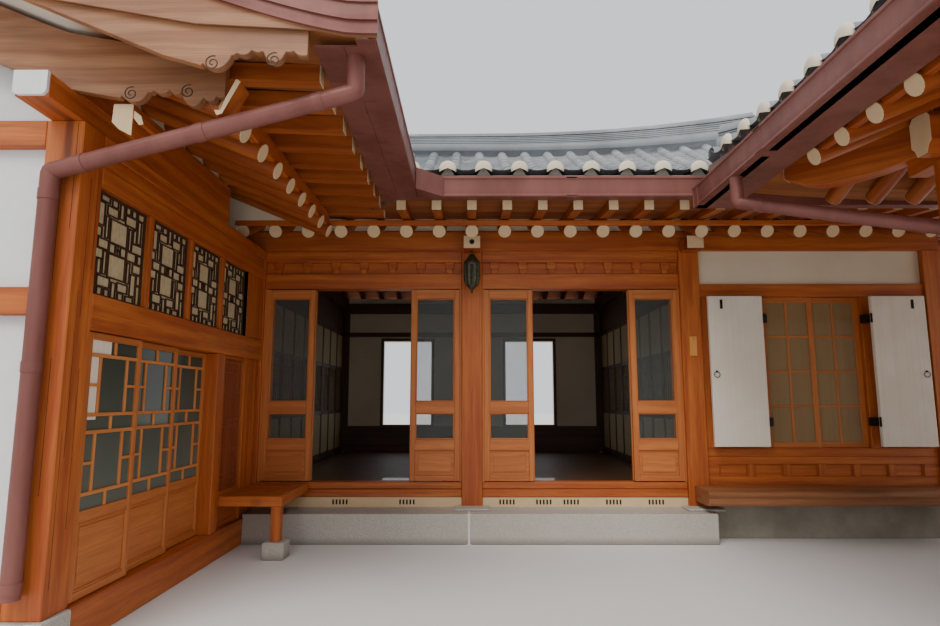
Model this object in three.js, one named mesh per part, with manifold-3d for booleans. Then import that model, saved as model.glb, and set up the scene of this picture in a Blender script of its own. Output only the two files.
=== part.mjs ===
// A one-storey hanok around a court: a main range, a left wing joined at an inner valley,
// and a free-standing side house whose eaves reach the court on the right.
// Millimetres, +Z up, +Y towards the back. The origin is at court level, under the centre
// of the hall's middle post.
import * as THREE from "three";
import { mergeVertices } from "three/addons/utils/BufferGeometryUtils.js";
import Module from "manifold-3d";

const wasm = await Module();
wasm.setup();

// Plan
const POST = 220;
const HALF = POST / 2;
const X_WEST = -6000;
const X_CORNER = -2400;
const X_MID = 0;
const X_ROOM = 2400;
const X_EAST = 5100;
const Y_REAR = 4800;
const Y_GABLE = -3300;
const Y_RIDGE = Y_REAR / 2;
const X_WING_RIDGE = (X_WEST + X_CORNER) / 2;
const WALL_SKIN = 100;
const GAP = 0.3;

// Heights
const BASE_TOP = 295;
const WING_BASE_TOP = 250;
const FLOOR_TOP = 500;
const FLOOR_THICK = 60;
const DOOR_FOOT = 560;
const DOOR_HEAD = 2640;
const LINTEL_TOP = 2810;
const BLOCK_TOP = 2940;
const PLATE_TOP = 3070;
const PURLIN_TOP = 3290;

// Roof of the main range and the wing
const EAVE_FRONT = -1075;
const RUN_MAIN = Y_RIDGE - EAVE_FRONT;
const EAVE_COURT = -625;
const RUN_WING = EAVE_COURT - X_WING_RIDGE;
const EAVE_EAST = 6195;
const VERGE_SOUTH = -3800;
const GABLE_SHARE = 0.52;
const EAVE_TOP = 3580;
const RIDGE_TOP = 5140;
const ROOF_CURVE = 1.3;
const CORNER_LIFT = 120;
const CORNER_REACH = 2200;
const GABLE_LIFT = 220;
const GABLE_LEAN = 50;
const RAFTER_STEP = 343;
const RAFTER_RADIUS = 68;
const RAFTER_SLOPE = 0.42;
const RAFTER_TIP_MAIN = -540;
const RAFTER_TIP_WING = -1480;
const TIP_HEIGHT_MAIN = 3170;
const TIP_HEIGHT_WING = 3150;
// Upright distance from a rafter's axis to its upper or lower edge, and to a flat side.
const RAFTER_EDGE = RAFTER_RADIUS * Math.hypot(1, RAFTER_SLOPE);
const RAFTER_FLAT = RAFTER_EDGE * Math.cos(Math.PI / 8);

// Side house
const SIDE_WEST = 3350;
const SIDE_EAST = 6350;
const SIDE_NORTH = -2800;
const SIDE_MID = -4900;
const SIDE_SOUTH = -7300;
const SIDE_RIDGE_X = (SIDE_WEST + SIDE_EAST) / 2;
const SIDE_EAVE = 2175;
const SIDE_RUN = SIDE_RIDGE_X - SIDE_EAVE;
const SIDE_EAVE_NORTH = -1390;
const SIDE_EAVE_SOUTH = -8410;
const SIDE_EAVE_TOP = 3430;
const SIDE_RIDGE_TOP = 4640;
const SIDE_GABLE_SHARE = 0.5;
const SIDE_TIP = 2450;

const PINE = new THREE.Color(0xb4641e);
const DARK_PINE = new THREE.Color(0x5a2f14);
const PLASTER = new THREE.Color(0xe6e1d4);
const TILE = new THREE.Color(0x8d949c);
const STONE = new THREE.Color(0x97907f);
const METAL = new THREE.Color(0x7d4a44);
const PAPER = new THREE.Color(0xdcd6c6);
const BRONZE = new THREE.Color(0x4c5a48);

const house = new THREE.Group();

function box(x0, y0, z0, x1, y1, z1) {
  const shape = new THREE.BoxGeometry(x1 - x0, y1 - y0, z1 - z0);
  shape.translate((x0 + x1) / 2, (y0 + y1) / 2, (z0 + z1) / 2);
  return shape;
}

// A closed mesh as a solid that can be joined and cut.
function solid(geometry) {
  const bare = (geometry.index ? geometry.toNonIndexed() : geometry.clone());
  bare.deleteAttribute("normal");
  bare.deleteAttribute("uv");
  const merged = mergeVertices(bare, 1e-3);
  return new wasm.Manifold(
    new wasm.Mesh({
      numProp: 3,
      vertProperties: merged.attributes.position.array,
      triVerts: new Uint32Array(merged.index.array),
    }),
  );
}

function asSolid(shape) {
  return shape.isBufferGeometry ? solid(shape) : shape;
}

function fuse(shapes) {
  return shapes.map(asSolid).reduce((whole, piece) => whole.add(piece));
}

function carve(shape, cuts) {
  return cuts.map(asSolid).reduce((left, cut) => left.subtract(cut), asSolid(shape));
}

function geometryOf(shape) {
  if (shape.isBufferGeometry) return shape;
  const mesh = shape.getMesh();
  const geometry = new THREE.BufferGeometry();
  geometry.setAttribute("position", new THREE.BufferAttribute(new Float32Array(mesh.vertProperties), 3));
  geometry.setIndex(new THREE.BufferAttribute(new Uint32Array(mesh.triVerts), 1));
  return geometry;
}

function place(name, shape, colour, roughness = 0.7, metalness = 0) {
  const material = new THREE.MeshStandardMaterial({ color: colour, roughness, metalness });
  const mesh = new THREE.Mesh(geometryOf(shape), material);
  mesh.name = name;
  house.add(mesh);
}

// A flat outline of [x, z] points, made thick along Y.
function plateXZ(points, y0, y1) {
  const outline = new THREE.Shape(points.map(([x, z]) => new THREE.Vector2(x, z)));
  const plate = new THREE.ExtrudeGeometry(outline, { depth: y1 - y0, bevelEnabled: false });
  plate.rotateX(Math.PI / 2);
  plate.translate(0, y1, 0);
  return plate;
}

// A flat outline of [y, z] points, made thick along X.
function plateYZ(points, x0, x1) {
  const plate = plateXZ(points, 0, x1 - x0);
  plate.rotateZ(Math.PI / 2);
  plate.translate(x1, 0, 0);
  return plate;
}

// A straight round bar between two points.
function rod(from, to, radius, sides = 6) {
  const a = new THREE.Vector3(...from);
  const b = new THREE.Vector3(...to);
  const bar = new THREE.CylinderGeometry(radius, radius, a.distanceTo(b), sides);
  const along = b.clone().sub(a).normalize();
  bar.applyQuaternion(new THREE.Quaternion().setFromUnitVectors(new THREE.Vector3(0, 1, 0), along));
  bar.translate((a.x + b.x) / 2, (a.y + b.y) / 2, (a.z + b.z) / 2);
  return bar;
}

// A round pipe along straight runs with mitred bends.
function pipe(points, radius) {
  const sides = 10;
  const rods = points.slice(1).map((end, i) => rod(points[i], end, radius, sides));
  const balls = points.slice(1, -1).map((corner) => {
    const ball = new THREE.SphereGeometry(radius * 1.04, sides, 6);
    ball.translate(...corner);
    return ball;
  });
  return fuse([...rods, ...balls]);
}

// Stone base and floor

const WING_INNER = X_CORNER - HALF;
const base = fuse([
  box(X_WEST - HALF, -HALF, 0, X_EAST + HALF, Y_REAR + HALF, BASE_TOP),
  box(X_WEST - HALF, Y_GABLE - HALF, 0, WING_INNER, -HALF, WING_BASE_TOP),
  box(X_CORNER + HALF, -470, 0, 2450, -HALF, BASE_TOP),
  box(WING_INNER - 20, Y_GABLE - HALF - 40, 0, X_CORNER + HALF + 30, Y_GABLE + HALF, WING_BASE_TOP),
]);
place("stone_base", base, STONE, 0.9);

place(
  "hall_floor",
  box(X_CORNER + HALF, HALF, FLOOR_TOP - FLOOR_THICK, X_ROOM - HALF, Y_REAR - HALF, FLOOR_TOP),
  DARK_PINE,
  0.45,
);

// Timber frame of the hall and room front

function post(x, y, foot, head) {
  return box(x - HALF, y - HALF, foot, x + HALF, y + HALF, head);
}

const SILL_DEPTH = 80;
const BEAM_TIP = -350;
const BEAM_TIP_FOOT = 3035;
const PURLIN_HALF = 75;
// Height of a rafter's axis at a distance in from its tip.
const rafterAxis = (tip, run) => tip + RAFTER_SLOPE * run;
const frontPurlinTop = (y) => rafterAxis(TIP_HEIGHT_MAIN, y - RAFTER_TIP_MAIN) - RAFTER_EDGE - GAP;
const frontPurlin = plateYZ(
  [
    [-PURLIN_HALF, PLATE_TOP],
    [PURLIN_HALF, PLATE_TOP],
    [PURLIN_HALF, frontPurlinTop(PURLIN_HALF)],
    [-PURLIN_HALF, frontPurlinTop(-PURLIN_HALF)],
  ],
  X_CORNER - HALF,
  X_EAST + HALF,
);
const frontPosts = [X_CORNER, X_MID, X_ROOM, X_EAST].map((x) => post(x, 0, BASE_TOP, PLATE_TOP));
const beamTips = [X_MID, X_ROOM].map((x) => box(x - 90, BEAM_TIP, BEAM_TIP_FOOT, x + 90, 0, 3172));
const hallFrontFrame = fuse([
  ...frontPosts,
  ...beamTips,
  box(X_CORNER, -SILL_DEPTH, BASE_TOP, X_EAST, SILL_DEPTH, 480),
  box(X_CORNER, -SILL_DEPTH, 480, X_ROOM, SILL_DEPTH, DOOR_FOOT - 5),
  box(X_CORNER, -SILL_DEPTH, DOOR_HEAD, X_ROOM, SILL_DEPTH, LINTEL_TOP),
  box(X_CORNER, -50, LINTEL_TOP, X_ROOM, 50, BLOCK_TOP),
  box(X_CORNER, -SILL_DEPTH, BLOCK_TOP, X_ROOM, SILL_DEPTH, PLATE_TOP),
  frontPurlin,
]);
place("hall_front_frame", hallFrontFrame, PINE);

// Room front in the third bay: wainscot, window frame, plaster above, sashes and shutters

const WINDOW_LEFT = 3190;
const WINDOW_RIGHT = 4290;
const WINDOW_FOOT = 910;
const WINDOW_HEAD = 2550;
const JAMB = 90;
const roomLeft = X_ROOM + HALF;
const roomRight = X_EAST - HALF;
const roomPanel = carve(box(roomLeft, -60, 480, roomRight, 60, 2690), [
  box(WINDOW_LEFT, -100, WINDOW_FOOT, WINDOW_RIGHT, 100, WINDOW_HEAD),
]);
place("room_front_panel", roomPanel, PINE);
place("room_upper_plaster", box(roomLeft, -40, 2690, roomRight, 40, PLATE_TOP), PLASTER, 0.9);

function lattice(x0, x1, z0, z1, y0, y1, columns, rows, bar, sheet) {
  const bars = [];
  for (let i = 0; i <= columns; i++) {
    const x = Math.round(x0 + ((x1 - x0 - bar) * i) / columns);
    bars.push(box(x, y0, z0, x + bar, y1, z1));
  }
  for (let j = 0; j <= rows; j++) {
    const z = Math.round(z0 + ((z1 - z0 - bar) * j) / rows);
    bars.push(box(x0, y0, z, x1, y1, z + bar));
  }
  const middle = Math.round((y0 + y1) / 2);
  bars.push(box(x0, middle - sheet / 2, z0, x1, middle + sheet / 2, z1));
  return fuse(bars);
}

place(
  "room_window_sashes",
  lattice(WINDOW_LEFT, WINDOW_RIGHT, WINDOW_FOOT, WINDOW_HEAD, -30, 15, 4, 4, 45, 6),
  PINE,
);

const SHUTTER_WIDE = 585;
const SHUTTER_BACK = -140;
const SHUTTER_FRONT = -185;
const HINGE_PIN = 12;
for (const [name, left, hinge] of [
  ["shutter_left", 2565, 3150],
  ["shutter_right", 4330, 4330],
]) {
  const leaf = box(left, SHUTTER_FRONT, 930, left + SHUTTER_WIDE, SHUTTER_BACK, 2540);
  const straps = [1200, 2250].map((z) =>
    box(hinge - HINGE_PIN, SHUTTER_BACK - 5, z, hinge + HINGE_PIN, -60 - GAP, z + 60),
  );
  place(name, fuse([leaf, ...straps]), PAPER, 0.8);
}

// Hall doors: two fixed outer leaves and two sliding inner leaves in each bay

const LEAF_WIDE = 532.5;
const LEAF_THICK = 36;
const OUTER_FACE = -75;
const INNER_FACE = OUTER_FACE + LEAF_THICK + 8;
const RAIL_FOOT = DOOR_FOOT - 5;
const LEAF_FOOT = DOOR_FOOT + 5;
const LEAF_TOP = DOOR_HEAD - 10;
const STILE = 55;
const LEAF_SETBACK = 8;
const ROLLER_GAP = 0.6;

function doorLeaf(x, yFront, width, foot, head, panelTop, glassTop) {
  const inner = [x + STILE, x + width - STILE];
  const holes = [
    [foot + 60, panelTop - 40],
    [panelTop + 60, panelTop + 360],
    [panelTop + 460, glassTop],
  ];
  const recesses = holes.flatMap(([z0, z1]) => [
    box(inner[0], yFront - 1, z0, inner[1], yFront + 14, z1),
    box(inner[0], yFront + LEAF_THICK - 14, z0, inner[1], yFront + LEAF_THICK + 1, z1),
  ]);
  return carve(box(x, yFront, foot, x + width, yFront + LEAF_THICK, head), recesses);
}

const BAYS = [
  ["bay1", X_CORNER + HALF],
  ["bay2", X_MID + HALF],
];
const JAMB_WIDE = (X_MID - X_CORNER - POST - 4 * LEAF_WIDE) / 2;
for (const [bay, left] of BAYS) {
  const start = left + JAMB_WIDE;
  const leaf = (x, face) => doorLeaf(x, face, LEAF_WIDE, LEAF_FOOT, LEAF_TOP, 930, 2560);
  const lastLeaf = start + 3 * LEAF_WIDE;
  const end = left + 2 * JAMB_WIDE + 4 * LEAF_WIDE;
  const back = OUTER_FACE + LEAF_THICK;
  const fixedLeaves = fuse([
    leaf(start, OUTER_FACE),
    leaf(lastLeaf, OUTER_FACE),
    box(left, OUTER_FACE, RAIL_FOOT, end, back, LEAF_FOOT + 2),
    box(left, OUTER_FACE, LEAF_TOP - 2, end, back, DOOR_HEAD),
    box(left, OUTER_FACE, RAIL_FOOT, start + 2, 60, DOOR_HEAD),
    box(end - JAMB_WIDE - 2, OUTER_FACE, RAIL_FOOT, end, 60, DOOR_HEAD),
  ]);
  place(`${bay}_fixed_leaves`, fixedLeaves, PINE);
  for (const [side, x] of [
    ["west", start + LEAF_SETBACK],
    ["east", lastLeaf - LEAF_SETBACK],
  ]) {
    const rollers = [x + 60, x + LEAF_WIDE - 100].map((at) =>
      box(at, INNER_FACE + 8, RAIL_FOOT + ROLLER_GAP, at + 40, INNER_FACE + LEAF_THICK - 8, LEAF_FOOT + 2),
    );
    place(`${bay}_sliding_${side}`, fuse([leaf(x, INNER_FACE), ...rollers]), PINE);
  }
}

// Court wall of the wing: frame, transoms, three sliding doors and a fixed lattice

const COURT_FACE = X_CORNER + HALF;
const WING_DOOR_SOUTH = -3150;
const WING_DOOR_NORTH = -1250;
const MULLION_NORTH = -1090;
const WING_DOOR_HEAD = 1840;
const WING_BEAM_TOP = 2060;
const TRANSOM_TOP = 2730;
const WING_PLATE_TOP = 3060;
const WING_PURLIN_TOP = 3420;
const PLATE_TIP = -3730;
const BOARD_BACK = -3450;
const wallY0 = Y_GABLE + HALF;
const wallY1 = -HALF;
const TRANSOM_STILE = 60;
const TRANSOM_PITCH = 660;
const COURT_PURLIN_HALF = 95;
const courtPurlinTop = (x) => rafterAxis(TIP_HEIGHT_WING, RAFTER_TIP_WING - x) - RAFTER_FLAT - 2 * GAP;
const courtPurlin = plateXZ(
  [
    [X_CORNER - COURT_PURLIN_HALF, 3200],
    [X_CORNER + COURT_PURLIN_HALF, 3200],
    [X_CORNER + COURT_PURLIN_HALF, courtPurlinTop(X_CORNER + COURT_PURLIN_HALF)],
    [X_CORNER - COURT_PURLIN_HALF, courtPurlinTop(X_CORNER - COURT_PURLIN_HALF)],
  ],
  BOARD_BACK,
  -135,
);
const wingCourtFrame = fuse([
  post(X_CORNER, Y_GABLE, WING_BASE_TOP, WING_PLATE_TOP),
  box(WING_INNER, wallY0, 0, COURT_FACE, wallY1, WING_BASE_TOP),
  box(WING_INNER, wallY0, WING_BASE_TOP, COURT_FACE, WING_DOOR_SOUTH, WING_DOOR_HEAD),
  box(WING_INNER, WING_DOOR_NORTH, WING_BASE_TOP, COURT_FACE, MULLION_NORTH, WING_DOOR_HEAD),
  box(WING_INNER, wallY0, WING_DOOR_HEAD, COURT_FACE, wallY1, WING_BEAM_TOP),
  box(WING_INNER, wallY0 + 4 * TRANSOM_PITCH - 40, WING_BEAM_TOP, COURT_FACE, wallY1, TRANSOM_TOP),
  box(WING_INNER, wallY0, TRANSOM_TOP, COURT_FACE, wallY1, WING_PLATE_TOP),
  box(X_CORNER - COURT_PURLIN_HALF, PLATE_TIP, WING_PLATE_TOP, X_CORNER + COURT_PURLIN_HALF, -135, 3200),
  courtPurlin,
]);
place("wing_court_frame", wingCourtFrame, PINE);

const transomX = COURT_FACE - 70;
const transomEnd = wallY0 + 4 * TRANSOM_PITCH - 40;
const sashFoot = WING_BEAM_TOP + 3;
const sashHead = TRANSOM_TOP - 3;
const transomBars = [0, 1, 2, 3].flatMap((i) => {
  const y0 = wallY0 + TRANSOM_PITCH * i + (i ? 20 : 0);
  const y1 = wallY0 + TRANSOM_PITCH * (i + 1) - 40;
  const bars = [0, 0.35, 0.65, 1].map((s) => {
    const y = Math.round(y0 + (y1 - y0 - 24) * s);
    return box(transomX, y, sashFoot, transomX + 35, y + 24, sashHead);
  });
  const stile = box(WING_INNER, y1, WING_BEAM_TOP, COURT_FACE, y1 + TRANSOM_STILE, TRANSOM_TOP);
  return i < 3 ? [...bars, stile] : bars;
});
const transomRails = [0, 0.5, 1].map((s) => {
  const z = Math.round(sashFoot + (sashHead - sashFoot - 24) * s);
  return box(transomX + 2, wallY0, z, transomX + 33, transomEnd, z + 24);
});
const transomSheet = box(transomX + 6, wallY0, sashFoot, transomX + 14, transomEnd, sashHead);
place("wing_transoms", fuse([transomSheet, ...transomBars, ...transomRails]), DARK_PINE);

const wingBoards = fuse([
  box(WING_INNER + 60, -500, WING_BASE_TOP, COURT_FACE - 30, wallY1, WING_DOOR_HEAD),
  box(WING_INNER + 90, MULLION_NORTH, WING_BASE_TOP, COURT_FACE - 60, -500, 560),
]);

const sideLattice = (() => {
  const x0 = COURT_FACE - 90;
  const y0 = MULLION_NORTH;
  const y1 = -500;
  const bars = [0, 0.33, 0.67, 1].map((s) => {
    const y = Math.round(y0 + (y1 - y0 - 30) * s);
    return box(x0, y, 560, x0 + 40, y + 30, WING_DOOR_HEAD);
  });
  const rails = [0, 0.25, 0.5, 0.75, 1].map((s) => {
    const z = Math.round(560 + (WING_DOOR_HEAD - 560 - 30) * s);
    return box(x0, y0, z, x0 + 40, y1, z + 30);
  });
  return fuse([box(x0, y0, 560, x0 + 8, y1, WING_DOOR_HEAD), ...bars, ...rails, wingBoards]);
})();
place("wing_corner_panel", sideLattice, PINE);

const WING_LEAF = (WING_DOOR_NORTH - WING_DOOR_SOUTH) / 3;
const WING_LEAF_THICK = 34;
const TRACK_PITCH = 42;
["south", "middle", "north"].forEach((where, i) => {
  const y0 = WING_DOOR_SOUTH + WING_LEAF * i + 5;
  const y1 = y0 + WING_LEAF - 10;
  const x1 = COURT_FACE - 30 - TRACK_PITCH * i;
  const x0 = x1 - WING_LEAF_THICK;
  const recess = (z0, z1) => [
    box(x0 - 1, y0 + STILE, z0, x0 + 13, y1 - STILE, z1),
    box(x1 - 13, y0 + STILE, z0, x1 + 1, y1 - STILE, z1),
  ];
  const rollers = [y0 + 80, y1 - 120].map((y) =>
    box(x0 + 8, y, WING_BASE_TOP + ROLLER_GAP, x1 - 8, y + 40, WING_BASE_TOP + 8),
  );
  const door = carve(box(x0, y0, WING_BASE_TOP + 6, x1, y1, WING_DOOR_HEAD - 6), [
    ...recess(WING_BASE_TOP + 70, 690),
    ...recess(780, 1785),
  ]);
  place(`wing_door_${where}`, fuse([door, ...rollers]), PINE);
});

// Closed walls: plaster slabs with the timber frame standing outside them

const REAR_FRAME_FACE = Y_REAR + HALF;
const REAR_SKIN_FACE = REAR_FRAME_FACE - 120;
const REAR_INNER = REAR_SKIN_FACE - WALL_SKIN;
const WEST_FRAME_FACE = X_WEST - HALF;
const WEST_SKIN_FACE = WEST_FRAME_FACE + 120;
const WEST_INNER = WEST_SKIN_FACE + WALL_SKIN;
const EAST_FRAME_FACE = X_EAST + HALF;
const EAST_SKIN_FACE = EAST_FRAME_FACE - 120;
const EAST_INNER = EAST_SKIN_FACE - WALL_SKIN;
const REAR_SILL = 970;
const REAR_HEAD = 2500;
const REAR_WINDOW = 880;
const REAR_WINDOWS = [-1630, 620];

const rearWindowCuts = REAR_WINDOWS.map((x) =>
  box(x, REAR_INNER - 50, REAR_SILL, x + REAR_WINDOW, REAR_SKIN_FACE + 50, REAR_HEAD),
);
const rearWall = carve(
  box(WEST_INNER, REAR_INNER, BASE_TOP, EAST_INNER, REAR_SKIN_FACE, PURLIN_TOP),
  rearWindowCuts,
);
place("rear_wall", rearWall, PLASTER, 0.9);

const RAIL = 110;
const rearPosts = [X_WEST, X_CORNER, X_MID, X_ROOM, X_EAST].map((x) =>
  box(x - HALF, REAR_SKIN_FACE, BASE_TOP, x + HALF, REAR_FRAME_FACE, PURLIN_TOP),
);
const rearRails = [BASE_TOP, REAR_SILL - RAIL, REAR_HEAD, PLATE_TOP].map((z) =>
  box(X_WEST, REAR_SKIN_FACE, z, X_EAST, REAR_FRAME_FACE - 30, z + (z === PLATE_TOP ? 240 : RAIL)),
);
place("rear_frame", fuse([...rearPosts, ...rearRails]), PINE);

const eastWall = box(EAST_INNER, HALF, BASE_TOP, EAST_SKIN_FACE, REAR_SKIN_FACE, PURLIN_TOP);
place("east_wall", eastWall, PLASTER, 0.9);
const eastFrame = fuse([
  ...[BASE_TOP, REAR_SILL - RAIL, REAR_HEAD, PLATE_TOP].map((z) =>
    box(EAST_SKIN_FACE, HALF, z, EAST_FRAME_FACE - 30, REAR_SKIN_FACE, z + (z === PLATE_TOP ? 240 : RAIL)),
  ),
  box(EAST_SKIN_FACE, Y_RIDGE - HALF, BASE_TOP, EAST_FRAME_FACE, Y_RIDGE + HALF, PURLIN_TOP),
]);
place("east_frame", eastFrame, PINE);

const westWall = box(WEST_SKIN_FACE, wallY0, WING_BASE_TOP, WEST_INNER, REAR_SKIN_FACE, PURLIN_TOP);
const WEST_WINDOWS = [-1900];
const westCuts = WEST_WINDOWS.map((y) => box(WEST_SKIN_FACE - 50, y, 1500, WEST_INNER + 50, y + 900, 2300));
place("west_wall", carve(westWall, [...westCuts, box(-6200, -HALF, 0, -5800, 5000, BASE_TOP)]), PLASTER, 0.9);
const westPosts = [-600, Y_RIDGE - 300].map((y) =>
  box(WEST_FRAME_FACE, y - HALF, BASE_TOP, WEST_SKIN_FACE, y + HALF, PURLIN_TOP),
);
const westRails = [BASE_TOP, 1390, 2300, PLATE_TOP].map((z) =>
  box(WEST_FRAME_FACE + 30, wallY0, z, WEST_SKIN_FACE, REAR_SKIN_FACE, z + (z === PLATE_TOP ? 240 : RAIL)),
);
place("west_frame", fuse([...westPosts, ...westRails]), PINE);

for (const y of WEST_WINDOWS) {
  const x = WEST_SKIN_FACE + 20;
  const bars = [0, 1 / 3, 2 / 3, 1].map((s) => box(x, y + 870 * s, 1500, x + 35, y + 870 * s + 30, 2300));
  const rails = [0, 0.5, 1].map((s) => box(x, y, 1500 + 770 * s, x + 35, y + 900, 1530 + 770 * s));
  const sheet = box(x + 20, y, 1500, x + 26, y + 900, 2300);
  place("west_window", fuse([...bars, ...rails, sheet]), PINE);
}

// South gable of the wing

const wingRafterTop = (x) => rafterAxis(TIP_HEIGHT_WING, RAFTER_TIP_WING - x) + RAFTER_FLAT + 2 * GAP;
const UNDER_WING = [
  [EAVE_COURT, 3380],
  [-960, 3410],
  [RAFTER_TIP_WING, 3440],
  [X_CORNER, wingRafterTop(X_CORNER)],
  [X_WING_RIDGE, wingRafterTop(X_WING_RIDGE)],
];

function interpolate(points, at) {
  const rising = points[0][0] < points[points.length - 1][0];
  const list = rising ? points : [...points].reverse();
  for (let i = 1; i < list.length; i++) {
    const [a, za] = list[i - 1];
    const [b, zb] = list[i];
    if (at <= b) return za + ((zb - za) * (at - a)) / (b - a);
  }
  return list[list.length - 1][1];
}

// Underside of the wing's roof at a place across the wing, the same on both sides of its ridge.
function underWing(x) {
  return interpolate(UNDER_WING, X_WING_RIDGE + Math.abs(x - X_WING_RIDGE));
}

const GABLE_FACE = -3350;
const GABLE_INNER = -3230;
const RAFTER_ROOM = 2 * RAFTER_FLAT + 3 * GAP;
const gableEast = WING_INNER;
const gableWest = 2 * X_WING_RIDGE - gableEast;
const gableWall = plateXZ(
  [
    [gableWest, WING_BASE_TOP],
    [gableEast, WING_BASE_TOP],
    [gableEast, underWing(gableEast) - RAFTER_ROOM],
    [X_WING_RIDGE, underWing(X_WING_RIDGE) - RAFTER_ROOM],
    [gableWest, underWing(gableWest) - RAFTER_ROOM],
  ],
  GABLE_FACE,
  GABLE_INNER,
);
const RIDGE_PURLIN_HALF = 110;
const WING_RIDGE_PURLIN_FOOT = 3985;
const wingRidgePurlinTop = courtPurlinTop(X_WING_RIDGE + RIDGE_PURLIN_HALF);
const wingRidgePurlin = box(
  X_WING_RIDGE - RIDGE_PURLIN_HALF, BOARD_BACK, WING_RIDGE_PURLIN_FOOT,
  X_WING_RIDGE + RIDGE_PURLIN_HALF, Y_RIDGE - 150, wingRidgePurlinTop,
);
const notchHalf = RIDGE_PURLIN_HALF + GAP;
const purlinNotch = box(
  X_WING_RIDGE - notchHalf, BOARD_BACK - 10, WING_RIDGE_PURLIN_FOOT - GAP,
  X_WING_RIDGE + notchHalf, wallY0, 4600,
);
place("wing_gable_wall", carve(gableWall, [purlinNotch]), PLASTER, 0.9);

const gableFace = Y_GABLE - HALF;
const gableFrame = fuse([
  box(WEST_FRAME_FACE, gableFace, WING_BASE_TOP, gableWest, wallY0, WING_PLATE_TOP),
  ...[WING_BASE_TOP, 1900, 2900].map((z) => box(gableWest, gableFace, z, gableEast, GABLE_FACE, z + 160)),
  box(
    X_WING_RIDGE - 90, gableFace, WING_BASE_TOP,
    X_WING_RIDGE + 90, GABLE_FACE, WING_RIDGE_PURLIN_FOOT - GAP,
  ),
  box(WEST_FRAME_FACE + 15, PLATE_TIP, WING_PLATE_TOP, gableWest - 15, wallY0, 3200),
  box(WEST_FRAME_FACE + 15, BOARD_BACK, 3200, gableWest - 15, wallY0, WING_PURLIN_TOP),
]);
place("wing_gable_frame", gableFrame, PINE);

// Roof timbers: cross beams with king posts under the ridge purlins

const crossFrames = [X_CORNER, X_MID, X_ROOM].flatMap((x) => [
  box(x - 100, 120, PLATE_TOP, x + 100, REAR_INNER, PURLIN_TOP),
  box(x - 90, Y_RIDGE - 90, PURLIN_TOP, x + 90, Y_RIDGE + 90, 4100),
]);
const mainRidgePurlin = box(
  X_WING_RIDGE + 200, Y_RIDGE - RIDGE_PURLIN_HALF, 4080,
  4300, Y_RIDGE + RIDGE_PURLIN_HALF, frontPurlinTop(Y_RIDGE - RIDGE_PURLIN_HALF),
);
place("main_roof_timbers", fuse([...crossFrames, mainRidgePurlin]), DARK_PINE);

const wingCross = [
  box(WEST_INNER, -1300, PLATE_TOP, WING_INNER, -1100, PURLIN_TOP),
  box(X_WING_RIDGE - 90, -1290, PURLIN_TOP, X_WING_RIDGE + 90, -1110, 4000),
];
place("wing_roof_timbers", fuse([wingRidgePurlin, ...wingCross]), DARK_PINE);

// Partitions on either side of the hall

for (const [name, x] of [
  ["partition_west", X_CORNER],
  ["partition_east", X_ROOM],
]) {
  place(name, box(x - 30, HALF + 10, BASE_TOP, x + 30, REAR_INNER, PLATE_TOP), PAPER, 0.8);
}

// Roofs: each is a thick shell between its tile surface and its underside

// Shares of the slope at which an underside is sampled: its bends, and some between.
function levelsFor(bends, between) {
  const shares = [...bends.map((share) => Math.min(1, Math.max(0, share))), ...between];
  return [...new Set(shares)].sort((a, b) => a - b);
}

// Underside of one slope. at(t, s) gives plan x and y, with t from eave to crest and s along the
// eave. edge(i, j) afterwards gives a point of it, for the walls that close the shell.
const COLUMNS = 8;
function underside(levels, at, under) {
  const edge = (i, j) => {
    const [x, y] = at(levels[i], j / COLUMNS);
    return [x, y, under(x, y, levels[i])];
  };
  const faces = [];
  for (let i = 0; i < levels.length - 1; i++) {
    for (let j = 0; j < COLUMNS; j++) {
      faces.push(edge(i, j), edge(i + 1, j), edge(i + 1, j + 1));
      faces.push(edge(i, j), edge(i + 1, j + 1), edge(i, j + 1));
    }
  }
  const across = (i) => Array.from({ length: COLUMNS + 1 }, (_, j) => edge(i, j));
  const up = (j, from = 0) => levels.slice(from).map((_, i) => edge(i + from, j));
  return { faces, across, up };
}

// A triangle, turned to face outward.
function facing(outward, a, b, c) {
  const [first, second, third] = [a, b, c].map((point) => new THREE.Vector3(...point));
  const normal = second.sub(first).cross(third.sub(first));
  return normal.dot(outward) < 0 ? [a, c, b] : [a, b, c];
}

// Triangles between two lines of points that run the same way, facing outward. place gives how
// far along a point is.
function stitched(first, second, place, outward) {
  const faces = [];
  let i = 0;
  let j = 0;
  while (i < first.length - 1 || j < second.length - 1) {
    const firstNext = i < first.length - 1 ? place(first[i + 1]) : Infinity;
    const secondNext = j < second.length - 1 ? place(second[j + 1]) : Infinity;
    if (firstNext <= secondNext) {
      faces.push(...facing(outward, first[i], first[i + 1], second[j]));
      i += 1;
    } else {
      faces.push(...facing(outward, first[i], second[j + 1], second[j]));
      j += 1;
    }
  }
  return faces;
}

const UP = new THREE.Vector3(0, 0, 1);
const NORTH = new THREE.Vector3(0, 1, 0);
const SOUTH = new THREE.Vector3(0, -1, 0);
const EAST = new THREE.Vector3(1, 0, 0);
const WEST = new THREE.Vector3(-1, 0, 0);
const eastward = ([x]) => x;
const westward = ([x]) => -x;
const northward = ([, y]) => y;
const southward = ([, y]) => -y;

function shell(faces) {
  const geometry = new THREE.BufferGeometry();
  geometry.setAttribute("position", new THREE.BufferAttribute(new Float32Array(faces.flat()), 3));
  return solid(geometry);
}

function mix(a, b, s) {
  return a + (b - a) * s;
}

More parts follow.
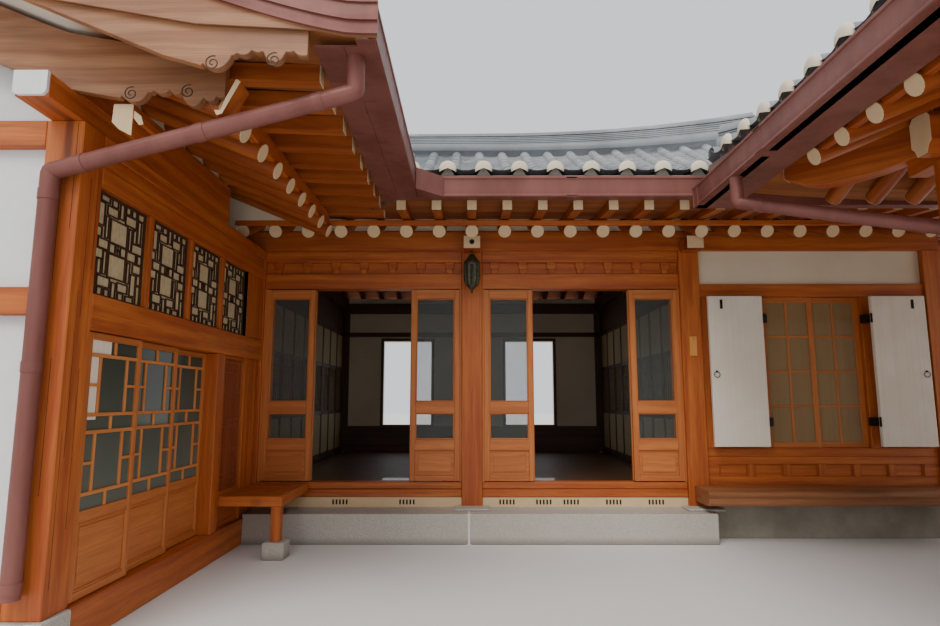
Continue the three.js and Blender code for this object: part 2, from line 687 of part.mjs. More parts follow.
// Distance in plan from a place to a line of points.
function distanceTo(line, x, y) {
  const distances = line.slice(1).map(([bx, by], i) => {
    const [ax, ay] = line[i];
    const along = (x - ax) * (bx - ax) + (y - ay) * (by - ay);
    const share = Math.min(1, Math.max(0, along / ((bx - ax) ** 2 + (by - ay) ** 2)));
    return Math.hypot(x - mix(ax, bx, share), y - mix(ay, by, share));
  });
  return Math.min(...distances);
}

const ROW_HALF = 68;
const ROW_HIGH = 100;
const ROW_SHAPE = [-ROW_HALF, 0, ROW_HALF];

// Distances of the rows of cover tiles from one end of an eave, the same from either end.
function rowPlaces(length, step) {
  const count = Math.round(length / step);
  return Array.from({ length: count }, (_, k) => {
    if (2 * k + 1 === count) return length / 2;
    return 2 * k + 1 < count ? (k + 0.5) * step : length - (count - k - 0.5) * step;
  });
}

// Tile surface of one slope, with a raised row at each of rows. a runs along the eave from 0 to
// end and d in from it, between low(a) and high(a); ground(a, d) gives plan x and y. Lines run up
// the slope at the rows' feet and crowns and at breaks. ridges are lines that rows stop short of.
function tiles({ rows, end, breaks, low, high, ground, top, run, levels, ridges }) {
  const isFree = (a, d) => {
    const [x, y] = ground(a, d);
    return ridges.every(([line, half]) => distanceTo(line, x, y) > half + 12);
  };
  const raised = rows.map((a) => {
    const feet = [a - ROW_HALF, a, a + ROW_HALF];
    const foot = Math.max(...feet.map(low));
    const from = foot > 0 ? foot + 20 : 0;
    const limit = Math.min(...feet.map(high)) - 5;
    let to = from;
    while (to + 5 < limit && feet.every((side) => isFree(side, to + 5))) to += 5;
    return { a, from, to };
  });
  const kept = raised.filter(({ from, to }) => to - from > 100);
  const places = [0, end, ...breaks, ...rows.flatMap((a) => ROW_SHAPE.map((side) => a + side))];
  const sorted = [...new Set(places)].filter((a) => a >= 0 && a <= end).sort((a, b) => a - b);
  const rowOver = (a) => kept.find((row) => Math.abs(row.a - a) < ROW_HALF);
  const lines = sorted.map((a) => {
    const row = rowOver(a);
    const height = row ? ROW_HIGH * (1 - Math.abs(row.a - a) / ROW_HALF) : 0;
    const ends = row ? [row.to, row.to + 1, ...(row.from > 0 ? [row.from - 1, row.from] : [])] : [];
    const isInside = (d) => d > low(a) && d < high(a);
    const middle = levels.map((t) => t * run).filter(isInside);
    const bends = high(a) - low(a) > 0.001 ? [low(a), ...middle, high(a)] : [low(a)];
    const bed = bends.map((d) => [d, top(...ground(a, d), d / run)]);
    return [...new Set([...bends, ...ends.filter(isInside)])]
      .sort((first, second) => first - second)
      .map((d) => {
        const isRaised = row && d >= row.from && d <= row.to;
        return [...ground(a, d), interpolate(bed, d) + (isRaised ? height : 0)];
      });
  });
  const [x0, y0] = ground(0, 0);
  const [x1, y1] = ground(0, 1);
  const inward = ([x, y]) => (x - x0) * (x1 - x0) + (y - y0) * (y1 - y0);
  const faces = lines.slice(1).flatMap((line, i) => stitched(lines[i], line, inward, UP));
  const linesIn = (from, to) => lines.filter((_, i) => sorted[i] >= from && sorted[i] <= to);
  const feet = (from, to) => linesIn(from, to).map((line) => line[0]);
  const heads = (from, to) => linesIn(from, to).map((line) => line.at(-1));
  // Wall below the eave, from its start to a place along it: the rows' open ends, and the plain edge.
  const eaveWall = (to, lower, place, outward) => {
    const plain = [];
    const ends = [];
    for (let i = 0; i < sorted.length && sorted[i] <= to; i++) {
      const row = rowOver(sorted[i]);
      if (row?.from !== 0) {
        plain.push(lines[i][0]);
        continue;
      }
      const [left, crown, right] = ROW_SHAPE.map((side) => sorted.indexOf(row.a + side));
      const corners = crown === left + 1 ? [left, i, i + 1] : [i - 1, i, right];
      ends.push(...facing(outward, ...corners.map((corner) => lines[corner][0])));
    }
    return [...ends, ...stitched(plain, lower, place, outward)];
  };
  return { faces, lines, eaveWall, feet, heads };
}

// Height that the eave gains towards a free corner, by the distance to it along the eave.
function cornerLift(distance, t, lift, reach) {
  return lift * Math.max(0, 1 - distance / reach) ** 2 * (1 - t);
}

function gableLift(x) {
  return GABLE_LIFT * Math.max(0, (x - 500) / (GABLE_X - 500)) ** 2;
}

const GABLE_X = EAVE_EAST - GABLE_SHARE * RUN_MAIN;
const EAVE_REAR = 2 * Y_RIDGE - EAVE_FRONT;
const EAVE_WEST = 2 * X_WING_RIDGE - EAVE_COURT;
const mainRafterTop = (y) => rafterAxis(TIP_HEIGHT_MAIN, y - RAFTER_TIP_MAIN) + RAFTER_EDGE + GAP;
const UNDER_MAIN = [
  [0, 3350],
  [-EAVE_FRONT - 300, 3372],
  [-EAVE_FRONT, mainRafterTop(0)],
  [RUN_MAIN, mainRafterTop(Y_RIDGE)],
];

const LEVELS = levelsFor(UNDER_MAIN.map(([d]) => d / RUN_MAIN), [0.1, 0.42, GABLE_SHARE, 0.64, 0.76, 0.88]);
const WING_LEVELS = levelsFor(UNDER_WING.map(([x]) => (EAVE_COURT - x) / RUN_WING), [0.35, 0.62, 0.75, 0.88]);
const TILE_LEVELS = [0, 0.12, 0.3, GABLE_SHARE, 0.76, 1];
const ROW_STEP = (2 * RUN_MAIN) / 20;

function liftMain(x, y, t) {
  const alongEast = Math.min(y - EAVE_FRONT, EAVE_REAR - y);
  const alongSlope = EAVE_EAST - x;
  const eastern = cornerLift(Math.max(alongEast, alongSlope), t, CORNER_LIFT, CORNER_REACH);
  const northWest = y > Y_RIDGE ? cornerLift(x - EAVE_WEST, t, CORNER_LIFT, CORNER_REACH) : 0;
  return eastern + northWest + gableLift(Math.min(x, GABLE_X)) * t * t;
}

function tileHeight(t) {
  return EAVE_TOP + (RIDGE_TOP - EAVE_TOP) * t ** ROOF_CURVE;
}

const mainTop = (x, y, t) => tileHeight(t) + liftMain(x, y, t);
const mainUnder = (x, y, t) => interpolate(UNDER_MAIN, t * RUN_MAIN) + liftMain(x, y, t);
const wingTop = (x, y, t) => tileHeight(t) + liftWing(x, y, t);
const wingUnder = (x, y, t) => underWing(X_WING_RIDGE + RUN_WING * (1 - t)) + liftWing(x, y, t);
function liftWing(x, y, t) {
  return x < X_WING_RIDGE ? cornerLift(EAVE_REAR - y, t, CORNER_LIFT, CORNER_REACH) : 0;
}

// Lines of the ridges of the main roof and the wing, which the rows of tiles stop short of, as
// they do at the foot of the gable's board.

const GABLE_BOARD = 60;
const RIDGE_BED = 90;
const RIDGE_WIDE = 280;
const VERGE_WIDE = 230;
const NINE = [0, 0.125, 0.25, 0.375, 0.5, 0.625, 0.75, 0.875, 1];
const mainRidgeLine = NINE.map((s) => {
  const x = mix(X_WING_RIDGE, GABLE_X - 5, s);
  return [x, Y_RIDGE, mainTop(x, Y_RIDGE, 1)];
});
const gableRidge = (mirror) =>
  [1, 0.88, 0.76, 0.64, GABLE_SHARE].map((t) => {
    const y = EAVE_FRONT + RUN_MAIN * t;
    const x = GABLE_X - VERGE_WIDE / 2 - 5;
    return [x, mirror ? 2 * Y_RIDGE - y : y, mainTop(x, y, t)];
  });
const eastHip = (mirror) =>
  [GABLE_SHARE, 0.42, 0.31, 0.2, 0.1, 0.03].map((t) => {
    const y = EAVE_FRONT + RUN_MAIN * t;
    const x = EAVE_EAST - RUN_MAIN * t - (t === GABLE_SHARE ? VERGE_WIDE / 2 : 0);
    return [x, mirror ? 2 * Y_RIDGE - y : y, mainTop(x, y, t)];
  });
const westHip = [1, 0.88, 0.76, 0.64, 0.52, 0.42, 0.31, 0.2, 0.1, 0.03].map((t) => {
  const x = EAVE_WEST + RUN_WING * t;
  const y = EAVE_REAR - RUN_MAIN * t;
  return [x, y, mainTop(x, y, t)];
});
const ridgeJoint = [
  [X_WING_RIDGE, Y_RIDGE + 300, RIDGE_TOP],
  [X_WING_RIDGE, Y_RIDGE - 160, RIDGE_TOP],
];
const wingRidgeLine = NINE.map((s) => {
  return [X_WING_RIDGE, mix(ridgeJoint[1][1] - GAP, VERGE_SOUTH + 5, s), RIDGE_TOP];
});
const vergeRidge = (mirror) =>
  [1, 0.88, 0.76, 0.64, 0.52, 0.42, 0.31].map((t) => {
    const x = EAVE_COURT - RUN_WING * t;
    const y = VERGE_SOUTH + VERGE_WIDE / 2 + 5;
    return [mirror ? 2 * X_WING_RIDGE - x : x, y, wingTop(x, y, t)];
  });
const gableFootLine = [
  [GABLE_X, Y_RIDGE - GABLE_SHARE * RUN_MAIN],
  [GABLE_X, Y_RIDGE + GABLE_SHARE * RUN_MAIN],
];
const pairedRidges = [gableRidge, eastHip, vergeRidge].flatMap((line) => [line(false), line(true)]);
const MAIN_RIDGES = [
  ...[mainRidgeLine, ridgeJoint, wingRidgeLine].map((line) => [line, RIDGE_WIDE / 2]),
  ...[westHip, ...pairedRidges].map((line) => [line, VERGE_WIDE / 2]),
  [gableFootLine, GABLE_BOARD],
];

// East edge of the slopes: the hip below the gable, and above it the gable's edge, moved out by margin.
function hipEnd(t, margin) {
  if (t <= GABLE_SHARE) return EAVE_EAST - RUN_MAIN * t;
  return GABLE_X - (GABLE_LEAN * (t - GABLE_SHARE)) / (1 - GABLE_SHARE) + margin;
}

// How far in a slope reaches at a distance from its hipped corner: to the hip, then to the
// leaning edge of the gable, then to the crest.
function hippedReach(a, share, run) {
  const foot = share * run;
  if (a <= foot) return a;
  return a < foot + GABLE_LEAN ? mix(foot, run, (a - foot) / GABLE_LEAN) : run;
}

// The main roof between two heights; mitre is its distance from the joint with the wing.
function mainShell(top, under, mitre, margin) {
  const gableFoot = GABLE_SHARE * RUN_MAIN;
  const leanEnd = gableFoot + GABLE_LEAN;
  const leans = TILE_LEVELS.filter((t) => t >= GABLE_SHARE).map((t) => EAVE_EAST - hipEnd(t, 0));
  const shared = { top, run: RUN_MAIN, levels: TILE_LEVELS, ridges: MAIN_RIDGES };
  const isGable = (a, d) => d > gableFoot && a <= leanEnd;
  const fromEast = (turn, y) => (a, d) => [EAVE_EAST - a + (isGable(a, d) ? margin : 0), y + turn * d];
  const valleyFoot = EAVE_EAST - EAVE_COURT - mitre;
  const valleyHead = EAVE_EAST - X_WING_RIDGE - mitre;
  const southTiles = tiles({
    ...shared,
    rows: rowPlaces(valleyHead, ROW_STEP).map((_, k) => (k + 0.5) * ROW_STEP),
    end: valleyHead,
    breaks: [...leans, valleyFoot],
    low: (a) => Math.max(0, ((a - valleyFoot) * RUN_MAIN) / RUN_WING),
    high: (a) => hippedReach(a, GABLE_SHARE, RUN_MAIN),
    ground: fromEast(1, EAVE_FRONT),
  });
  const northEnd = EAVE_EAST - EAVE_WEST - mitre;
  const northTiles = tiles({
    ...shared,
    rows: rowPlaces(northEnd, ROW_STEP).map((_, k) => (k + 0.5) * ROW_STEP),
    end: northEnd,
    breaks: [...leans, valleyFoot, valleyHead],
    low: () => 0,
    high: (a) => Math.min(hippedReach(a, GABLE_SHARE, RUN_MAIN), ((northEnd - a) * RUN_MAIN) / RUN_WING),
    ground: fromEast(-1, EAVE_REAR),
  });
  const skirtTiles = tiles({
    ...shared,
    rows: rowPlaces(2 * RUN_MAIN, ROW_STEP),
    end: 2 * RUN_MAIN,
    breaks: [gableFoot, 2 * RUN_MAIN - gableFoot],
    low: () => 0,
    high: (a) => Math.min(a, 2 * RUN_MAIN - a, gableFoot),
    ground: (a, d) => [EAVE_EAST - d, EAVE_FRONT + a],
  });
  const skirtLevels = LEVELS.filter((t) => t <= GABLE_SHARE);
  const gableLevel = skirtLevels.length - 1;
  const south = underside(
    LEVELS,
    (t, s) => [mix(EAVE_COURT + mitre - RUN_WING * t, hipEnd(t, margin), s), EAVE_FRONT + RUN_MAIN * t],
    under,
  );
  const north = underside(
    LEVELS,
    (t, s) => [mix(hipEnd(t, margin), EAVE_WEST + mitre + RUN_WING * t, s), EAVE_REAR - RUN_MAIN * t],
    under,
  );
  const skirt = underside(
    skirtLevels,
    (t, s) => [hipEnd(t, margin), mix(EAVE_FRONT + RUN_MAIN * t, EAVE_REAR - RUN_MAIN * t, s)],
    under,
  );
  return shell([
    ...[southTiles, northTiles, skirtTiles, south, north, skirt].flatMap(({ faces }) => faces),
    ...southTiles.eaveWall(valleyFoot, south.across(0).reverse(), westward, SOUTH),
    ...stitched(southTiles.feet(valleyFoot, valleyHead), south.up(0), westward, WEST),
    ...stitched(southTiles.heads(gableFoot, leanEnd), south.up(COLUMNS, gableLevel), northward, EAST),
    ...northTiles.eaveWall(northEnd, north.across(0), westward, NORTH),
    ...stitched(northTiles.heads(valleyHead, northEnd), north.up(COLUMNS).reverse(), westward, WEST),
    ...stitched(northTiles.heads(gableFoot, leanEnd), north.up(0, gableLevel), southward, EAST),
    ...skirtTiles.eaveWall(2 * RUN_MAIN, skirt.across(0), northward, EAST),
    ...stitched(
      skirtTiles.heads(gableFoot, 2 * RUN_MAIN - gableFoot),
      skirt.across(gableLevel),
      northward,
      WEST,
    ),
  ]);
}

const mainRoof = mainShell(mainTop, mainUnder, GAP / 2, 0);
place("main_roof", mainRoof, TILE, 0.8);

function wingShell(top, under, mitre) {
  const valleyFoot = EAVE_FRONT - mitre - VERGE_SOUTH;
  const valleyHead = Y_RIDGE - mitre - VERGE_SOUTH;
  const rearEnd = EAVE_REAR - mitre - VERGE_SOUTH;
  const rows = rowPlaces(rearEnd, ROW_STEP).map((_, k) => (k + 0.5) * ROW_STEP);
  const shared = { top, run: RUN_WING, levels: TILE_LEVELS, ridges: MAIN_RIDGES, rows };
  const eastTiles = tiles({
    ...shared,
    end: valleyHead,
    breaks: [valleyFoot],
    low: (a) => Math.max(0, ((a - valleyFoot) * RUN_WING) / RUN_MAIN),
    high: () => RUN_WING,
    ground: (a, d) => [EAVE_COURT - d, VERGE_SOUTH + a],
  });
  const westTiles = tiles({
    ...shared,
    end: rearEnd,
    breaks: [valleyFoot, valleyHead],
    low: () => 0,
    high: (a) => Math.min(RUN_WING, ((rearEnd - a) * RUN_WING) / RUN_MAIN),
    ground: (a, d) => [EAVE_WEST + d, VERGE_SOUTH + a],
  });
  const east = underside(
    WING_LEVELS,
    (t, s) => [EAVE_COURT - RUN_WING * t, mix(VERGE_SOUTH, EAVE_FRONT + RUN_MAIN * t - mitre, s)],
    under,
  );
  const west = underside(
    WING_LEVELS,
    (t, s) => [EAVE_WEST + RUN_WING * t, mix(EAVE_REAR - RUN_MAIN * t - mitre, VERGE_SOUTH, s)],
    under,
  );
  return shell([
    ...[eastTiles, westTiles, east, west].flatMap(({ faces }) => faces),
    ...stitched(eastTiles.lines[0], east.up(0), westward, SOUTH),
    ...stitched(westTiles.lines[0], west.up(COLUMNS), eastward, SOUTH),
    ...eastTiles.eaveWall(valleyFoot, east.across(0), northward, EAST),
    ...stitched(eastTiles.feet(valleyFoot, valleyHead), east.up(COLUMNS), northward, NORTH),
    ...westTiles.eaveWall(rearEnd, west.across(0).reverse(), northward, WEST),
    ...stitched(westTiles.heads(valleyHead, rearEnd), west.up(0).reverse(), northward, NORTH),
  ]);
}

const wingRoof = wingShell(wingTop, wingUnder, GAP / 2);
place("wing_roof", wingRoof, TILE, 0.8);

// Side house roof, hipped below a small gable at both ends

const SIDE_GABLE_NORTH = SIDE_EAVE_NORTH - SIDE_GABLE_SHARE * SIDE_RUN;
const SIDE_GABLE_SOUTH = SIDE_EAVE_SOUTH + SIDE_GABLE_SHARE * SIDE_RUN;
const SIDE_EAVE_EAST = 2 * SIDE_RIDGE_X - SIDE_EAVE;
const SIDE_LENGTH = SIDE_EAVE_NORTH - SIDE_EAVE_SOUTH;
const sideRafterTop = (x) => rafterAxis(TIP_HEIGHT_WING, x - SIDE_TIP) + RAFTER_FLAT + 2 * GAP;
const UNDER_SIDE = [
  [0, 3210],
  [SIDE_TIP - SIDE_EAVE, sideRafterTop(SIDE_TIP)],
  [SIDE_RUN, sideRafterTop(SIDE_RIDGE_X)],
];
const sideBends = UNDER_SIDE.map(([d]) => d / SIDE_RUN);
const SIDE_LEVELS = levelsFor(sideBends, [0.22, 0.33, SIDE_GABLE_SHARE, 0.66, 0.83]);
const SIDE_TILE_LEVELS = [0, 0.16, 0.33, SIDE_GABLE_SHARE, 0.75, 1];
const SIDE_ROW_STEP = (2 * SIDE_RUN) / 16;

function liftSide(x, y, t) {
  const across = Math.min(x - SIDE_EAVE, SIDE_EAVE_EAST - x);
  const along = Math.min(SIDE_EAVE_NORTH - y, y - SIDE_EAVE_SOUTH);
  const span = (SIDE_GABLE_NORTH - SIDE_GABLE_SOUTH) / 2;
  const middle = (SIDE_GABLE_NORTH + SIDE_GABLE_SOUTH) / 2;
  const crest = 140 * (Math.min(Math.abs(y - middle), span) / span) ** 3 * t * t;
  return cornerLift(Math.max(across, along), t, CORNER_LIFT, CORNER_REACH) + crest;
}

const sideTop = (x, y, t) =>
  SIDE_EAVE_TOP + (SIDE_RIDGE_TOP - SIDE_EAVE_TOP) * t ** ROOF_CURVE + liftSide(x, y, t);
const sideUnder = (x, y, t) => interpolate(UNDER_SIDE, t * SIDE_RUN) + liftSide(x, y, t);

const sideRidgeLine = NINE.map((s) => {
  const y = mix(SIDE_GABLE_NORTH - 5, SIDE_GABLE_SOUTH + 5, s);
  return [SIDE_RIDGE_X, y, sideTop(SIDE_RIDGE_X, y, 1)];
});
const sideCorner = (x, y, east, south) => [
  east ? 2 * SIDE_RIDGE_X - x : x,
  south ? SIDE_EAVE_NORTH + SIDE_EAVE_SOUTH - y : y,
];
const sideEndRidges = [false, true].flatMap((south) =>
  [false, true].map((east) => ({
    gable: [1, 0.83, 0.66, SIDE_GABLE_SHARE].map((t) => {
      const x = SIDE_EAVE + SIDE_RUN * t;
      const y = SIDE_GABLE_NORTH - VERGE_WIDE / 2 - 5;
      return [...sideCorner(x, y, east, south), sideTop(x, y, t)];
    }),
    hip: [SIDE_GABLE_SHARE, 0.36, 0.22, 0.1, 0.04].map((t) => {
      const x = SIDE_EAVE + SIDE_RUN * t;
      const y = SIDE_EAVE_NORTH - SIDE_RUN * t - (t === SIDE_GABLE_SHARE ? VERGE_WIDE / 2 : 0);
      return [...sideCorner(x, y, east, south), sideTop(x, y, t)];
    }),
  })),
);
const SIDE_RIDGES = [
  [sideRidgeLine, RIDGE_WIDE / 2],
  ...sideEndRidges.flatMap(({ gable, hip }) => [gable, hip].map((line) => [line, VERGE_WIDE / 2])),
];

// North edge of the long slopes of the side house, by share of the slope, and the south one.
const sideLean = (t) => (GABLE_LEAN * (t - SIDE_GABLE_SHARE)) / (1 - SIDE_GABLE_SHARE);
const sideNorth = (t, margin) =>
  t <= SIDE_GABLE_SHARE ? SIDE_EAVE_NORTH - SIDE_RUN * t : SIDE_GABLE_NORTH - sideLean(t) + margin;
const sideSouth = (t, margin) =>
  t <= SIDE_GABLE_SHARE ? SIDE_EAVE_SOUTH + SIDE_RUN * t : SIDE_GABLE_SOUTH + sideLean(t) - margin;

function sideShell(top, under, margin) {
  const gableFoot = SIDE_GABLE_SHARE * SIDE_RUN;
  const leanEnd = gableFoot + GABLE_LEAN;
  const leans = SIDE_TILE_LEVELS.filter((t) => t >= SIDE_GABLE_SHARE).map((t) => gableFoot + sideLean(t));
  const shared = { top, run: SIDE_RUN, levels: SIDE_TILE_LEVELS, ridges: SIDE_RIDGES, low: () => 0 };
  const marginAt = (a, d) => {
    if (d <= gableFoot) return 0;
    if (a <= leanEnd) return margin;
    return a >= SIDE_LENGTH - leanEnd ? -margin : 0;
  };
  const longTiles = (turn, x) =>
    tiles({
      ...shared,
      rows: rowPlaces(SIDE_LENGTH, SIDE_ROW_STEP),
      end: SIDE_LENGTH,
      breaks: [...leans, ...leans.map((a) => SIDE_LENGTH - a)],
      high: (a) => hippedReach(Math.min(a, SIDE_LENGTH - a), SIDE_GABLE_SHARE, SIDE_RUN),
      ground: (a, d) => [x + turn * d, SIDE_EAVE_NORTH - a + marginAt(a, d)],
    });
  const skirtTiles = (turn, y) =>
    tiles({
      ...shared,
      rows: rowPlaces(2 * SIDE_RUN, SIDE_ROW_STEP),
      end: 2 * SIDE_RUN,
      breaks: [gableFoot, 2 * SIDE_RUN - gableFoot],
      high: (a) => Math.min(a, 2 * SIDE_RUN - a, gableFoot),
      ground: (a, d) => [SIDE_EAVE + a, y + turn * d],
    });
  const skirtLevels = SIDE_LEVELS.filter((t) => t <= SIDE_GABLE_SHARE);
  const gableLevel = skirtLevels.length - 1;
  const westTiles = longTiles(1, SIDE_EAVE);
  const eastTiles = longTiles(-1, SIDE_EAVE_EAST);
  const northTiles = skirtTiles(-1, SIDE_EAVE_NORTH);
  const southTiles = skirtTiles(1, SIDE_EAVE_SOUTH);
  const west = underside(
    SIDE_LEVELS,
    (t, s) => [SIDE_EAVE + SIDE_RUN * t, mix(sideNorth(t, margin), sideSouth(t, margin), s)],
    under,
  );
  const east = underside(
    SIDE_LEVELS,
    (t, s) => [SIDE_EAVE_EAST - SIDE_RUN * t, mix(sideSouth(t, margin), sideNorth(t, margin), s)],
    under,
  );
  const north = underside(
    skirtLevels,
    (t, s) => [mix(SIDE_EAVE_EAST - SIDE_RUN * t, SIDE_EAVE + SIDE_RUN * t, s), sideNorth(t, margin)],
    under,
  );
  const south = underside(
    skirtLevels,
    (t, s) => [mix(SIDE_EAVE + SIDE_RUN * t, SIDE_EAVE_EAST - SIDE_RUN * t, s), sideSouth(t, margin)],
    under,
  );
  const farFoot = SIDE_LENGTH - gableFoot;
  const farLean = SIDE_LENGTH - leanEnd;
  const skirtEnd = 2 * SIDE_RUN - gableFoot;
  return shell([
    ...[westTiles, eastTiles, northTiles, southTiles, west, east, north, south].flatMap(({ faces }) => faces),
    ...westTiles.eaveWall(SIDE_LENGTH, west.across(0), southward, WEST),
    ...eastTiles.eaveWall(SIDE_LENGTH, east.across(0).reverse(), southward, EAST),
    ...northTiles.eaveWall(2 * SIDE_RUN, north.across(0).reverse(), eastward, NORTH),
    ...southTiles.eaveWall(2 * SIDE_RUN, south.across(0), eastward, SOUTH),
    ...stitched(northTiles.heads(gableFoot, skirtEnd), north.across(gableLevel).reverse(), eastward, SOUTH),
    ...stitched(southTiles.heads(gableFoot, skirtEnd), south.across(gableLevel), eastward, NORTH),
    ...stitched(westTiles.heads(gableFoot, leanEnd), west.up(0, gableLevel), eastward, NORTH),
    ...stitched(westTiles.heads(farLean, farFoot).reverse(), west.up(COLUMNS, gableLevel), eastward, SOUTH),
    ...stitched(eastTiles.heads(gableFoot, leanEnd), east.up(COLUMNS, gableLevel), westward, NORTH),
    ...stitched(eastTiles.heads(farLean, farFoot).reverse(), east.up(0, gableLevel), westward, SOUTH),
  ]);
}

const sideRoof = sideShell(sideTop, sideUnder, 0);
place("side_roof", sideRoof, TILE, 0.8);

// Ridges: walls of thin tiles along each crest, seated on the roof

// A bar of upright section along points that lie on the roof; rise gives its height at each.
function ridgeBar(points, width, rise) {
  const [x0, y0] = points[0];
  const [x1, y1] = points.at(-1);
  const side = new THREE.Vector2(y0 - y1, x1 - x0).setLength(width / 2);
  const rings = points.map(([x, y, z], i) => {
    const top = z + rise(i / (points.length - 1));
    return [
      [x + side.x, y + side.y, z - RIDGE_BED],
      [x - side.x, y - side.y, z - RIDGE_BED],
      [x - side.x, y - side.y, top],
      [x + side.x, y + side.y, top],
    ];
  });
  const faces = [];
  const quad = (a, b, c, d) => faces.push(a, b, c, a, c, d);
  for (let i = 1; i < rings.length; i++) {
    for (let k = 0; k < 4; k++) {
      const n = (k + 1) % 4;
      quad(rings[i - 1][k], rings[i][k], rings[i][n], rings[i - 1][n]);
    }
  }
  quad(...[0, 1, 2, 3].map((k) => rings[0][k]));
  quad(...[3, 2, 1, 0].map((k) => rings.at(-1)[k]));
  return shell(faces);
}

// Everything below a roof's tiles, which is cut from the ridges so that they sit on it.
const raised = (top) => (x, y, t) => top(x, y, t) + 2 * GAP;
const below = () => 3000;
const mainBed = mainShell(raised(mainTop), below, -6, 1);
const wingBed = wingShell(raised(wingTop), below, -6);
const sideBed = sideShell(raised(sideTop), below, 1);

const mainRidges = fuse([
  ridgeBar(mainRidgeLine, RIDGE_WIDE, (s) => 390 + 140 * s ** 4),
  ridgeBar(westHip, VERGE_WIDE, (s) => 300 + 60 * s ** 4),
  ridgeBar(ridgeJoint, RIDGE_WIDE, () => 390),
  ...[false, true].flatMap((mirror) => [
    ridgeBar(gableRidge(mirror), VERGE_WIDE, () => 280),
    ridgeBar(eastHip(mirror), VERGE_WIDE, (s) => 250 + 60 * s ** 4),
  ]),
]);
place("main_ridge_tiles", carve(mainRidges, [mainBed, wingBed]), TILE, 0.8);

const wingRidges = fuse([
  ridgeBar(wingRidgeLine, RIDGE_WIDE, (s) => 390 + 100 * s ** 4),
  ridgeBar(vergeRidge(false), VERGE_WIDE, () => 270),
  ridgeBar(vergeRidge(true), VERGE_WIDE, () => 270),
]);
place("wing_ridge_tiles", carve(wingRidges, [mainBed, wingBed]), TILE, 0.8);

const sideRidges = fuse([
  ridgeBar(sideRidgeLine, RIDGE_WIDE, (s) => 340 + 90 * (2 * s - 1) ** 6),
  ...sideEndRidges.flatMap(({ gable, hip }) => [
    ridgeBar(gable, VERGE_WIDE, () => 250),
    ridgeBar(hip, VERGE_WIDE, (s) => 230 + 120 * s ** 4),
  ]),
]);
place("side_ridge_tiles", carve(sideRidges, [sideBed]), TILE, 0.8);

// East gable of the main roof

const gableBoardLevels = [0.6, 0.64, 0.76, 0.88, 1];
const gableBoardFoot = mainTop(GABLE_X, EAVE_FRONT + RUN_MAIN * gableBoardLevels[0], GABLE_SHARE) + GAP;
const gableBoardFront = gableBoardLevels.map((t) => {
  const y = EAVE_FRONT + RUN_MAIN * t;
  return [y, mainTop(GABLE_X, y, t) - 70];
});
const gableBoardRear = gableBoardFront.slice(0, -1).reverse().map(([y, z]) => [2 * Y_RIDGE - y, z]);
const gableBoard = plateYZ(
  [
    [gableBoardFront[0][0], gableBoardFoot],
    ...gableBoardFront,
    ...gableBoardRear,
    [2 * Y_RIDGE - gableBoardFront[0][0], gableBoardFoot],
  ],
  GABLE_X + GAP,
  GABLE_X + GABLE_BOARD,
);
place("east_gable_board", gableBoard, PLASTER, 0.9);

// Rafters with the flying rafters and eave battens that join them

const RAFTER_SIDES = 8;
const FLYING_WIDE = 90;
const FLYING_DEEP = 107;
const RAFTER_COUNT_MAIN = 18;
const mainRafterX = Array.from({ length: RAFTER_COUNT_MAIN }, (_, k) => (k - 4) * RAFTER_STEP);
const mainFlyingTop = (y) => interpolate(UNDER_MAIN, y - EAVE_FRONT) - 0.5;
const mainRafters = mainRafterX.flatMap((x) => {
  const hipY = EAVE_FRONT + EAVE_EAST - x - 150;
  const ridgeY = x > GABLE_X - 90 ? hipY : Y_RIDGE - 15;
  const round = rod(
    [x, RAFTER_TIP_MAIN, TIP_HEIGHT_MAIN],
    [x, ridgeY, TIP_HEIGHT_MAIN + RAFTER_SLOPE * (ridgeY - RAFTER_TIP_MAIN)],
    RAFTER_RADIUS,
    RAFTER_SIDES,
  );
  if (x < EAVE_COURT - 400) return [round];
  const tip = [-1050, mainFlyingTop(-1050)];
  const heel = [-330, mainFlyingTop(-330)];
  const flying = plateYZ(
    [[tip[0], tip[1] - FLYING_DEEP], [heel[0], heel[1] - FLYING_DEEP], heel, tip],
    x - FLYING_WIDE / 2,
    x + FLYING_WIDE / 2,
  );
  return [round, flying];
});
const mainBatten = box(mainRafterX[0] - 60, -590, 3222, mainRafterX.at(-1) + 60, -545, 3275);
place("main_rafters", fuse([...mainRafters, mainBatten]), PINE);

const WING_RAFTER_FIRST = -3370;
// The last flying rafter stops short of the valley.
const WING_FLYING_TIP = -907;
const LAST_FLYING_TIP = -1150;
const wingRafterY = [0, 1, 2, 3, 4, 5, 6, 7, 8].map((k) => WING_RAFTER_FIRST + RAFTER_STEP * k);
const wingRafters = wingRafterY.flatMap((y, index) => {
  const ridgeX = X_WING_RIDGE + 15;
  const round = rod(
    [RAFTER_TIP_WING, y, TIP_HEIGHT_WING],
    [ridgeX, y, TIP_HEIGHT_WING + RAFTER_SLOPE * (RAFTER_TIP_WING - ridgeX)],
    RAFTER_RADIUS,
    RAFTER_SIDES,
  );
  const slope = (3440 - 3410) / (RAFTER_TIP_WING + 960);
  const heelTop = 3409 + slope * (960 - 1800);
  const tip = index < 8 ? WING_FLYING_TIP : LAST_FLYING_TIP;
  const tipTop = underWing(tip) - 1;
  const flying = plateXZ(
    [
      [-1800, heelTop - FLYING_DEEP],
      [tip, tipTop - FLYING_DEEP],
      [tip, tipTop],
      [-1800, heelTop],
    ],
    y - FLYING_WIDE / 2,
    y + FLYING_WIDE / 2,
  );
  return [round, flying];
});
const wingBatten = box(-1545, wingRafterY[0] - 60, 3200, -1490, wingRafterY.at(-1) + 60, 3345);
place("wing_rafters", fuse([...wingRafters, wingBatten]), PINE);

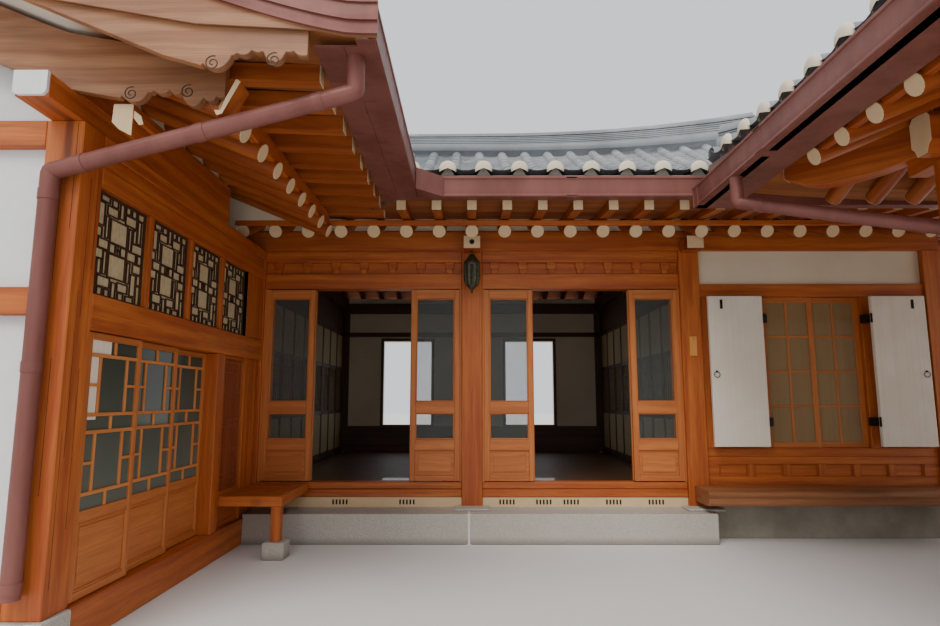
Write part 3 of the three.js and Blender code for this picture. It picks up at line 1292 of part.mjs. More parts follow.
const sideRafterY = Array.from({ length: 14 }, (_, k) => -2620 - RAFTER_STEP * k);
const sideRafters = sideRafterY.map((y) => {
  const toEnd = Math.min(SIDE_EAVE_NORTH - y, y - SIDE_EAVE_SOUTH);
  const underGable = toEnd > SIDE_GABLE_SHARE * SIDE_RUN + 90;
  const endX = underGable ? SIDE_RIDGE_X - 15 : SIDE_EAVE + toEnd - 150;
  return rod(
    [SIDE_TIP, y, TIP_HEIGHT_WING],
    [endX, y, TIP_HEIGHT_WING + RAFTER_SLOPE * (endX - SIDE_TIP)],
    RAFTER_RADIUS,
    RAFTER_SIDES,
  );
});
const sideBattenTop = sideRafterTop(SIDE_TIP) - 2 * GAP;
const sideBatten = box(2460, sideRafterY.at(-1) - 60, 3170, 2510, sideRafterY[0] + 60, sideBattenTop);
place("side_rafters", fuse([...sideRafters, sideBatten]), PINE);

// Carved bargeboards at the wing's south verge

function bargeboard(end, drop, depth, y0, y1) {
  const tip = end - X_WING_RIDGE;
  const steps = [0, 0.25, 0.5, 0.7, 0.85, 0.95, 1];
  const upper = steps.map((s) => [tip * s, underWing(X_WING_RIDGE + tip * s) - drop]);
  const lower = [1.0, 0.97, 0.93, 0.85, 0.7, 0.5, 0.25, 0].map((s, i) => {
    const shallow = [0.45, 0.85, 1.08, 1, 1, 1, 1, 1][i];
    return [tip * s, underWing(X_WING_RIDGE + tip * s) - drop - depth * shallow];
  });
  const half = [...upper, ...lower];
  const east = plateXZ(half.map(([x, z]) => [X_WING_RIDGE + x, z]), y0, y1);
  const west = plateXZ(half.map(([x, z]) => [X_WING_RIDGE - x, z]).reverse(), y0, y1);
  return fuse([east, west]);
}

const underTiles = wingRoof.translate([0, 0, -GAP]);
place("bargeboard_outer", carve(bargeboard(-880, 0, 240, -3785, -3735), [underTiles]), PINE);
place("bargeboard_inner", bargeboard(-1430, 140, 250, BOARD_BACK - 50 - GAP, BOARD_BACK - GAP), PINE);

// Gutters of folded metal, with the boxed soffits behind them

const GUTTER = 120;
const SHEET = 6;
const GUTTER_TOP = 3530;
const GUTTER_DEEP = 200;
const gutterFoot = GUTTER_TOP - GUTTER_DEEP;
const gutterX = EAVE_COURT + GAP;
const gutterY = EAVE_FRONT - GAP;
const gutterEast = EAVE_EAST + 75;
const courtGutter = carve(
  fuse([
    box(gutterX, VERGE_SOUTH, gutterFoot, gutterX + GUTTER, gutterY, GUTTER_TOP),
    box(gutterX, gutterY - GUTTER, gutterFoot, gutterEast, gutterY, GUTTER_TOP),
    box(WING_FLYING_TIP + 45, -3730, gutterFoot, gutterX + 10, gutterY, gutterFoot + 12),
  ]),
  [
    box(
      gutterX + SHEET, VERGE_SOUTH + SHEET, gutterFoot + SHEET,
      gutterX + GUTTER - SHEET, gutterY - SHEET, 3600,
    ),
    box(
      gutterX + SHEET, gutterY - GUTTER + SHEET, gutterFoot + SHEET,
      gutterEast - SHEET, gutterY - SHEET, 3600,
    ),
  ],
);
place("court_gutter", courtGutter, METAL, 0.5, 0.3);

const SIDE_GUTTER_TOP = 3380;
const sideGutterFoot = SIDE_GUTTER_TOP - GUTTER_DEEP;
const sideGutterX = SIDE_EAVE - GAP - GUTTER;
const sideGutterY = SIDE_EAVE_NORTH + GAP;
const sideGutter = carve(
  fuse([
    box(
      sideGutterX, SIDE_EAVE_SOUTH, sideGutterFoot,
      sideGutterX + GUTTER, sideGutterY + GUTTER, SIDE_GUTTER_TOP,
    ),
    box(sideGutterX, sideGutterY, sideGutterFoot, SIDE_EAVE_EAST, sideGutterY + GUTTER, SIDE_GUTTER_TOP),
    box(
      sideGutterX + 60, SIDE_EAVE_SOUTH, sideGutterFoot,
      SIDE_TIP - 40, sideGutterY + 10, sideGutterFoot + 12,
    ),
  ]),
  [
    box(
      sideGutterX + SHEET, SIDE_EAVE_SOUTH + SHEET, sideGutterFoot + SHEET,
      sideGutterX + GUTTER - SHEET, sideGutterY + GUTTER - SHEET, 3600,
    ),
    box(
      sideGutterX + SHEET, sideGutterY + SHEET, sideGutterFoot + SHEET,
      SIDE_EAVE_EAST - SHEET, sideGutterY + GUTTER - SHEET, 3600,
    ),
  ],
);
place("side_gutter", sideGutter, METAL, 0.5, 0.3);

const PIPE_RADIUS = 50;
const sideFrameWest = SIDE_WEST - HALF;
const wingPipe = pipe(
  [
    [-650, -3620, gutterFoot - GAP],
    [-650, -3620, 3125],
    [-2420, -3475, 2720],
    [-2420, -3475, 380],
  ],
  PIPE_RADIUS,
);
place("wing_downpipe", wingPipe, METAL, 0.5, 0.3);

const sidePipe = pipe(
  [
    [2112, -2100, sideGutterFoot - GAP],
    [2112, -2100, 2970],
    [sideFrameWest - 60, SIDE_NORTH - 60, 2550],
    [sideFrameWest - 60, SIDE_NORTH - 60, 100],
  ],
  PIPE_RADIUS,
);
place("side_downpipe", sidePipe, METAL, 0.5, 0.3);

// Benches and lantern

const cornerBench = fuse([
  box(COURT_FACE - 30, -1050, 515, -1730, -HALF, 550),
  box(COURT_FACE, -1040, 430, -1740, -1000, 520),
  box(-1780, -1040, 430, -1740, -HALF, 520),
  box(-1830, -1040, 150 + GAP, -1740, -950, 520),
]);
place("corner_bench", cornerBench, PINE);
place("bench_footstone", box(-1885, -1095, 0, -1685, -895, 150), STONE, 0.9);

const benchNose = plateYZ(
  [
    [-HALF - GAP, 470],
    [-HALF - GAP, 525],
    [-505, 525],
    [-520, 505],
    [-520, 470],
    [-500, 430],
    [-480, 470],
  ],
  2350,
  5000,
);
const roomBench = fuse([
  benchNose,
  box(2380, -470, 370, 4970, -430, 475),
  ...[2400, 4850].map((x) => box(x, -475, BASE_TOP + GAP, x + 90, -385, 475)),
  box(2560, -430, 400, 2620, -HALF - GAP, 475),
  box(4850, -475, 0, 4940, -385, 475),
]);
place("room_bench", roomBench, PINE);

const lanternProfile = [
  [0, 2560],
  [16, 2575],
  [40, 2630],
  [85, 2680],
  [92, 2850],
  [60, 2930],
  [22, 2965],
  [14, 2990],
  [14, BEAM_TIP_FOOT - GAP],
  [0, BEAM_TIP_FOOT - GAP],
].map(([r, z]) => new THREE.Vector2(r, z));
const lantern = new THREE.LatheGeometry(lanternProfile, 12);
lantern.rotateX(Math.PI / 2);
lantern.translate(X_MID, -245, 0);
place("post_lantern", lantern, BRONZE, 0.5, 0.5);

// Side house walls

const sideFrameEast = SIDE_EAST + HALF;
const sideFrameNorth = SIDE_NORTH + HALF;
const sideFrameSouth = SIDE_SOUTH - HALF;
const FRAME_DEEP = 120;
place(
  "side_stone_base",
  box(sideFrameWest, sideFrameSouth, 0, sideFrameEast, sideFrameNorth, BASE_TOP),
  STONE,
  0.9,
);
const sideSkin = [
  sideFrameWest + FRAME_DEEP, sideFrameSouth + FRAME_DEEP,
  sideFrameEast - FRAME_DEEP, sideFrameNorth - FRAME_DEEP,
];
function ring(x0, y0, x1, y1, wide, z0, z1) {
  const inside = box(x0 + wide, y0 + wide, z0 - 1, x1 - wide, y1 - wide, z1 + 1);
  return carve(box(x0, y0, z0, x1, y1, z1), [inside]);
}
const sidePosts = [SIDE_WEST, SIDE_EAST].flatMap((x) =>
  [SIDE_NORTH, SIDE_MID, SIDE_SOUTH].map((y) => post(x, y, BASE_TOP, PLATE_TOP + 10)),
);
const sideRails = [BASE_TOP, DOOR_HEAD, 2900].map((z) =>
  ring(
    sideFrameWest + 30, sideFrameSouth + 30, sideFrameEast - 30, sideFrameNorth - 30, FRAME_DEEP - 30,
    z, z + (z === 2900 ? 170 : 150),
  ),
);
// Purlin under the rafters, its top cut to their slope; the eastern one is the same, turned about.
const sidePurlinTop = (x) => rafterAxis(TIP_HEIGHT_WING, x - SIDE_TIP) - RAFTER_FLAT - 2 * GAP;
const SIDE_PURLIN_TIP = -2390;
const sidePurlins = [1, -1].map((turn) =>
  plateXZ(
    [
      [SIDE_WEST - PURLIN_HALF, PLATE_TOP],
      [SIDE_WEST + PURLIN_HALF, PLATE_TOP],
      [SIDE_WEST + PURLIN_HALF, sidePurlinTop(SIDE_WEST + PURLIN_HALF)],
      [SIDE_WEST - PURLIN_HALF, sidePurlinTop(SIDE_WEST - PURLIN_HALF)],
    ].map(([x, z]) => [SIDE_RIDGE_X + turn * (x - SIDE_RIDGE_X), z]),
    sideFrameSouth,
    SIDE_PURLIN_TIP,
  ),
);
const SIDE_DOOR_SOUTH = -6500;
const SIDE_DOOR_NORTH = -5700;
const SIDE_DOOR_HEAD = 2300;
const SIDE_WINDOW_SOUTH = -4400;
const SIDE_WINDOW_NORTH = -3300;
const sideDoorCut = box(
  sideFrameWest - 10, SIDE_DOOR_SOUTH, BASE_TOP,
  sideSkin[0] + WALL_SKIN + 10, SIDE_DOOR_NORTH, SIDE_DOOR_HEAD,
);
const sideInterior = box(
  sideSkin[0] - GAP, sideSkin[1] - GAP, BASE_TOP - 1, sideSkin[2] + GAP, sideSkin[3] + GAP, PLATE_TOP,
);
const sideWallFrame = carve(fuse([...sidePosts, ...sideRails]), [sideInterior, sideDoorCut]);
const sideFrame = fuse([sideWallFrame, ...sidePurlins]);
place("side_frame", sideFrame, PINE);
const sideWalls = carve(ring(...sideSkin, WALL_SKIN, BASE_TOP, PLATE_TOP), [
  sideDoorCut,
  box(
    sideSkin[0] - 20, SIDE_WINDOW_SOUTH, WINDOW_FOOT,
    sideSkin[0] + WALL_SKIN + 20, SIDE_WINDOW_NORTH, WINDOW_HEAD,
  ),
]);
place("side_walls", sideWalls, PLASTER, 0.9);

const sideWindow = lattice(
  SIDE_WINDOW_SOUTH, SIDE_WINDOW_NORTH, WINDOW_FOOT, WINDOW_HEAD, -22, 22, 4, 4, 45, 6,
);
const turned = sideWindow.rotate([0, 0, 90]).translate([sideSkin[0] + WALL_SKIN / 2, 0, 0]);
place("side_window", turned, PINE);

const SIDE_LEAF_FACE = sideSkin[0] + WALL_SKIN + 8;
const sideLeaf = fuse([
  box(
    SIDE_LEAF_FACE, SIDE_DOOR_SOUTH - 30, BASE_TOP + 8,
    SIDE_LEAF_FACE + 36, SIDE_DOOR_NORTH + 30, SIDE_DOOR_HEAD + 40,
  ),
  ...[SIDE_DOOR_SOUTH + 60, SIDE_DOOR_NORTH - 100].map((y) =>
    box(SIDE_LEAF_FACE + 8, y, BASE_TOP + ROLLER_GAP, SIDE_LEAF_FACE + 28, y + 40, BASE_TOP + 10),
  ),
]);
place("side_door", sideLeaf, PINE);

export default house;
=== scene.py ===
"""A hanok house round a court: its timber, doors, plaster, paper and tiled roofs.

Metres, +Z up, +Y from the court to the rear wall. The origin is at court level under the hall's
middle post. The sections follow the house as it is put together, from the ground to the ridges.
"""
import math

import bpy
import numpy as np
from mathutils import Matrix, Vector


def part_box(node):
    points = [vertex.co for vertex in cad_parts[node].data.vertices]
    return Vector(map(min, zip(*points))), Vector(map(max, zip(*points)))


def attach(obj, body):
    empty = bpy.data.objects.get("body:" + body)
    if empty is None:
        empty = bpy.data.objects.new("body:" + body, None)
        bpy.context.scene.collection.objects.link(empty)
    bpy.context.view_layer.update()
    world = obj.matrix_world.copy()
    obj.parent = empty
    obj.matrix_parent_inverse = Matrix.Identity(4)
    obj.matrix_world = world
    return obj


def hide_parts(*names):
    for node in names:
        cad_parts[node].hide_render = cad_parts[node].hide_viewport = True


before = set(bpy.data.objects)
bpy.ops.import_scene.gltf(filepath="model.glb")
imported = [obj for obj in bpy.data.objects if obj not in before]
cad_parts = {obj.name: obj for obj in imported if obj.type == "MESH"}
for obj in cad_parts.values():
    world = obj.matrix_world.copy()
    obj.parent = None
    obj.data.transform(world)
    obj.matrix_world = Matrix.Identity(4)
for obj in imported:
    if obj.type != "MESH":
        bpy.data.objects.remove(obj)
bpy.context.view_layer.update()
house = bpy.context.scene
ROOT = "house"


# View and light
# The eye stands in the court before the hall's middle post, a little under standing height.
# A wide-angle lens looks slightly upwards, so that the eaves reach over it on both sides.
lens = bpy.data.cameras.new("court_view")
lens.lens = 24
lens.sensor_width = 36
lens.clip_end = 200
eye = bpy.data.objects.new("court_view", lens)
eye.location = (0, -6.92, 1.42)
eye.rotation_euler = (math.radians(90 + 7.9), 0, math.radians(0.18))
house.collection.objects.link(eye)
house.camera = eye

air = bpy.data.worlds.new("studio_air")
air.use_nodes = True
air.node_tree.nodes["Background"].inputs["Color"].default_value = (0.93, 0.96, 1.0, 1)
air.node_tree.nodes["Background"].inputs["Strength"].default_value = 1.05
house.world = air

softbox = bpy.data.lights.new("soft_overhead", "SUN")
softbox.energy = 2.2
softbox.angle = math.radians(35)
softbox.color = (1.0, 0.96, 0.9)
overhead = bpy.data.objects.new("soft_overhead", softbox)
overhead.rotation_euler = (math.radians(38), math.radians(-14), 0)
house.collection.objects.link(overhead)


# Floor
# A plain pale studio floor, level with the foot of the stone base. It isn't part of the house.


class Shade:
    """A shader socket. Sums on it add Math nodes, and node() adds any other node."""

    def __init__(self, tree, socket=None):
        self.tree = tree
        self.socket = socket

    def node(self, kind, settings=None, inputs=None, output=0):
        """A node of a type, its settings made first, then its sockets' values or links."""
        made = self.tree.nodes.new("ShaderNode" + kind)
        for key, value in (settings or {}).items():
            setattr(made, key, value)
        for key, value in (inputs or {}).items():
            if isinstance(value, Shade):
                self.tree.links.new(value.socket, made.inputs[key])
            else:
                made.inputs[key].default_value = value
        return Shade(self.tree, made.outputs[output])

    def maths(self, operation, *values):
        return self.node("Math", {"operation": operation}, dict(enumerate(values)))

    def __add__(self, other):
        return self.maths("ADD", self, other)

    def __radd__(self, other):
        return self.maths("ADD", other, self)

    def __rsub__(self, other):
        return self.maths("SUBTRACT", other, self)

    def __mul__(self, other):
        return self.maths("MULTIPLY", self, other)

    def __rmul__(self, other):
        return self.maths("MULTIPLY", other, self)

    def between(self, low, high):
        """0 below low, 1 above high, smooth between."""
        settings = {"interpolation_type": "SMOOTHSTEP"}
        return self.node("MapRange", settings, {"Value": self, "From Min": low, "From Max": high})

    def blend(self, first, second):
        """The first colour where this is 0 and the second where it is 1."""
        first, second = [c if isinstance(c, Shade) else (*c, 1) for c in (first, second)]
        return self.node("Mix", {"data_type": "RGBA"}, {0: self, 6: first, 7: second}, 2)

    def stretched(self, scale):
        """This vector times a scale on each axis."""
        return self.node("VectorMath", {"operation": "MULTIPLY"}, {0: self, 1: scale})

    def upward(self):
        """This vector's Z."""
        return self.node("SeparateXYZ", None, {0: self}, "Z")

    def clouds(self, scale, detail=4.0, roughness=0.6):
        """Noise from 0 to 1 on this vector."""
        inputs = {"Vector": self, "Scale": scale, "Detail": detail, "Roughness": roughness}
        return self.node("TexNoise", None, inputs)


def finish(name, paint, **fixed):
    """A material. paint(start) gives what varies, by socket name; fixed gives plain values.
    A height among what varies becomes a bump of that many metres."""
    material = bpy.data.materials.new(name)
    material.use_nodes = True
    tree = material.node_tree
    shader = tree.nodes["Principled BSDF"]
    for key, value in fixed.items():
        shader.inputs[key.replace("_", " ")].default_value = value
    varied = paint(Shade(tree))
    height = varied.pop("height", None)
    if height is not None:
        bump = height.node("Bump", None, {"Height": height, "Distance": 1.0})
        tree.links.new(bump.socket, shader.inputs["Normal"])
    for key, value in varied.items():
        tree.links.new(value.socket, shader.inputs[key])
    return material


def place_on(start):
    return start.node("TexCoord", None, None, "Object")


def mottled(name, first, second, noise, edges=None, rough=None, relief=(), **fixed):
    """A finish that drifts between two colours with clouds of noise, sharpened between two edges.
    rough is a start, a gain and the noise that it acts on; relief is heights, each with its noise."""

    def paint(start):
        where = place_on(start)
        cloud = where.clouds(*noise)
        varied = {"Base Color": (cloud.between(*edges) if edges else cloud).blend(first, second)}
        if rough:
            varied["Roughness"] = rough[0] + rough[1] * where.clouds(*rough[2:])
        if relief:
            varied["height"] = sum(gain * where.clouds(*grain) for gain, *grain in relief)
        return varied

    return finish(name, paint, **fixed)


floor_mesh = bpy.data.meshes.new("studio_floor")
FLOOR_HALF = 60.0
floor_corners = [(FLOOR_HALF * x, FLOOR_HALF * y, 0) for x, y in ((-1, -1), (1, -1), (1, 1), (-1, 1))]
floor_mesh.from_pydata(floor_corners, [], [(0, 1, 2, 3)])
pale_floor = mottled("pale_floor", (0.72, 0.71, 0.69), (0.78, 0.77, 0.75), (0.6, 3.0), Roughness=0.75)
floor_mesh.materials.append(pale_floor)
studio_floor = bpy.data.objects.new("studio_floor", floor_mesh)
house.collection.objects.link(studio_floor)


# Stone base
# Dressed granite slabs under the walls, two long ones before the hall with a white mortar joint
# between them. They were cut to size and bedded on the ground.

CUBE = np.array([[i, j, k] for i in (0, 1) for j in (0, 1) for k in (0, 1)], float)
CUBE_FACES = np.array([[0, 1, 3, 2], [4, 6, 7, 5], [0, 4, 5, 1], [2, 3, 7, 6], [0, 2, 6, 4], [1, 5, 7, 3]])


def joined(parts):
    """Several shapes as one: their points one after another, with the faces' numbers moved on."""
    points, faces, grains, count = [], [], [], 0
    for part_points, part_faces, part_grain in parts:
        points.append(part_points)
        faces.extend((np.asarray(face) + count) for face in part_faces)
        grains.append(part_grain)
        count += len(part_points)
    return np.concatenate(points), faces, np.concatenate(grains)


def squared(rows, seed=1):
    """Squared pieces: the unit cube stretched from each row's low corner to its high corner.
    The grain is each corner's place in its own piece, longest side first, moved by chance."""
    rows = np.asarray(rows, float).reshape(-1, 6)
    low, size = rows[:, :3], rows[:, 3:] - rows[:, :3]
    points = low[:, None] + size[:, None] * CUBE
    order = np.argsort(-size, axis=1, kind="stable")[:, None].repeat(8, 1)
    grain = np.take_along_axis(points - low[:, None], order, 2)
    grain = grain + np.random.default_rng(seed).uniform(0, 40, (len(rows), 1, 3))
    faces = CUBE_FACES[None] + 8 * np.arange(len(rows))[:, None, None]
    return points.reshape(-1, 3), [faces.reshape(-1, 4)], grain.reshape(-1, 3)


def piece(name, parts, material, node=None, body=ROOT, chamfer=0.0, smooth=None):
    """A new piece from shapes: mesh, grain attribute, material, edges eased by chamfer metres. It
    replaces the solid of that node, if one is named."""
    points, faces, grain = joined(parts)
    mesh = bpy.data.meshes.new(name)
    mesh.from_pydata(points.tolist(), [], [face for block in faces for face in block.tolist()])
    mesh.attributes.new("grain", "FLOAT_VECTOR", "POINT").data.foreach_set("vector", grain.ravel())
    mesh.materials.append(material)
    mesh.validate()
    made = bpy.data.objects.new(name, mesh)
    house.collection.objects.link(made)
    if smooth is not None:
        mesh.shade_smooth()
        mesh.set_sharp_from_angle(angle=math.radians(smooth))
    if chamfer:
        ease = made.modifiers.new("eased_edges", "BEVEL")
        ease.width = chamfer
        ease.segments = 1
        ease.limit_method = "ANGLE"
    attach(made, body)
    if node:
        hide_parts(node)


def dressed_stone(start):
    where = place_on(start)
    speckle = where.clouds(160.0, 2.0)
    cloud = where.clouds(1.7, 5.0)
    pits = where.clouds(45.0, 3.0).between(0.35, 0.6)
    # The stone is darker towards its foot, over the lowest 9 cm above the floor.
    darkening = where.upward().between(0.0, 0.09)
    base = cloud.blend((0.30, 0.275, 0.235), (0.46, 0.43, 0.37))
    flecked = speckle.between(0.35, 0.7).blend(base, (0.58, 0.55, 0.5))
    return {
        "Base Color": darkening.blend((0.27, 0.25, 0.22), flecked),
        "Roughness": 0.72 + 0.2 * cloud,
        "height": 0.0012 * pits + 0.0004 * speckle,
    }


granite = finish("dressed_granite", dressed_stone)
base_low, base_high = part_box("stone_base")
side_low, side_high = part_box("side_stone_base")
PLINTH_FRONT = -0.47
PLINTH_RIGHT = 2.45
WING_TOP = 0.25
WALL_FACE = 0.11
WING_FACE = -2.29
SEAM_WEST, SEAM_EAST = -0.036, -0.024


def courses(x0, y0, x1, y1, z0, z1, length):
    """A row of long slabs round a rectangle's four sides, each of about the given length."""
    deep = 0.3
    rows = []
    for low, high, along in (
        ((x0, y0), (x1, y0 + deep), 0),
        ((x0, y1 - deep), (x1, y1), 0),
        ((x0, y0 + deep), (x0 + deep, y1 - deep), 1),
        ((x1 - deep, y0 + deep), (x1, y1 - deep), 1),
    ):
        count = max(1, round((high[along] - low[along]) / length))
        cuts = np.linspace(low[along], high[along], count + 1)
        for start, end in zip(cuts[:-1] + 0.002, cuts[1:] - 0.002):
            first, last = list(low), list(high)
            first[along], last[along] = start, end
            rows.append([*first, z0, *last, z1])
    return rows


POSTS_X = (-2.4, 0.0, 2.4, 5.1)
main_stones = [
    [WING_FACE, PLINTH_FRONT, 0, SEAM_WEST, -WALL_FACE, base_high.z],
    [SEAM_EAST, PLINTH_FRONT, 0, PLINTH_RIGHT, -WALL_FACE, base_high.z],
    *courses(base_low.x, -WALL_FACE, base_high.x, base_high.y, 0, base_high.z, 1.5),
    *courses(base_low.x, base_low.y, -2.51, -WALL_FACE, 0, WING_TOP, 1.4),
    [-2.53, base_low.y, 0, -2.26, -3.19, WING_TOP],
]
piece("plinth_stones", [squared(main_stones)], granite, "stone_base", chamfer=0.008)


def core(x0, y0, x1, y1, top):
    """The mortar within a ring of slabs, a little in from their faces and below their tops."""
    return [x0 + 0.02, y0 + 0.02, 0.02, x1 - 0.02, y1 - 0.02, top - 0.004]


mortar_rows = [
    [SEAM_WEST - 0.02, PLINTH_FRONT + 0.003, 0, SEAM_EAST + 0.02, -WALL_FACE, base_high.z - 0.001],
    core(base_low.x, -WALL_FACE, base_high.x, base_high.y, base_high.z),
    [base_low.x + 0.02, base_low.y + 0.06, 0.02, -2.53, -WALL_FACE + 0.02, WING_TOP - 0.004],
]
mortar = mottled(
    "white_mortar", (0.62, 0.6, 0.55), (0.78, 0.76, 0.72), (30.0, 3.0),
    relief=((0.0006, 90.0, 2.0),), Roughness=0.9,
)
piece("plinth_mortar", [squared(mortar_rows)], mortar)
side_plan = (side_low.x, side_low.y, side_high.x, side_high.y)
side_stones = squared(courses(*side_plan, 0, side_high.z, 1.25))
piece("side_plinth_stones", [side_stones], granite, "side_stone_base", chamfer=0.008)
piece("side_plinth_mortar", [squared([core(*side_plan, side_high.z)])], mortar)
foot_low, foot_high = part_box("bench_footstone")
footing_rows = [
    [*foot_low, *foot_high],
    *[[x - 0.19, -0.31, base_high.z - 0.002, x + 0.19, -0.085, base_high.z + 0.022] for x in POSTS_X[1:3]],
]
piece("pad_stones", [squared(footing_rows)], granite, "bench_footstone", chamfer=0.01)


# Pine frame of the hall front
# Posts, sills, door beams and purlins of oiled pine, mortised and pegged together. The row of
# small bearing blocks between the two upper beams is cut with hollowed feet.


def oiled_pine(name, light, dark, wet, **fixed):
    """Wood figure on the grain attribute: long soft bands and fine streaks, with a few knots."""

    def paint(start):
        grain = start.node("Attribute", {"attribute_name": "grain"}, None, "Vector")
        bend = grain.clouds(1.1, 2.0)
        wandering = grain.node(
            "VectorMath", {"operation": "ADD"}, {0: grain, 1: bend.node("CombineXYZ", None, {1: bend * 0.12})}
        )
        bands = wandering.stretched((0.55, 17.0, 17.0)).clouds(1.0, 3.0, 0.55)
        streaks = grain.stretched((5.0, 260.0, 260.0)).clouds(1.0, 2.0, 0.5)
        blotch = grain.stretched((1.6, 3.0, 3.0)).clouds(1.0, 2.0)
        knots = start.node("TexVoronoi", None, {"Scale": 1.0})
        knot = 1 - knots.between(0.05, 0.17)
        tone = bands.between(0.3, 0.72)
        wood = tone.blend(light, dark)
        aged = (blotch.between(0.35, 0.75) * 0.55).blend(wood, wet)
        fine = (streaks.between(0.45, 0.75) * 0.4).blend(aged, tuple(0.5 * c for c in dark))
        return {
            "Base Color": (knot * 0.75).blend(fine, tuple(0.35 * c for c in dark)),
            "Roughness": 0.42 + 0.22 * streaks,
            "height": 0.0007 * streaks + 0.001 * bands,
        }

    return finish(name, paint, **fixed)


pine = oiled_pine("oiled_pine", (0.57, 0.158, 0.022), (0.33, 0.06, 0.008), (0.42, 0.082, 0.01))
front_low, front_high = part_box("hall_front_frame")
POST_HALF = 0.11
SILL_HALF = 0.08
DOOR_FOOT = 0.555
DOOR_HEAD = 2.64
LINTEL_TOP = 2.81
BLOCK_TOP = 2.94
PLATE_TOP = 3.07
VENT_TOP = 0.40
LOWER_SILL = 0.48
front_posts = [[x - POST_HALF, -POST_HALF, base_high.z, x + POST_HALF, POST_HALF, PLATE_TOP] for x in POSTS_X]
bay_edges = [(a + POST_HALF, b - POST_HALF) for a, b in zip(POSTS_X[:-1], POSTS_X[1:])]
front_rails = []
for index, (left, right) in enumerate(bay_edges):
    front_rails.append([left, -SILL_HALF, VENT_TOP, right, SILL_HALF, LOWER_SILL])
    if index < 2:
        front_rails.append([left, -SILL_HALF + 0.012, LOWER_SILL + 0.004, right, SILL_HALF, DOOR_FOOT])
        front_rails.append([left, -SILL_HALF, DOOR_HEAD, right, SILL_HALF, LINTEL_TOP])
        front_rails.append([left, -0.045, LINTEL_TOP, right, 0.05, BLOCK_TOP])
        front_rails.append([left, -SILL_HALF, BLOCK_TOP, right, SILL_HALF, PLATE_TOP])
RAFTER_SLOPE = 0.42
MAIN_TIP_Y = -0.54
MAIN_TIP_Z = 3.17
WING_TIP_X = -1.48
WING_TIP_Z = 3.15
SIDE_TIP_X = 2.45
RAFTER_RADIUS = 0.068
RAFTER_RISE = RAFTER_RADIUS * math.hypot(1, RAFTER_SLOPE)


def extruded(outline, axis, low, high, seed=2):
    """A flat outline carried straight along one axis: two copies of it, with a band of faces between.
    The grain runs along the outline's longer side."""
    outline = np.asarray(outline, float)
    count = len(outline)
    flat = np.zeros((2, count, 3))
    others = [i for i in range(3) if i != axis]
    flat[:, :, others] = outline
    flat[0, :, axis], flat[1, :, axis] = low, high
    area = np.sum(outline[:, 0] * np.roll(outline[:, 1], -1) - outline[:, 1] * np.roll(outline[:, 0], -1))
    turn = np.arange(count)
    after = (turn + 1) % count
    band = np.stack([turn, after, after + count, turn + count], 1)
    ends = [turn[::-1][None], (turn + count)[None]]
    if (area > 0) == (axis == 1):
        band = band[:, ::-1]
        ends = [face[:, ::-1] for face in ends]
    points = flat.reshape(-1, 3)
    size = points.max(0) - points.min(0)
    order = np.argsort(-size, kind="stable")
    grain = (points - points.min(0))[:, order] + np.random.default_rng(seed).uniform(0, 40, 3)
    return points, [band, *ends], grain


def rafter_bottom(y):
    return MAIN_TIP_Z + RAFTER_SLOPE * (y - MAIN_TIP_Y) - RAFTER_RISE - 0.0003




def purlin_outline(near, far, foot, bottom):
    """Section of a purlin between two sides, its top cut to the slope of the rafters above it."""
    return [(near, foot), (far, foot), (far, bottom(far)), (near, bottom(near))]


purlin = extruded(purlin_outline(-0.075, 0.075, PLATE_TOP, rafter_bottom), 0, front_low.x, front_high.x)
beam_tips = [[x - 0.09, -0.35, 3.035, x + 0.09, 0, 3.172] for x in POSTS_X[1:3]]
front_timbers = [squared(front_posts, 3), squared(front_rails, 4), squared(beam_tips, 5), purlin]
piece("hall_front_timbers", front_timbers, pine, "hall_front_frame", chamfer=0.006)
BLOCK_STEP = 0.306
block_rows = []
for left, right in bay_edges[:2]:
    count = round((right - left) / BLOCK_STEP)
    for x in np.linspace(left + 0.14, right - 0.14, count):
        block_rows.append([x - 0.05, -0.078, LINTEL_TOP + 0.055, x + 0.05, 0.0, BLOCK_TOP])
        block_rows.append([x - 0.034, -0.07, LINTEL_TOP, x + 0.034, 0.0, LINTEL_TOP + 0.055])
piece("bearing_blocks", [squared(block_rows, 6)], pine, chamfer=0.005)
# Lime plaster. Its warm yellow tint is partly painted light: warm light bounced up from the court.
plaster = mottled(
    "lime_plaster_warm_lit", (0.82, 0.72, 0.56), (0.72, 0.61, 0.45), (0.9, 4.0), (0.3, 0.75),
    relief=((0.0008, 0.9, 4.0), (0.0003, 60.0, 3.0)), Roughness=0.88,
)
cream = mottled(
    "cream_end_paint", (0.78, 0.60, 0.37), (0.68, 0.49, 0.27), (9.0, 4.0), rough=(0.6, 0.2, 40.0, 2.0),
)
tip_caps = [[x - 0.088, -0.353, 3.037, x + 0.088, -0.35, 3.17] for x in POSTS_X[1:3]]
piece("beam_end_paint", [squared(tip_caps)], cream)


# Vent boards under the sill
# Cream-painted boards between the plinth and the sill, with groups of small upright slots that air
# the space below the floor. Each slot is a thin near-black strip on the board's face: painted shade.

SLOT_GROUPS = (-1.4, -0.69, 0.37, 0.76, 1.05, 1.5, 1.95)
SLOT_PITCH = 0.036
vent_boards = [[left, -0.07, base_high.z, right, 0.04, VENT_TOP] for left, right in bay_edges[:2]]
piece("vent_boards", [squared(vent_boards, 7)], cream, chamfer=0.003)
slots_x = [centre + SLOT_PITCH * k for centre in SLOT_GROUPS for k in (-2, -1, 0, 1, 2)]
# Each slot's opening is a thin near-black strip standing on the board: painted shade, not a cut.
slot_rows = [[x - 0.009, -0.0715, base_high.z + 0.03, x + 0.009, -0.06, VENT_TOP - 0.025] for x in slots_x]
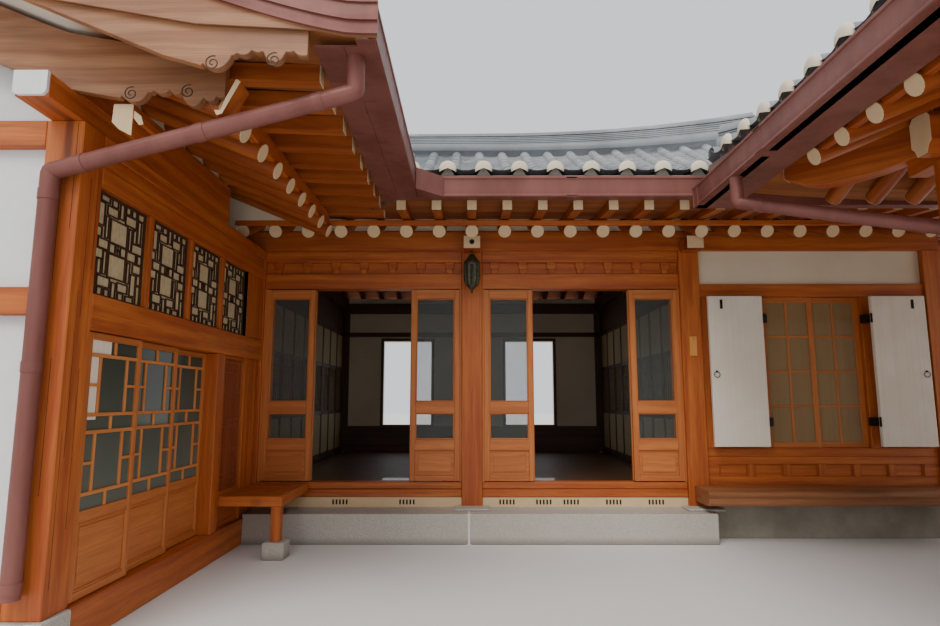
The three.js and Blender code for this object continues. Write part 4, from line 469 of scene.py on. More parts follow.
# Near-black painted shadow, for openings and cracks whose depth is not modelled.
shadow = mottled("painted_recess_shadow", (0.012, 0.009, 0.007), (0.03, 0.022, 0.016), (5.0,), Roughness=0.95)
piece("vent_slots", [squared(slot_rows)], shadow)


# Hall doors
# Each bay has four leaves of pine with a raised panel at the foot and two panes of glass above.
# The two outer leaves are fixed, and the two inner ones slide behind them on small rollers.

LEAF = 0.5325
LEAF_THICK = 0.036
STILE = 0.055
GLASS_LOW = (1.0, 1.28)
GLASS_HIGH = (1.4, 2.535)
PANEL = (0.625, 0.885)


def clear_glass(start):
    smear = place_on(start).clouds(2.2, 3.0)
    return {"Roughness": 0.02 + 0.03 * smear, "Alpha": 0.16 + 0.08 * smear}


glass = finish("window_glass", clear_glass, Base_Color=(0.10, 0.115, 0.11, 1), Specular_IOR_Level=0.3)
glass.surface_render_method = "BLENDED"


def glazed_leaf(x, y, foot, head):
    """Rows of one leaf's timbers: stiles, rails and mouldings, the panel's raised field, glass."""
    end, back = x + LEAF, y + LEAF_THICK
    inner, outer = x + STILE, end - STILE
    woods = [
        [x, y, foot, inner, back, head],
        [outer, y, foot, end, back, head],
        [inner, y, foot, outer, back, PANEL[0]],
        [inner, y, PANEL[1], outer, back, GLASS_LOW[0]],
        [inner, y, GLASS_LOW[1], outer, back, GLASS_HIGH[0]],
        [inner, y, GLASS_HIGH[1], outer, back, head],
        [inner, y + 0.014, PANEL[0], outer, back - 0.014, PANEL[1]],
        [inner + 0.035, y + 0.006, PANEL[0] + 0.035, outer - 0.035, back - 0.006, PANEL[1] - 0.035],
    ]
    for low, high in (GLASS_LOW, GLASS_HIGH):
        bead, front, rear = 0.014, y + 0.007, back - 0.007
        woods += [
            [inner, front, low, inner + bead, rear, high],
            [outer - bead, front, low, outer, rear, high],
            [inner + bead, front, low, outer - bead, rear, low + bead],
            [inner + bead, front, high - bead, outer - bead, rear, high],
        ]
    middle = y + LEAF_THICK / 2
    panes = [
        [inner + 0.01, middle - 0.002, low + 0.01, outer - 0.01, middle + 0.002, high - 0.01]
        for low, high in (GLASS_LOW, GLASS_HIGH)
    ]
    return woods, panes


leaf_pine = oiled_pine("door_pine", (0.60, 0.20, 0.045), (0.42, 0.115, 0.022), (0.50, 0.14, 0.03))
for bay in ("bay1", "bay2"):
    low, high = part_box(f"{bay}_fixed_leaves")
    jamb = (high.x - low.x - 4 * LEAF) / 2
    woods, panes = [], []
    for x in (low.x + jamb, high.x - jamb - LEAF):
        leaf_woods, leaf_panes = glazed_leaf(x, low.y, DOOR_FOOT + 0.01, DOOR_HEAD - 0.01)
        woods += leaf_woods
        panes += leaf_panes
    woods += [
        [low.x, low.y, DOOR_FOOT, low.x + jamb, 0.06, DOOR_HEAD],
        [high.x - jamb, low.y, DOOR_FOOT, high.x, 0.06, DOOR_HEAD],
    ]
    piece(f"{bay}_outer_leaves", [squared(woods, 11)], leaf_pine, f"{bay}_fixed_leaves", chamfer=0.003)
    piece(f"{bay}_outer_panes", [squared(panes)], glass)
    for side in ("west", "east"):
        node = f"{bay}_sliding_{side}"
        body = f"{bay}_{side}_leaf"
        low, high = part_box(node)
        woods, panes = glazed_leaf(low.x, low.y, DOOR_FOOT + 0.01, high.z)
        rollers = [
            [low.x + at, low.y + 0.008, low.z, low.x + at + 0.04, high.y - 0.008, DOOR_FOOT + 0.012]
            for at in (0.06, LEAF - 0.1)
        ]
        piece(f"{node}_wood", [squared(woods + rollers, 13)], leaf_pine, node, body=body, chamfer=0.003)
        piece(f"{node}_panes", [squared(panes)], glass, body=body)


# Roof form
# Every slope rises from its eave in a hollow curve, and the eaves lift towards the free corners.
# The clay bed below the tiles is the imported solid, which these formulas follow.

main_low, main_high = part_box("main_roof")
wing_low, wing_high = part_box("wing_roof")
srf_low, srf_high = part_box("side_roof")
RIDGE_Y = (main_low.y + main_high.y) / 2
WING_X = (wing_low.x + wing_high.x) / 2
SIDE_X = (srf_low.x + srf_high.x) / 2
RUN_MAIN = RIDGE_Y - main_low.y
RUN_WING = wing_high.x - WING_X
RUN_SIDE = SIDE_X - srf_low.x
GABLE_SHARE = 0.52
SIDE_SHARE = 0.5
GABLE_X = main_high.x - GABLE_SHARE * RUN_MAIN
EAVE_TOP = 3.58
RIDGE_TOP = 5.14
SIDE_EAVE_TOP = 3.43
SIDE_RIDGE_TOP = 4.64
HOLLOW = 1.3
LIFT = 0.12
LIFT_REACH = 2.2


def corner_lift(distance, t):
    """The eave's gain towards a free corner: the square of the nearness, fading up the slope."""
    return LIFT * np.maximum(0, 1 - distance / LIFT_REACH) ** 2 * (1 - t)


def main_top(x, y, t):
    """Bed height of the main roof: share of the slope to the power 1.3, and the two lifts."""
    to_ends = np.minimum(y - main_low.y, main_high.y - y)
    east = corner_lift(np.maximum(to_ends, main_high.x - x), t)
    north_west = np.where(y > RIDGE_Y, corner_lift(x - wing_low.x, t), 0)
    gable = 0.22 * np.maximum(0, (np.minimum(x, GABLE_X) - 0.5) / (GABLE_X - 0.5)) ** 2
    return EAVE_TOP + (RIDGE_TOP - EAVE_TOP) * t**HOLLOW + east + north_west + gable * t * t


def wing_top(x, y, t):
    lift = np.where(x < WING_X, corner_lift(main_high.y - y, t), 0)
    return EAVE_TOP + (RIDGE_TOP - EAVE_TOP) * t**HOLLOW + lift


def side_top(x, y, t):
    across = np.minimum(x - srf_low.x, srf_high.x - x)
    along = np.minimum(srf_high.y - y, y - srf_low.y)
    span = (srf_high.y - srf_low.y) / 2 - SIDE_SHARE * RUN_SIDE
    middle = (srf_high.y + srf_low.y) / 2
    crest = 0.14 * (np.minimum(np.abs(y - middle), span) / span) ** 3 * t * t
    rise = SIDE_EAVE_TOP + (SIDE_RIDGE_TOP - SIDE_EAVE_TOP) * t**HOLLOW
    return rise + corner_lift(np.maximum(across, along), t) + crest


class Slope:
    """One roof slope: a runs along its eave and d is the level distance in from it. rows are the
    places of its rows of cover tiles."""

    def __init__(self, along, edge, turn, run, span, rows, top, low, high):
        self.along, self.edge, self.turn, self.run, self.span = along, edge, turn, run, span
        self.rows = np.sort(rows[(rows > span[0]) & (rows < span[1])])
        self.top, self.low, self.high = top, low, high

    def plan(self, a, d):
        away = self.edge + self.turn * d
        return (a + 0 * away, away + 0 * a) if self.along == "x" else (away + 0 * a, a + 0 * away)


def none(a):
    return 0 * a


def main_reach(a):
    east = np.where(a > GABLE_X, main_high.x - a, RUN_MAIN)
    west = np.where(a < WING_X, (a - wing_low.x) * RUN_MAIN / RUN_WING, RUN_MAIN)
    return np.minimum(east, west)


def from_one_end(start, turn, length, step):
    """Places of rows at half a step, one and a half, and so on from one end of an eave."""
    return start + turn * (np.arange(round(length / step)) + 0.5) * step


def from_both_ends(start, end, step):
    """Places of rows counted from the nearer end, so that both corners are alike."""
    count = round((end - start) / step)
    k = np.arange(count) + 0.5
    near, far = start + k * step, end - (count - k) * step
    return np.where(k < count / 2, near, np.where(k > count / 2, far, (start + end) / 2))


ROW_STEP = 2 * RUN_MAIN / 20
SIDE_ROW_STEP = 2 * RUN_SIDE / 16
north_span = (wing_low.x, main_high.x)
main_rows = from_one_end(main_high.x, -1, main_high.x - wing_low.x, ROW_STEP)
wing_rows = from_one_end(wing_low.y, 1, main_high.y - wing_low.y, ROW_STEP)
long_rows = from_both_ends(srf_low.y, srf_high.y, SIDE_ROW_STEP)
short_rows = from_both_ends(srf_low.x, srf_high.x, SIDE_ROW_STEP)
long_span, short_span = (srf_low.y, srf_high.y), (srf_low.x, srf_high.x)


def south_valley(a):
    return np.maximum(0, (wing_high.x - a) * RUN_MAIN / RUN_WING)


def east_skirt(a):
    return np.minimum(GABLE_SHARE * RUN_MAIN, np.minimum(a - main_low.y, main_high.y - a))


def wing_valley(a):
    return np.maximum(0, (a - main_low.y) * RUN_WING / RUN_MAIN)


def whole_wing(a):
    return RUN_WING + none(a)


def wing_hip(a):
    return np.where(a > RIDGE_Y, (main_high.y - a) * RUN_WING / RUN_MAIN, RUN_WING)


def side_long(a):
    near = np.minimum(a - long_span[0], long_span[1] - a)
    return np.where(near >= SIDE_SHARE * RUN_SIDE, RUN_SIDE, near)


def side_short(a):
    return np.minimum(SIDE_SHARE * RUN_SIDE, np.minimum(a - short_span[0], short_span[1] - a))


SLOPES = {
    "main_south": Slope(
        "x", main_low.y, 1, RUN_MAIN, (WING_X, main_high.x), main_rows, main_top, south_valley, main_reach
    ),
    "main_north": Slope("x", main_high.y, -1, RUN_MAIN, north_span, main_rows, main_top, none, main_reach),
    "main_east": Slope(
        "y", main_high.x, -1, RUN_MAIN, (main_low.y, main_high.y),
        from_both_ends(main_low.y, main_high.y, ROW_STEP), main_top, none, east_skirt,
    ),
    "wing_east": Slope(
        "y", wing_high.x, -1, RUN_WING, (wing_low.y, RIDGE_Y), wing_rows, wing_top, wing_valley, whole_wing
    ),
    "wing_west": Slope(
        "y", wing_low.x, 1, RUN_WING, (wing_low.y, main_high.y), wing_rows, wing_top, none, wing_hip
    ),
    "side_west": Slope("y", srf_low.x, 1, RUN_SIDE, long_span, long_rows, side_top, none, side_long),
    "side_east": Slope("y", srf_high.x, -1, RUN_SIDE, long_span, long_rows, side_top, none, side_long),
    "side_north": Slope("x", srf_high.y, -1, RUN_SIDE, short_span, short_rows, side_top, none, side_short),
    "side_south": Slope("x", srf_low.y, 1, RUN_SIDE, short_span, short_rows, side_top, none, side_short),
}


# Roof tiles
# Hollow pan tiles lie in overlapping courses on the clay, and rows of half-round cover tiles
# hide their joints. White lime plaster stops the open ends of the cover rows at the eaves.

COVER_RADIUS = 0.068
COVER_LENGTH = 0.30
PAN_EXPOSED = 0.125
PAN_THICK = 0.017
TILE_BED = 0.022
EAVE_OVER = 0.035


def fired_clay(start):
    where = place_on(start)
    single = where.node("TexVoronoi", None, {"Scale": 3.6}, "Color")
    shade = single.node("SeparateColor", None, {0: single}, "Red")
    soot = where.clouds(2.3, 5.0)
    grit = where.clouds(120.0, 3.0)
    lichen = where.clouds(14.0, 5.0, 0.7).between(0.6, 0.72)
    tint = shade.blend((0.22, 0.235, 0.25), (0.38, 0.395, 0.415))
    weathered = (soot.between(0.35, 0.7) * 0.5).blend(tint, (0.17, 0.175, 0.18))
    return {
        "Base Color": (lichen * 0.35).blend(weathered, (0.42, 0.42, 0.38)),
        "Roughness": 0.55 + 0.25 * grit,
        "height": 0.0012 * grit,
    }


clay = finish("fired_clay_tile", fired_clay)


def grid_faces(count, rows, columns, keep=None):
    """Quads of several grids laid one after another, leaving out those that keep marks False."""
    base = (np.arange(count)[:, None, None] * rows + np.arange(rows - 1)[None, :, None]) * columns
    first = base + np.arange(columns - 1)
    quads = np.stack([first, first + 1, first + columns + 1, first + columns], -1)
    return quads.reshape(-1, 4) if keep is None else quads[keep]


def grids(points, outward=True):
    """Grids of points, of shape (count, rows, columns, 3), as one shape. Squares that have shrunk to
    nothing are dropped. The grain is the place itself."""
    count, rows, columns, _ = points.shape
    corners = points[:, :-1, :-1], points[:, :-1, 1:], points[:, 1:, 1:], points[:, 1:, :-1]
    across = np.cross(corners[2] - corners[0], corners[3] - corners[1])
    keep = np.linalg.norm(across, axis=-1) > 1e-7
    faces = grid_faces(count, rows, columns, keep)
    used, faces = np.unique(faces, return_inverse=True)
    faces = faces.reshape(-1, 4)
    flat = points.reshape(-1, 3)[used]
    return flat, [faces if outward else faces[:, ::-1]], flat


def tile_rows(slope):
    """Cover and pan grids. A row is a centre line a; each course has a low and a high ring, and
    every point is held between the slope's own limits, so hips and valleys cut the rows."""
    first, last = slope.span
    rows = slope.rows
    middles = (np.concatenate([[first], rows]) + np.concatenate([rows, [last]])) / 2
    gaps = np.diff(np.concatenate([[first], rows, [last]]))
    turned = (slope.along == "x") == (slope.turn > 0)

    def field(centres, across, rise, exposed, step):
        courses = int(np.ceil((slope.run + EAVE_OVER) / exposed))
        cuts = np.arange(courses + 1) * exposed - EAVE_OVER
        d = np.repeat(cuts, 2)[1:-1]
        lift = np.tile([step, 0.0], courses)
        swell = np.tile([1.05, 0.97], courses)
        a = centres[:, None, None] + across[:, None, :] * swell[None, :, None]
        a = np.clip(a, first, last)
        low = slope.low(a) - np.where(slope.low(a) > 0, 0, EAVE_OVER)
        held = np.clip(d[None, :, None] + 0 * a, low, np.maximum(low, slope.high(a)))
        above = TILE_BED + lift[None, :, None] + rise[None, None, :] * swell[None, :, None]
        x, y = slope.plan(a, held)
        share = np.clip(held / slope.run, 0, 1)
        points = np.stack([x, y, slope.top(x, y, share) + above], -1)
        return grids(points, turned)

    bow = np.linspace(math.pi, 0, 9)
    half_round = np.cos(bow)[None] * COVER_RADIUS + 0 * rows[:, None]
    covers = field(rows, half_round, 0.028 + COVER_RADIUS * np.sin(bow), COVER_LENGTH, 0.006)
    hollow = np.linspace(-1, 1, 6)
    pans = field(middles, hollow[None] * gaps[:, None] * 0.47, 0.05 * hollow**2, PAN_EXPOSED, PAN_THICK)
    return covers, pans


def end_stops(slope, radius):
    """Domed stops on the open ends of cover rows: half-rings that shrink as they come forward."""
    open_rows = slope.rows[(slope.low(slope.rows) <= 0) & (slope.high(slope.rows) > 0.3)]
    shrink = np.array([1.0, 0.97, 0.8, 0.5, 0.02])
    forward = EAVE_OVER + 0.03 * np.array([-0.4, 0.2, 0.75, 0.95, 1.0])
    bow = np.linspace(math.pi * 1.12, -math.pi * 0.12, 13)
    a = open_rows[:, None, None] + radius * shrink[None, :, None] * np.cos(bow)
    d = -forward[None, :, None] + 0 * a
    x, y = slope.plan(a, d)
    height = slope.top(*slope.plan(open_rows, none(open_rows)), none(open_rows))
    z = height[:, None, None] + TILE_BED + 0.03 + radius * shrink[None, :, None] * np.sin(bow)
    turned = (slope.along == "x") == (slope.turn > 0)
    return grids(np.stack([x, y, z], -1), not turned)


stop_parts = []
for name, roof_slope in SLOPES.items():
    covers, pans = tile_rows(roof_slope)
    piece(f"{name}_cover_tiles", [covers], clay, smooth=40)
    piece(f"{name}_pan_tiles", [pans], clay, smooth=40)
    stop_parts.append(end_stops(roof_slope, 0.085))
piece("cover_row_stops", stop_parts, plaster, smooth=60)


# Ridges
# Walls of thin tiles in lime mortar along each crest and hip: a round roll on either side at the
# foot, layers of flat tiles, and a row of cover tiles on top. Their ends rise.


def swept(profile, path, stretch=None, seed=5):
    """A closed outline carried along a path. Each point is the path's point, plus the outline's
    first number sideways and its second upwards, times stretch; bends are mitred."""
    profile, path = np.asarray(profile, float), np.asarray(path, float)
    stretch = np.ones(len(path)) if stretch is None else np.asarray(stretch, float)
    runs = np.diff(path[:, :2], axis=0)
    runs = runs / np.linalg.norm(runs, axis=1)[:, None]
    sides = np.stack([runs[:, 1], -runs[:, 0]], 1)
    before, after = np.vstack([sides[:1], sides]), np.vstack([sides, sides[-1:]])
    mitre = before + after
    mitre = mitre / (np.sum(mitre * after, axis=1))[:, None]
    points = np.zeros((len(path), len(profile), 3))
    points[..., :2] = path[:, None, :2] + mitre[:, None] * profile[None, :, :1]
    points[..., 2] = path[:, None, 2] + profile[None, :, 1] * stretch[:, None]
    count, sides_n = len(path), len(profile)
    ring = np.concatenate([points, points[:, :1]], 1)
    quads = grid_faces(1, count, sides_n + 1)
    rows, columns = quads // (sides_n + 1), quads % (sides_n + 1) % sides_n
    area = np.sum(profile[:, 0] * np.roll(profile[:, 1], -1) - profile[:, 1] * np.roll(profile[:, 0], -1))
    faces = rows * sides_n + columns
    start, end = np.arange(sides_n)[None], (count - 1) * sides_n + np.arange(sides_n)[None]
    if area < 0:
        faces, start, end = faces[:, ::-1], start[:, ::-1], end[:, ::-1]
    along = np.concatenate([[0], np.cumsum(np.linalg.norm(np.diff(path, axis=0), axis=1))])
    grain = np.zeros_like(points)
    grain[..., 0] = along[:, None]
    grain[..., 1:] = profile[None]
    grain += np.random.default_rng(seed).uniform(0, 40, 3)
    return points.reshape(-1, 3), [faces, start, end[:, ::-1]], grain.reshape(-1, 3)


def ridge_outline(half, height, layers, roll):
    """Right half from the foot up: roll, layers of thin tiles with open joints, cover; mirrored."""
    bow = np.linspace(-0.5 * math.pi, 0.5 * math.pi, 6)
    right = [(half * 0.6, -0.05)]
    right += [(half + 0.02 + roll * 0.55 * math.cos(b), 0.105 + roll * math.sin(b)) for b in bow]
    start = 0.105 + roll
    thick = (height - 0.075 - start) / layers
    for k in range(layers):
        low = start + thick * k
        inner, outer = half * 0.86, half * (1.02 if k < layers - 1 else 1.12)
        right += [(inner, low), (inner, low + thick * 0.25), (outer, low + thick * 0.3), (outer, low + thick)]
    cover = np.linspace(0, 0.5 * math.pi, 5)
    right += [(0.075 * math.cos(b), height - 0.075 + 0.075 * math.sin(b)) for b in cover]
    return right + [(-u, v) for u, v in right[::-1][1:]]


RIDGE_HEIGHT = 0.39


def line(start, end, count, top, slope_t):
    """Points on a roof from one plan point to another, with the share of the slope at each."""
    s = np.linspace(0, 1, count)
    x = start[0] + (end[0] - start[0]) * s
    y = start[1] + (end[1] - start[1]) * s
    t = slope_t[0] + (slope_t[1] - slope_t[0]) * s
    return np.stack([x, y, top(x, y, t)], 1)


s17 = np.linspace(0, 1, 17)
main_line = line((WING_X, RIDGE_Y), (GABLE_X - 0.005, RIDGE_Y), 17, main_top, (1, 1))
wing_line = line((WING_X, RIDGE_Y + 0.13), (WING_X, wing_low.y + 0.005), 17, wing_top, (1, 1))
side_line = line(
    (SIDE_X, srf_high.y - SIDE_SHARE * RUN_SIDE - 0.005), (SIDE_X, srf_low.y + SIDE_SHARE * RUN_SIDE + 0.005),
    17, side_top, (1, 1),
)
big = ridge_outline(0.12, RIDGE_HEIGHT, 6, 0.055)
small = ridge_outline(0.095, 0.28, 3, 0.045)
for name, path, height in (
    ("main_ridge", main_line, RIDGE_HEIGHT + 0.14 * s17**4),
    ("wing_ridge", wing_line, RIDGE_HEIGHT + 0.10 * s17**4),
    ("side_ridge", side_line, 0.34 + 0.09 * (2 * s17 - 1) ** 6),
):
    piece(name, [swept(big, path, height / RIDGE_HEIGHT)], clay, smooth=35)


def mirrored(path, axis, middle):
    """A path turned over a middle line. The outlines that run on it are alike on both sides."""
    path = path.copy()
    path[:, axis] = 2 * middle - path[:, axis]
    return path


VERGE_HALF = 0.115
s9 = np.linspace(0, 1, 9)
gable_x, gable_foot = GABLE_X - VERGE_HALF - 0.005, main_low.y + GABLE_SHARE * RUN_MAIN
gable_line = line((gable_x, RIDGE_Y - 0.02), (gable_x, gable_foot), 9, main_top, (1, GABLE_SHARE))
hip_end = 0.03
east_hip = line(
    (GABLE_X - VERGE_HALF, gable_foot),
    (main_high.x - hip_end * RUN_MAIN, main_low.y + hip_end * RUN_MAIN),
    9, main_top, (GABLE_SHARE, hip_end),
)
west_hip = line(
    (WING_X, RIDGE_Y), (wing_low.x + hip_end * RUN_WING, main_high.y - hip_end * RUN_MAIN),
    15, main_top, (1, hip_end),
)
hip_parts = [swept(small, west_hip, 1.07 + 0.2 * np.linspace(0, 1, 15) ** 4)]
for mirror in (False, True):
    gable_path = mirrored(gable_line, 1, RIDGE_Y) if mirror else gable_line
    hip_path = mirrored(east_hip, 1, RIDGE_Y) if mirror else east_hip
    hip_parts += [swept(small, gable_path), swept(small, hip_path, 0.9 + 0.2 * s9**4)]
piece("main_hip_ridges", hip_parts, clay, "main_ridge_tiles", smooth=35)
verge_y = wing_low.y + VERGE_HALF + 0.005
verge_line = line((WING_X + 0.02, verge_y), (wing_high.x - 0.31 * RUN_WING, verge_y), 9, wing_top, (1, 0.31))
verge_parts = [swept(small, verge_line), swept(small, mirrored(verge_line, 0, WING_X))]
piece("wing_verge_ridges", verge_parts, clay, "wing_ridge_tiles", smooth=35)
side_parts = []
side_gable_y = srf_high.y - SIDE_SHARE * RUN_SIDE - VERGE_HALF - 0.005
side_gable = line(
    (SIDE_X - 0.02, side_gable_y), (srf_low.x + SIDE_SHARE * RUN_SIDE, side_gable_y),
    9, side_top, (1, SIDE_SHARE),
)
side_hip = line(
    (srf_low.x + SIDE_SHARE * RUN_SIDE, side_gable_y + 0.005),
    (srf_low.x + 0.04 * RUN_SIDE, srf_high.y - 0.04 * RUN_SIDE),
    9, side_top, (SIDE_SHARE, 0.04),
)
side_middle = (srf_low.y + srf_high.y) / 2
for path, stretch in ((side_gable, 0.9 + 0 * s9), (side_hip, 0.82 + 0.42 * s9**4)):
    for flip_x in (False, True):
        for flip_y in (False, True):
            turned = mirrored(path, 0, SIDE_X) if flip_x else path
            turned = mirrored(turned, 1, side_middle) if flip_y else turned
            side_parts.append(swept(small, turned, stretch))
piece("side_hip_ridges", side_parts, clay, "side_ridge_tiles", smooth=35)


# Roof bed and eave boards
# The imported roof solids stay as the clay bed. Above they are dark mortar; below, pine boards show
# outside the walls and white plaster between the rafters inside them.


def roof_bed(start):
    where = place_on(start)
    split = where.upward()
    facing = start.node("NewGeometry", None, None, "Normal").upward().between(-0.1, 0.1)
    inside = split.between(3.56, 3.6)
    grain = where.stretched((0.6, 9.0, 9.0)).clouds(1.0, 3.0)
    boards = grain.between(0.3, 0.7).blend((0.36, 0.12, 0.03), (0.22, 0.065, 0.016))
    below = inside.blend(boards, (0.74, 0.69, 0.59))
    mortar_tone = where.clouds(8.0, 4.0).blend((0.30, 0.29, 0.27), (0.2, 0.2, 0.195))
    return {"Base Color": facing.blend(below, mortar_tone), "height": 0.001 * where.clouds(40.0, 3.0)}


def recoat(material, *nodes):
    """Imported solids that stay, with this material in place of their own."""
    for node in nodes:
        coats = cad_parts[node].data.materials
        coats.clear()
        coats.append(material)


recoat(finish("roof_bed", roof_bed, Roughness=0.85), "main_roof", "wing_roof", "side_roof")


# Rafters
# Round peeled poles run up from the eaves, with square flying rafters on their outer ends and a
# batten over the tips. The cut ends are painted cream.

RAFTER_STEP = 0.343
FLY_WIDE = 0.09
FLY_DEEP = 0.107
VALLEY_TIPS = 1.75


def rods(starts, ends, start_radius, end_radius, sides=14, seed=8):
    """Round poles: rings of points square to each axis, at its start and its end, with end caps."""
    starts, ends = np.asarray(starts, float), np.asarray(ends, float)
    axis = ends - starts
    length = np.linalg.norm(axis, axis=1)
    axis = axis / length[:, None]
    level = np.where(np.abs(axis[:, 2:]) < 0.95, [[0, 0, 1.0]], [[1.0, 0, 0]])
    side = np.cross(axis, level)
    side = side / np.linalg.norm(side, axis=1)[:, None]
    upward = np.cross(side, axis)
    turn = np.linspace(0, 2 * math.pi, sides, endpoint=False)
    circle = np.cos(turn)[None, :, None] * side[:, None] + np.sin(turn)[None, :, None] * upward[:, None]
    points = np.stack([starts[:, None] + start_radius * circle, ends[:, None] + end_radius * circle], 1)
    grain = np.zeros_like(points)
    grain[:, 1, :, 0] = length[:, None]
    grain[..., 1] = (start_radius * np.cos(turn))[None, None]
    grain[..., 2] = (start_radius * np.sin(turn))[None, None]
    grain += np.random.default_rng(seed).uniform(0, 40, (len(starts), 1, 1, 3))
    k = np.arange(sides)
    band = np.stack([k, (k + 1) % sides, (k + 1) % sides + sides, k + sides], 1)
    shift = 2 * sides * np.arange(len(starts))[:, None, None]
    caps = np.stack([k[::-1], k + sides])
    return (
        points.reshape(-1, 3),
        [(band[None] + shift).reshape(-1, 4), (caps[None] + shift).reshape(-1, sides)],
        grain.reshape(-1, 3),
    )


def slanted(starts, ends, wide, deep, seed=9):
    """Squared timbers whose top edge runs from start to end: four corners hang at each end."""
    starts, ends = np.asarray(starts, float), np.asarray(ends, float)
    axis = ends - starts
    level = axis[:, :2] / np.linalg.norm(axis[:, :2], axis=1)[:, None]
    side = np.stack([level[:, 1], -level[:, 0], 0 * level[:, 0]], 1) * (wide / 2)
    drop = np.array([0, 0, deep])
    ring = np.stack([side, side - drop, -side - drop, -side], 1)
    points = np.stack([starts[:, None] + ring, ends[:, None] + ring], 1)
    grain = np.zeros_like(points)
    grain[:, 1, :, 0] = np.linalg.norm(axis, axis=1)[:, None]
    grain[..., 1] = np.array([0, 0, wide, wide])
    grain[..., 2] = np.array([0, deep, deep, 0])
    grain += np.random.default_rng(seed).uniform(0, 40, (len(starts), 1, 1, 3))
    faces = np.array([[0, 1, 5, 4], [1, 2, 6, 5], [2, 3, 7, 6], [3, 0, 4, 7], [3, 2, 1, 0], [4, 5, 6, 7]])
    shift = 8 * np.arange(len(starts))[:, None, None]
    return points.reshape(-1, 3), [(faces[None] + shift).reshape(-1, 4)], grain.reshape(-1, 3)


def discs(centres, outward, radius, thick=0.004, sides=18):
    """Thin round paint on pole ends."""
    centres, outward = np.asarray(centres, float), np.asarray(outward, float)
    return rods(centres - 0.001 * outward, centres + thick * outward, radius, radius * 0.97, sides)


def rafter_set(slope, places, tip_d, tip_z, flying_d=None, flying_z=None, flying_limit=0.0):
    """Poles of one slope from their tips to its crest, hip or gable, their end discs, and the
    flying rafters with their square ends."""
    places = np.asarray(places, float)
    below = slope.low(places)
    begin = np.maximum(tip_d, np.where(below < VALLEY_TIPS, 0, below + 0.05))
    finish_d = np.minimum(slope.high(places) - 0.14, slope.run - 0.02)
    good = finish_d - begin > 0.3
    places, below, begin, finish_d = places[good], below[good], begin[good], finish_d[good]

    def at(d, z):
        x, y = slope.plan(places, d)
        return np.stack([x, y, z + 0 * x], 1)

    starts = at(begin, tip_z + RAFTER_SLOPE * (begin - tip_d))
    ends = at(finish_d, tip_z + RAFTER_SLOPE * (finish_d - tip_d))
    axis = (starts - ends) / np.linalg.norm(starts - ends, axis=1)[:, None]
    tips = begin <= tip_d + 1e-6
    parts = [rods(starts, ends, RAFTER_RADIUS, RAFTER_RADIUS)]
    paint = [discs(starts[tips], axis[tips], RAFTER_RADIUS)]
    if flying_d is not None:
        outer = tips & (below <= flying_limit)
        tip = at(flying_d + none(places), flying_z[0])[outer]
        heel = at(tip_d + 0.21 + none(places), flying_z[1])[outer]
        parts.append(slanted(tip, heel, FLY_WIDE, FLY_DEEP))
        away = (tip - heel) / np.linalg.norm(tip - heel, axis=1)[:, None]
        paint.append(slanted(tip + 0.004 * away, tip, FLY_WIDE, FLY_DEEP))
    return parts, paint


MAIN_TIP = MAIN_TIP_Y - main_low.y
WING_TIP = wing_high.x - WING_TIP_X
SIDE_TIP = SIDE_TIP_X - srf_low.x
main_fly = (0.025, (3.3507, 3.4225), 0.1)
wing_fly = (0.282, (3.404, 3.433), 0.5)
south_places = RAFTER_STEP * np.arange(-11, 18)
wing_places = -3.37 + RAFTER_STEP * np.arange(0, 9)
west_places = -3.37 + RAFTER_STEP * np.arange(0, 27)
north_places = RAFTER_STEP * np.arange(-20, 18)
east_places = RIDGE_Y + RAFTER_STEP * np.arange(-9, 10)
side_places = -2.62 - RAFTER_STEP * np.arange(0, 14)
side_end_places = SIDE_X + RAFTER_STEP * np.arange(-5, 6)
sets = {
    "main": [
        ("main_south", south_places, MAIN_TIP, MAIN_TIP_Z, *main_fly),
        ("main_north", north_places, MAIN_TIP, MAIN_TIP_Z, *main_fly),
        ("main_east", east_places, MAIN_TIP, MAIN_TIP_Z, *main_fly),
    ],
    "wing": [
        ("wing_east", wing_places, WING_TIP, WING_TIP_Z, *wing_fly),
        ("wing_west", west_places, WING_TIP, WING_TIP_Z, *wing_fly),
    ],
    "side": [
        ("side_west", side_places, SIDE_TIP, WING_TIP_Z),
        ("side_east", side_places, SIDE_TIP, WING_TIP_Z),
        ("side_north", side_end_places, SIDE_TIP, WING_TIP_Z),
        ("side_south", side_end_places, SIDE_TIP, WING_TIP_Z),
    ],
}
pole_pine = oiled_pine("peeled_pole_pine", (0.46, 0.125, 0.02), (0.26, 0.05, 0.008), (0.34, 0.07, 0.011))
paint_parts = []
for building, rows in sets.items():
    parts = []
    for name, *values in rows:
        made, paint = rafter_set(SLOPES[name], *values)
        parts += made
        paint_parts += paint
    piece(f"{building}_rafter_poles", parts, pole_pine, f"{building}_rafters", smooth=40)
piece("rafter_end_paint", paint_parts, cream)
batten_rows = [
    [-2.47, -0.59, 3.222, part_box("main_rafters")[1].x, -0.545, 3.275],
    [-1.545, -3.43, 3.2, -1.49, -0.566, 3.345],
    [2.46, side_places[-1] - 0.06, 3.17, 2.51, side_places[0] + 0.06, 3.218],
]
piece("eave_battens", [squared(batten_rows, 21)], pine, chamfer=0.004)


# Room front
# The east bay is a closed room: a plaster field above, a window with two lattice sashes, and a
# row of small sunk panels along the foot. Its members are joined flush and oiled like the hall's.

WINDOW = (3.19, 4.29, 0.91, 2.55)
FOOT_PANELS = (0.61, 0.742)


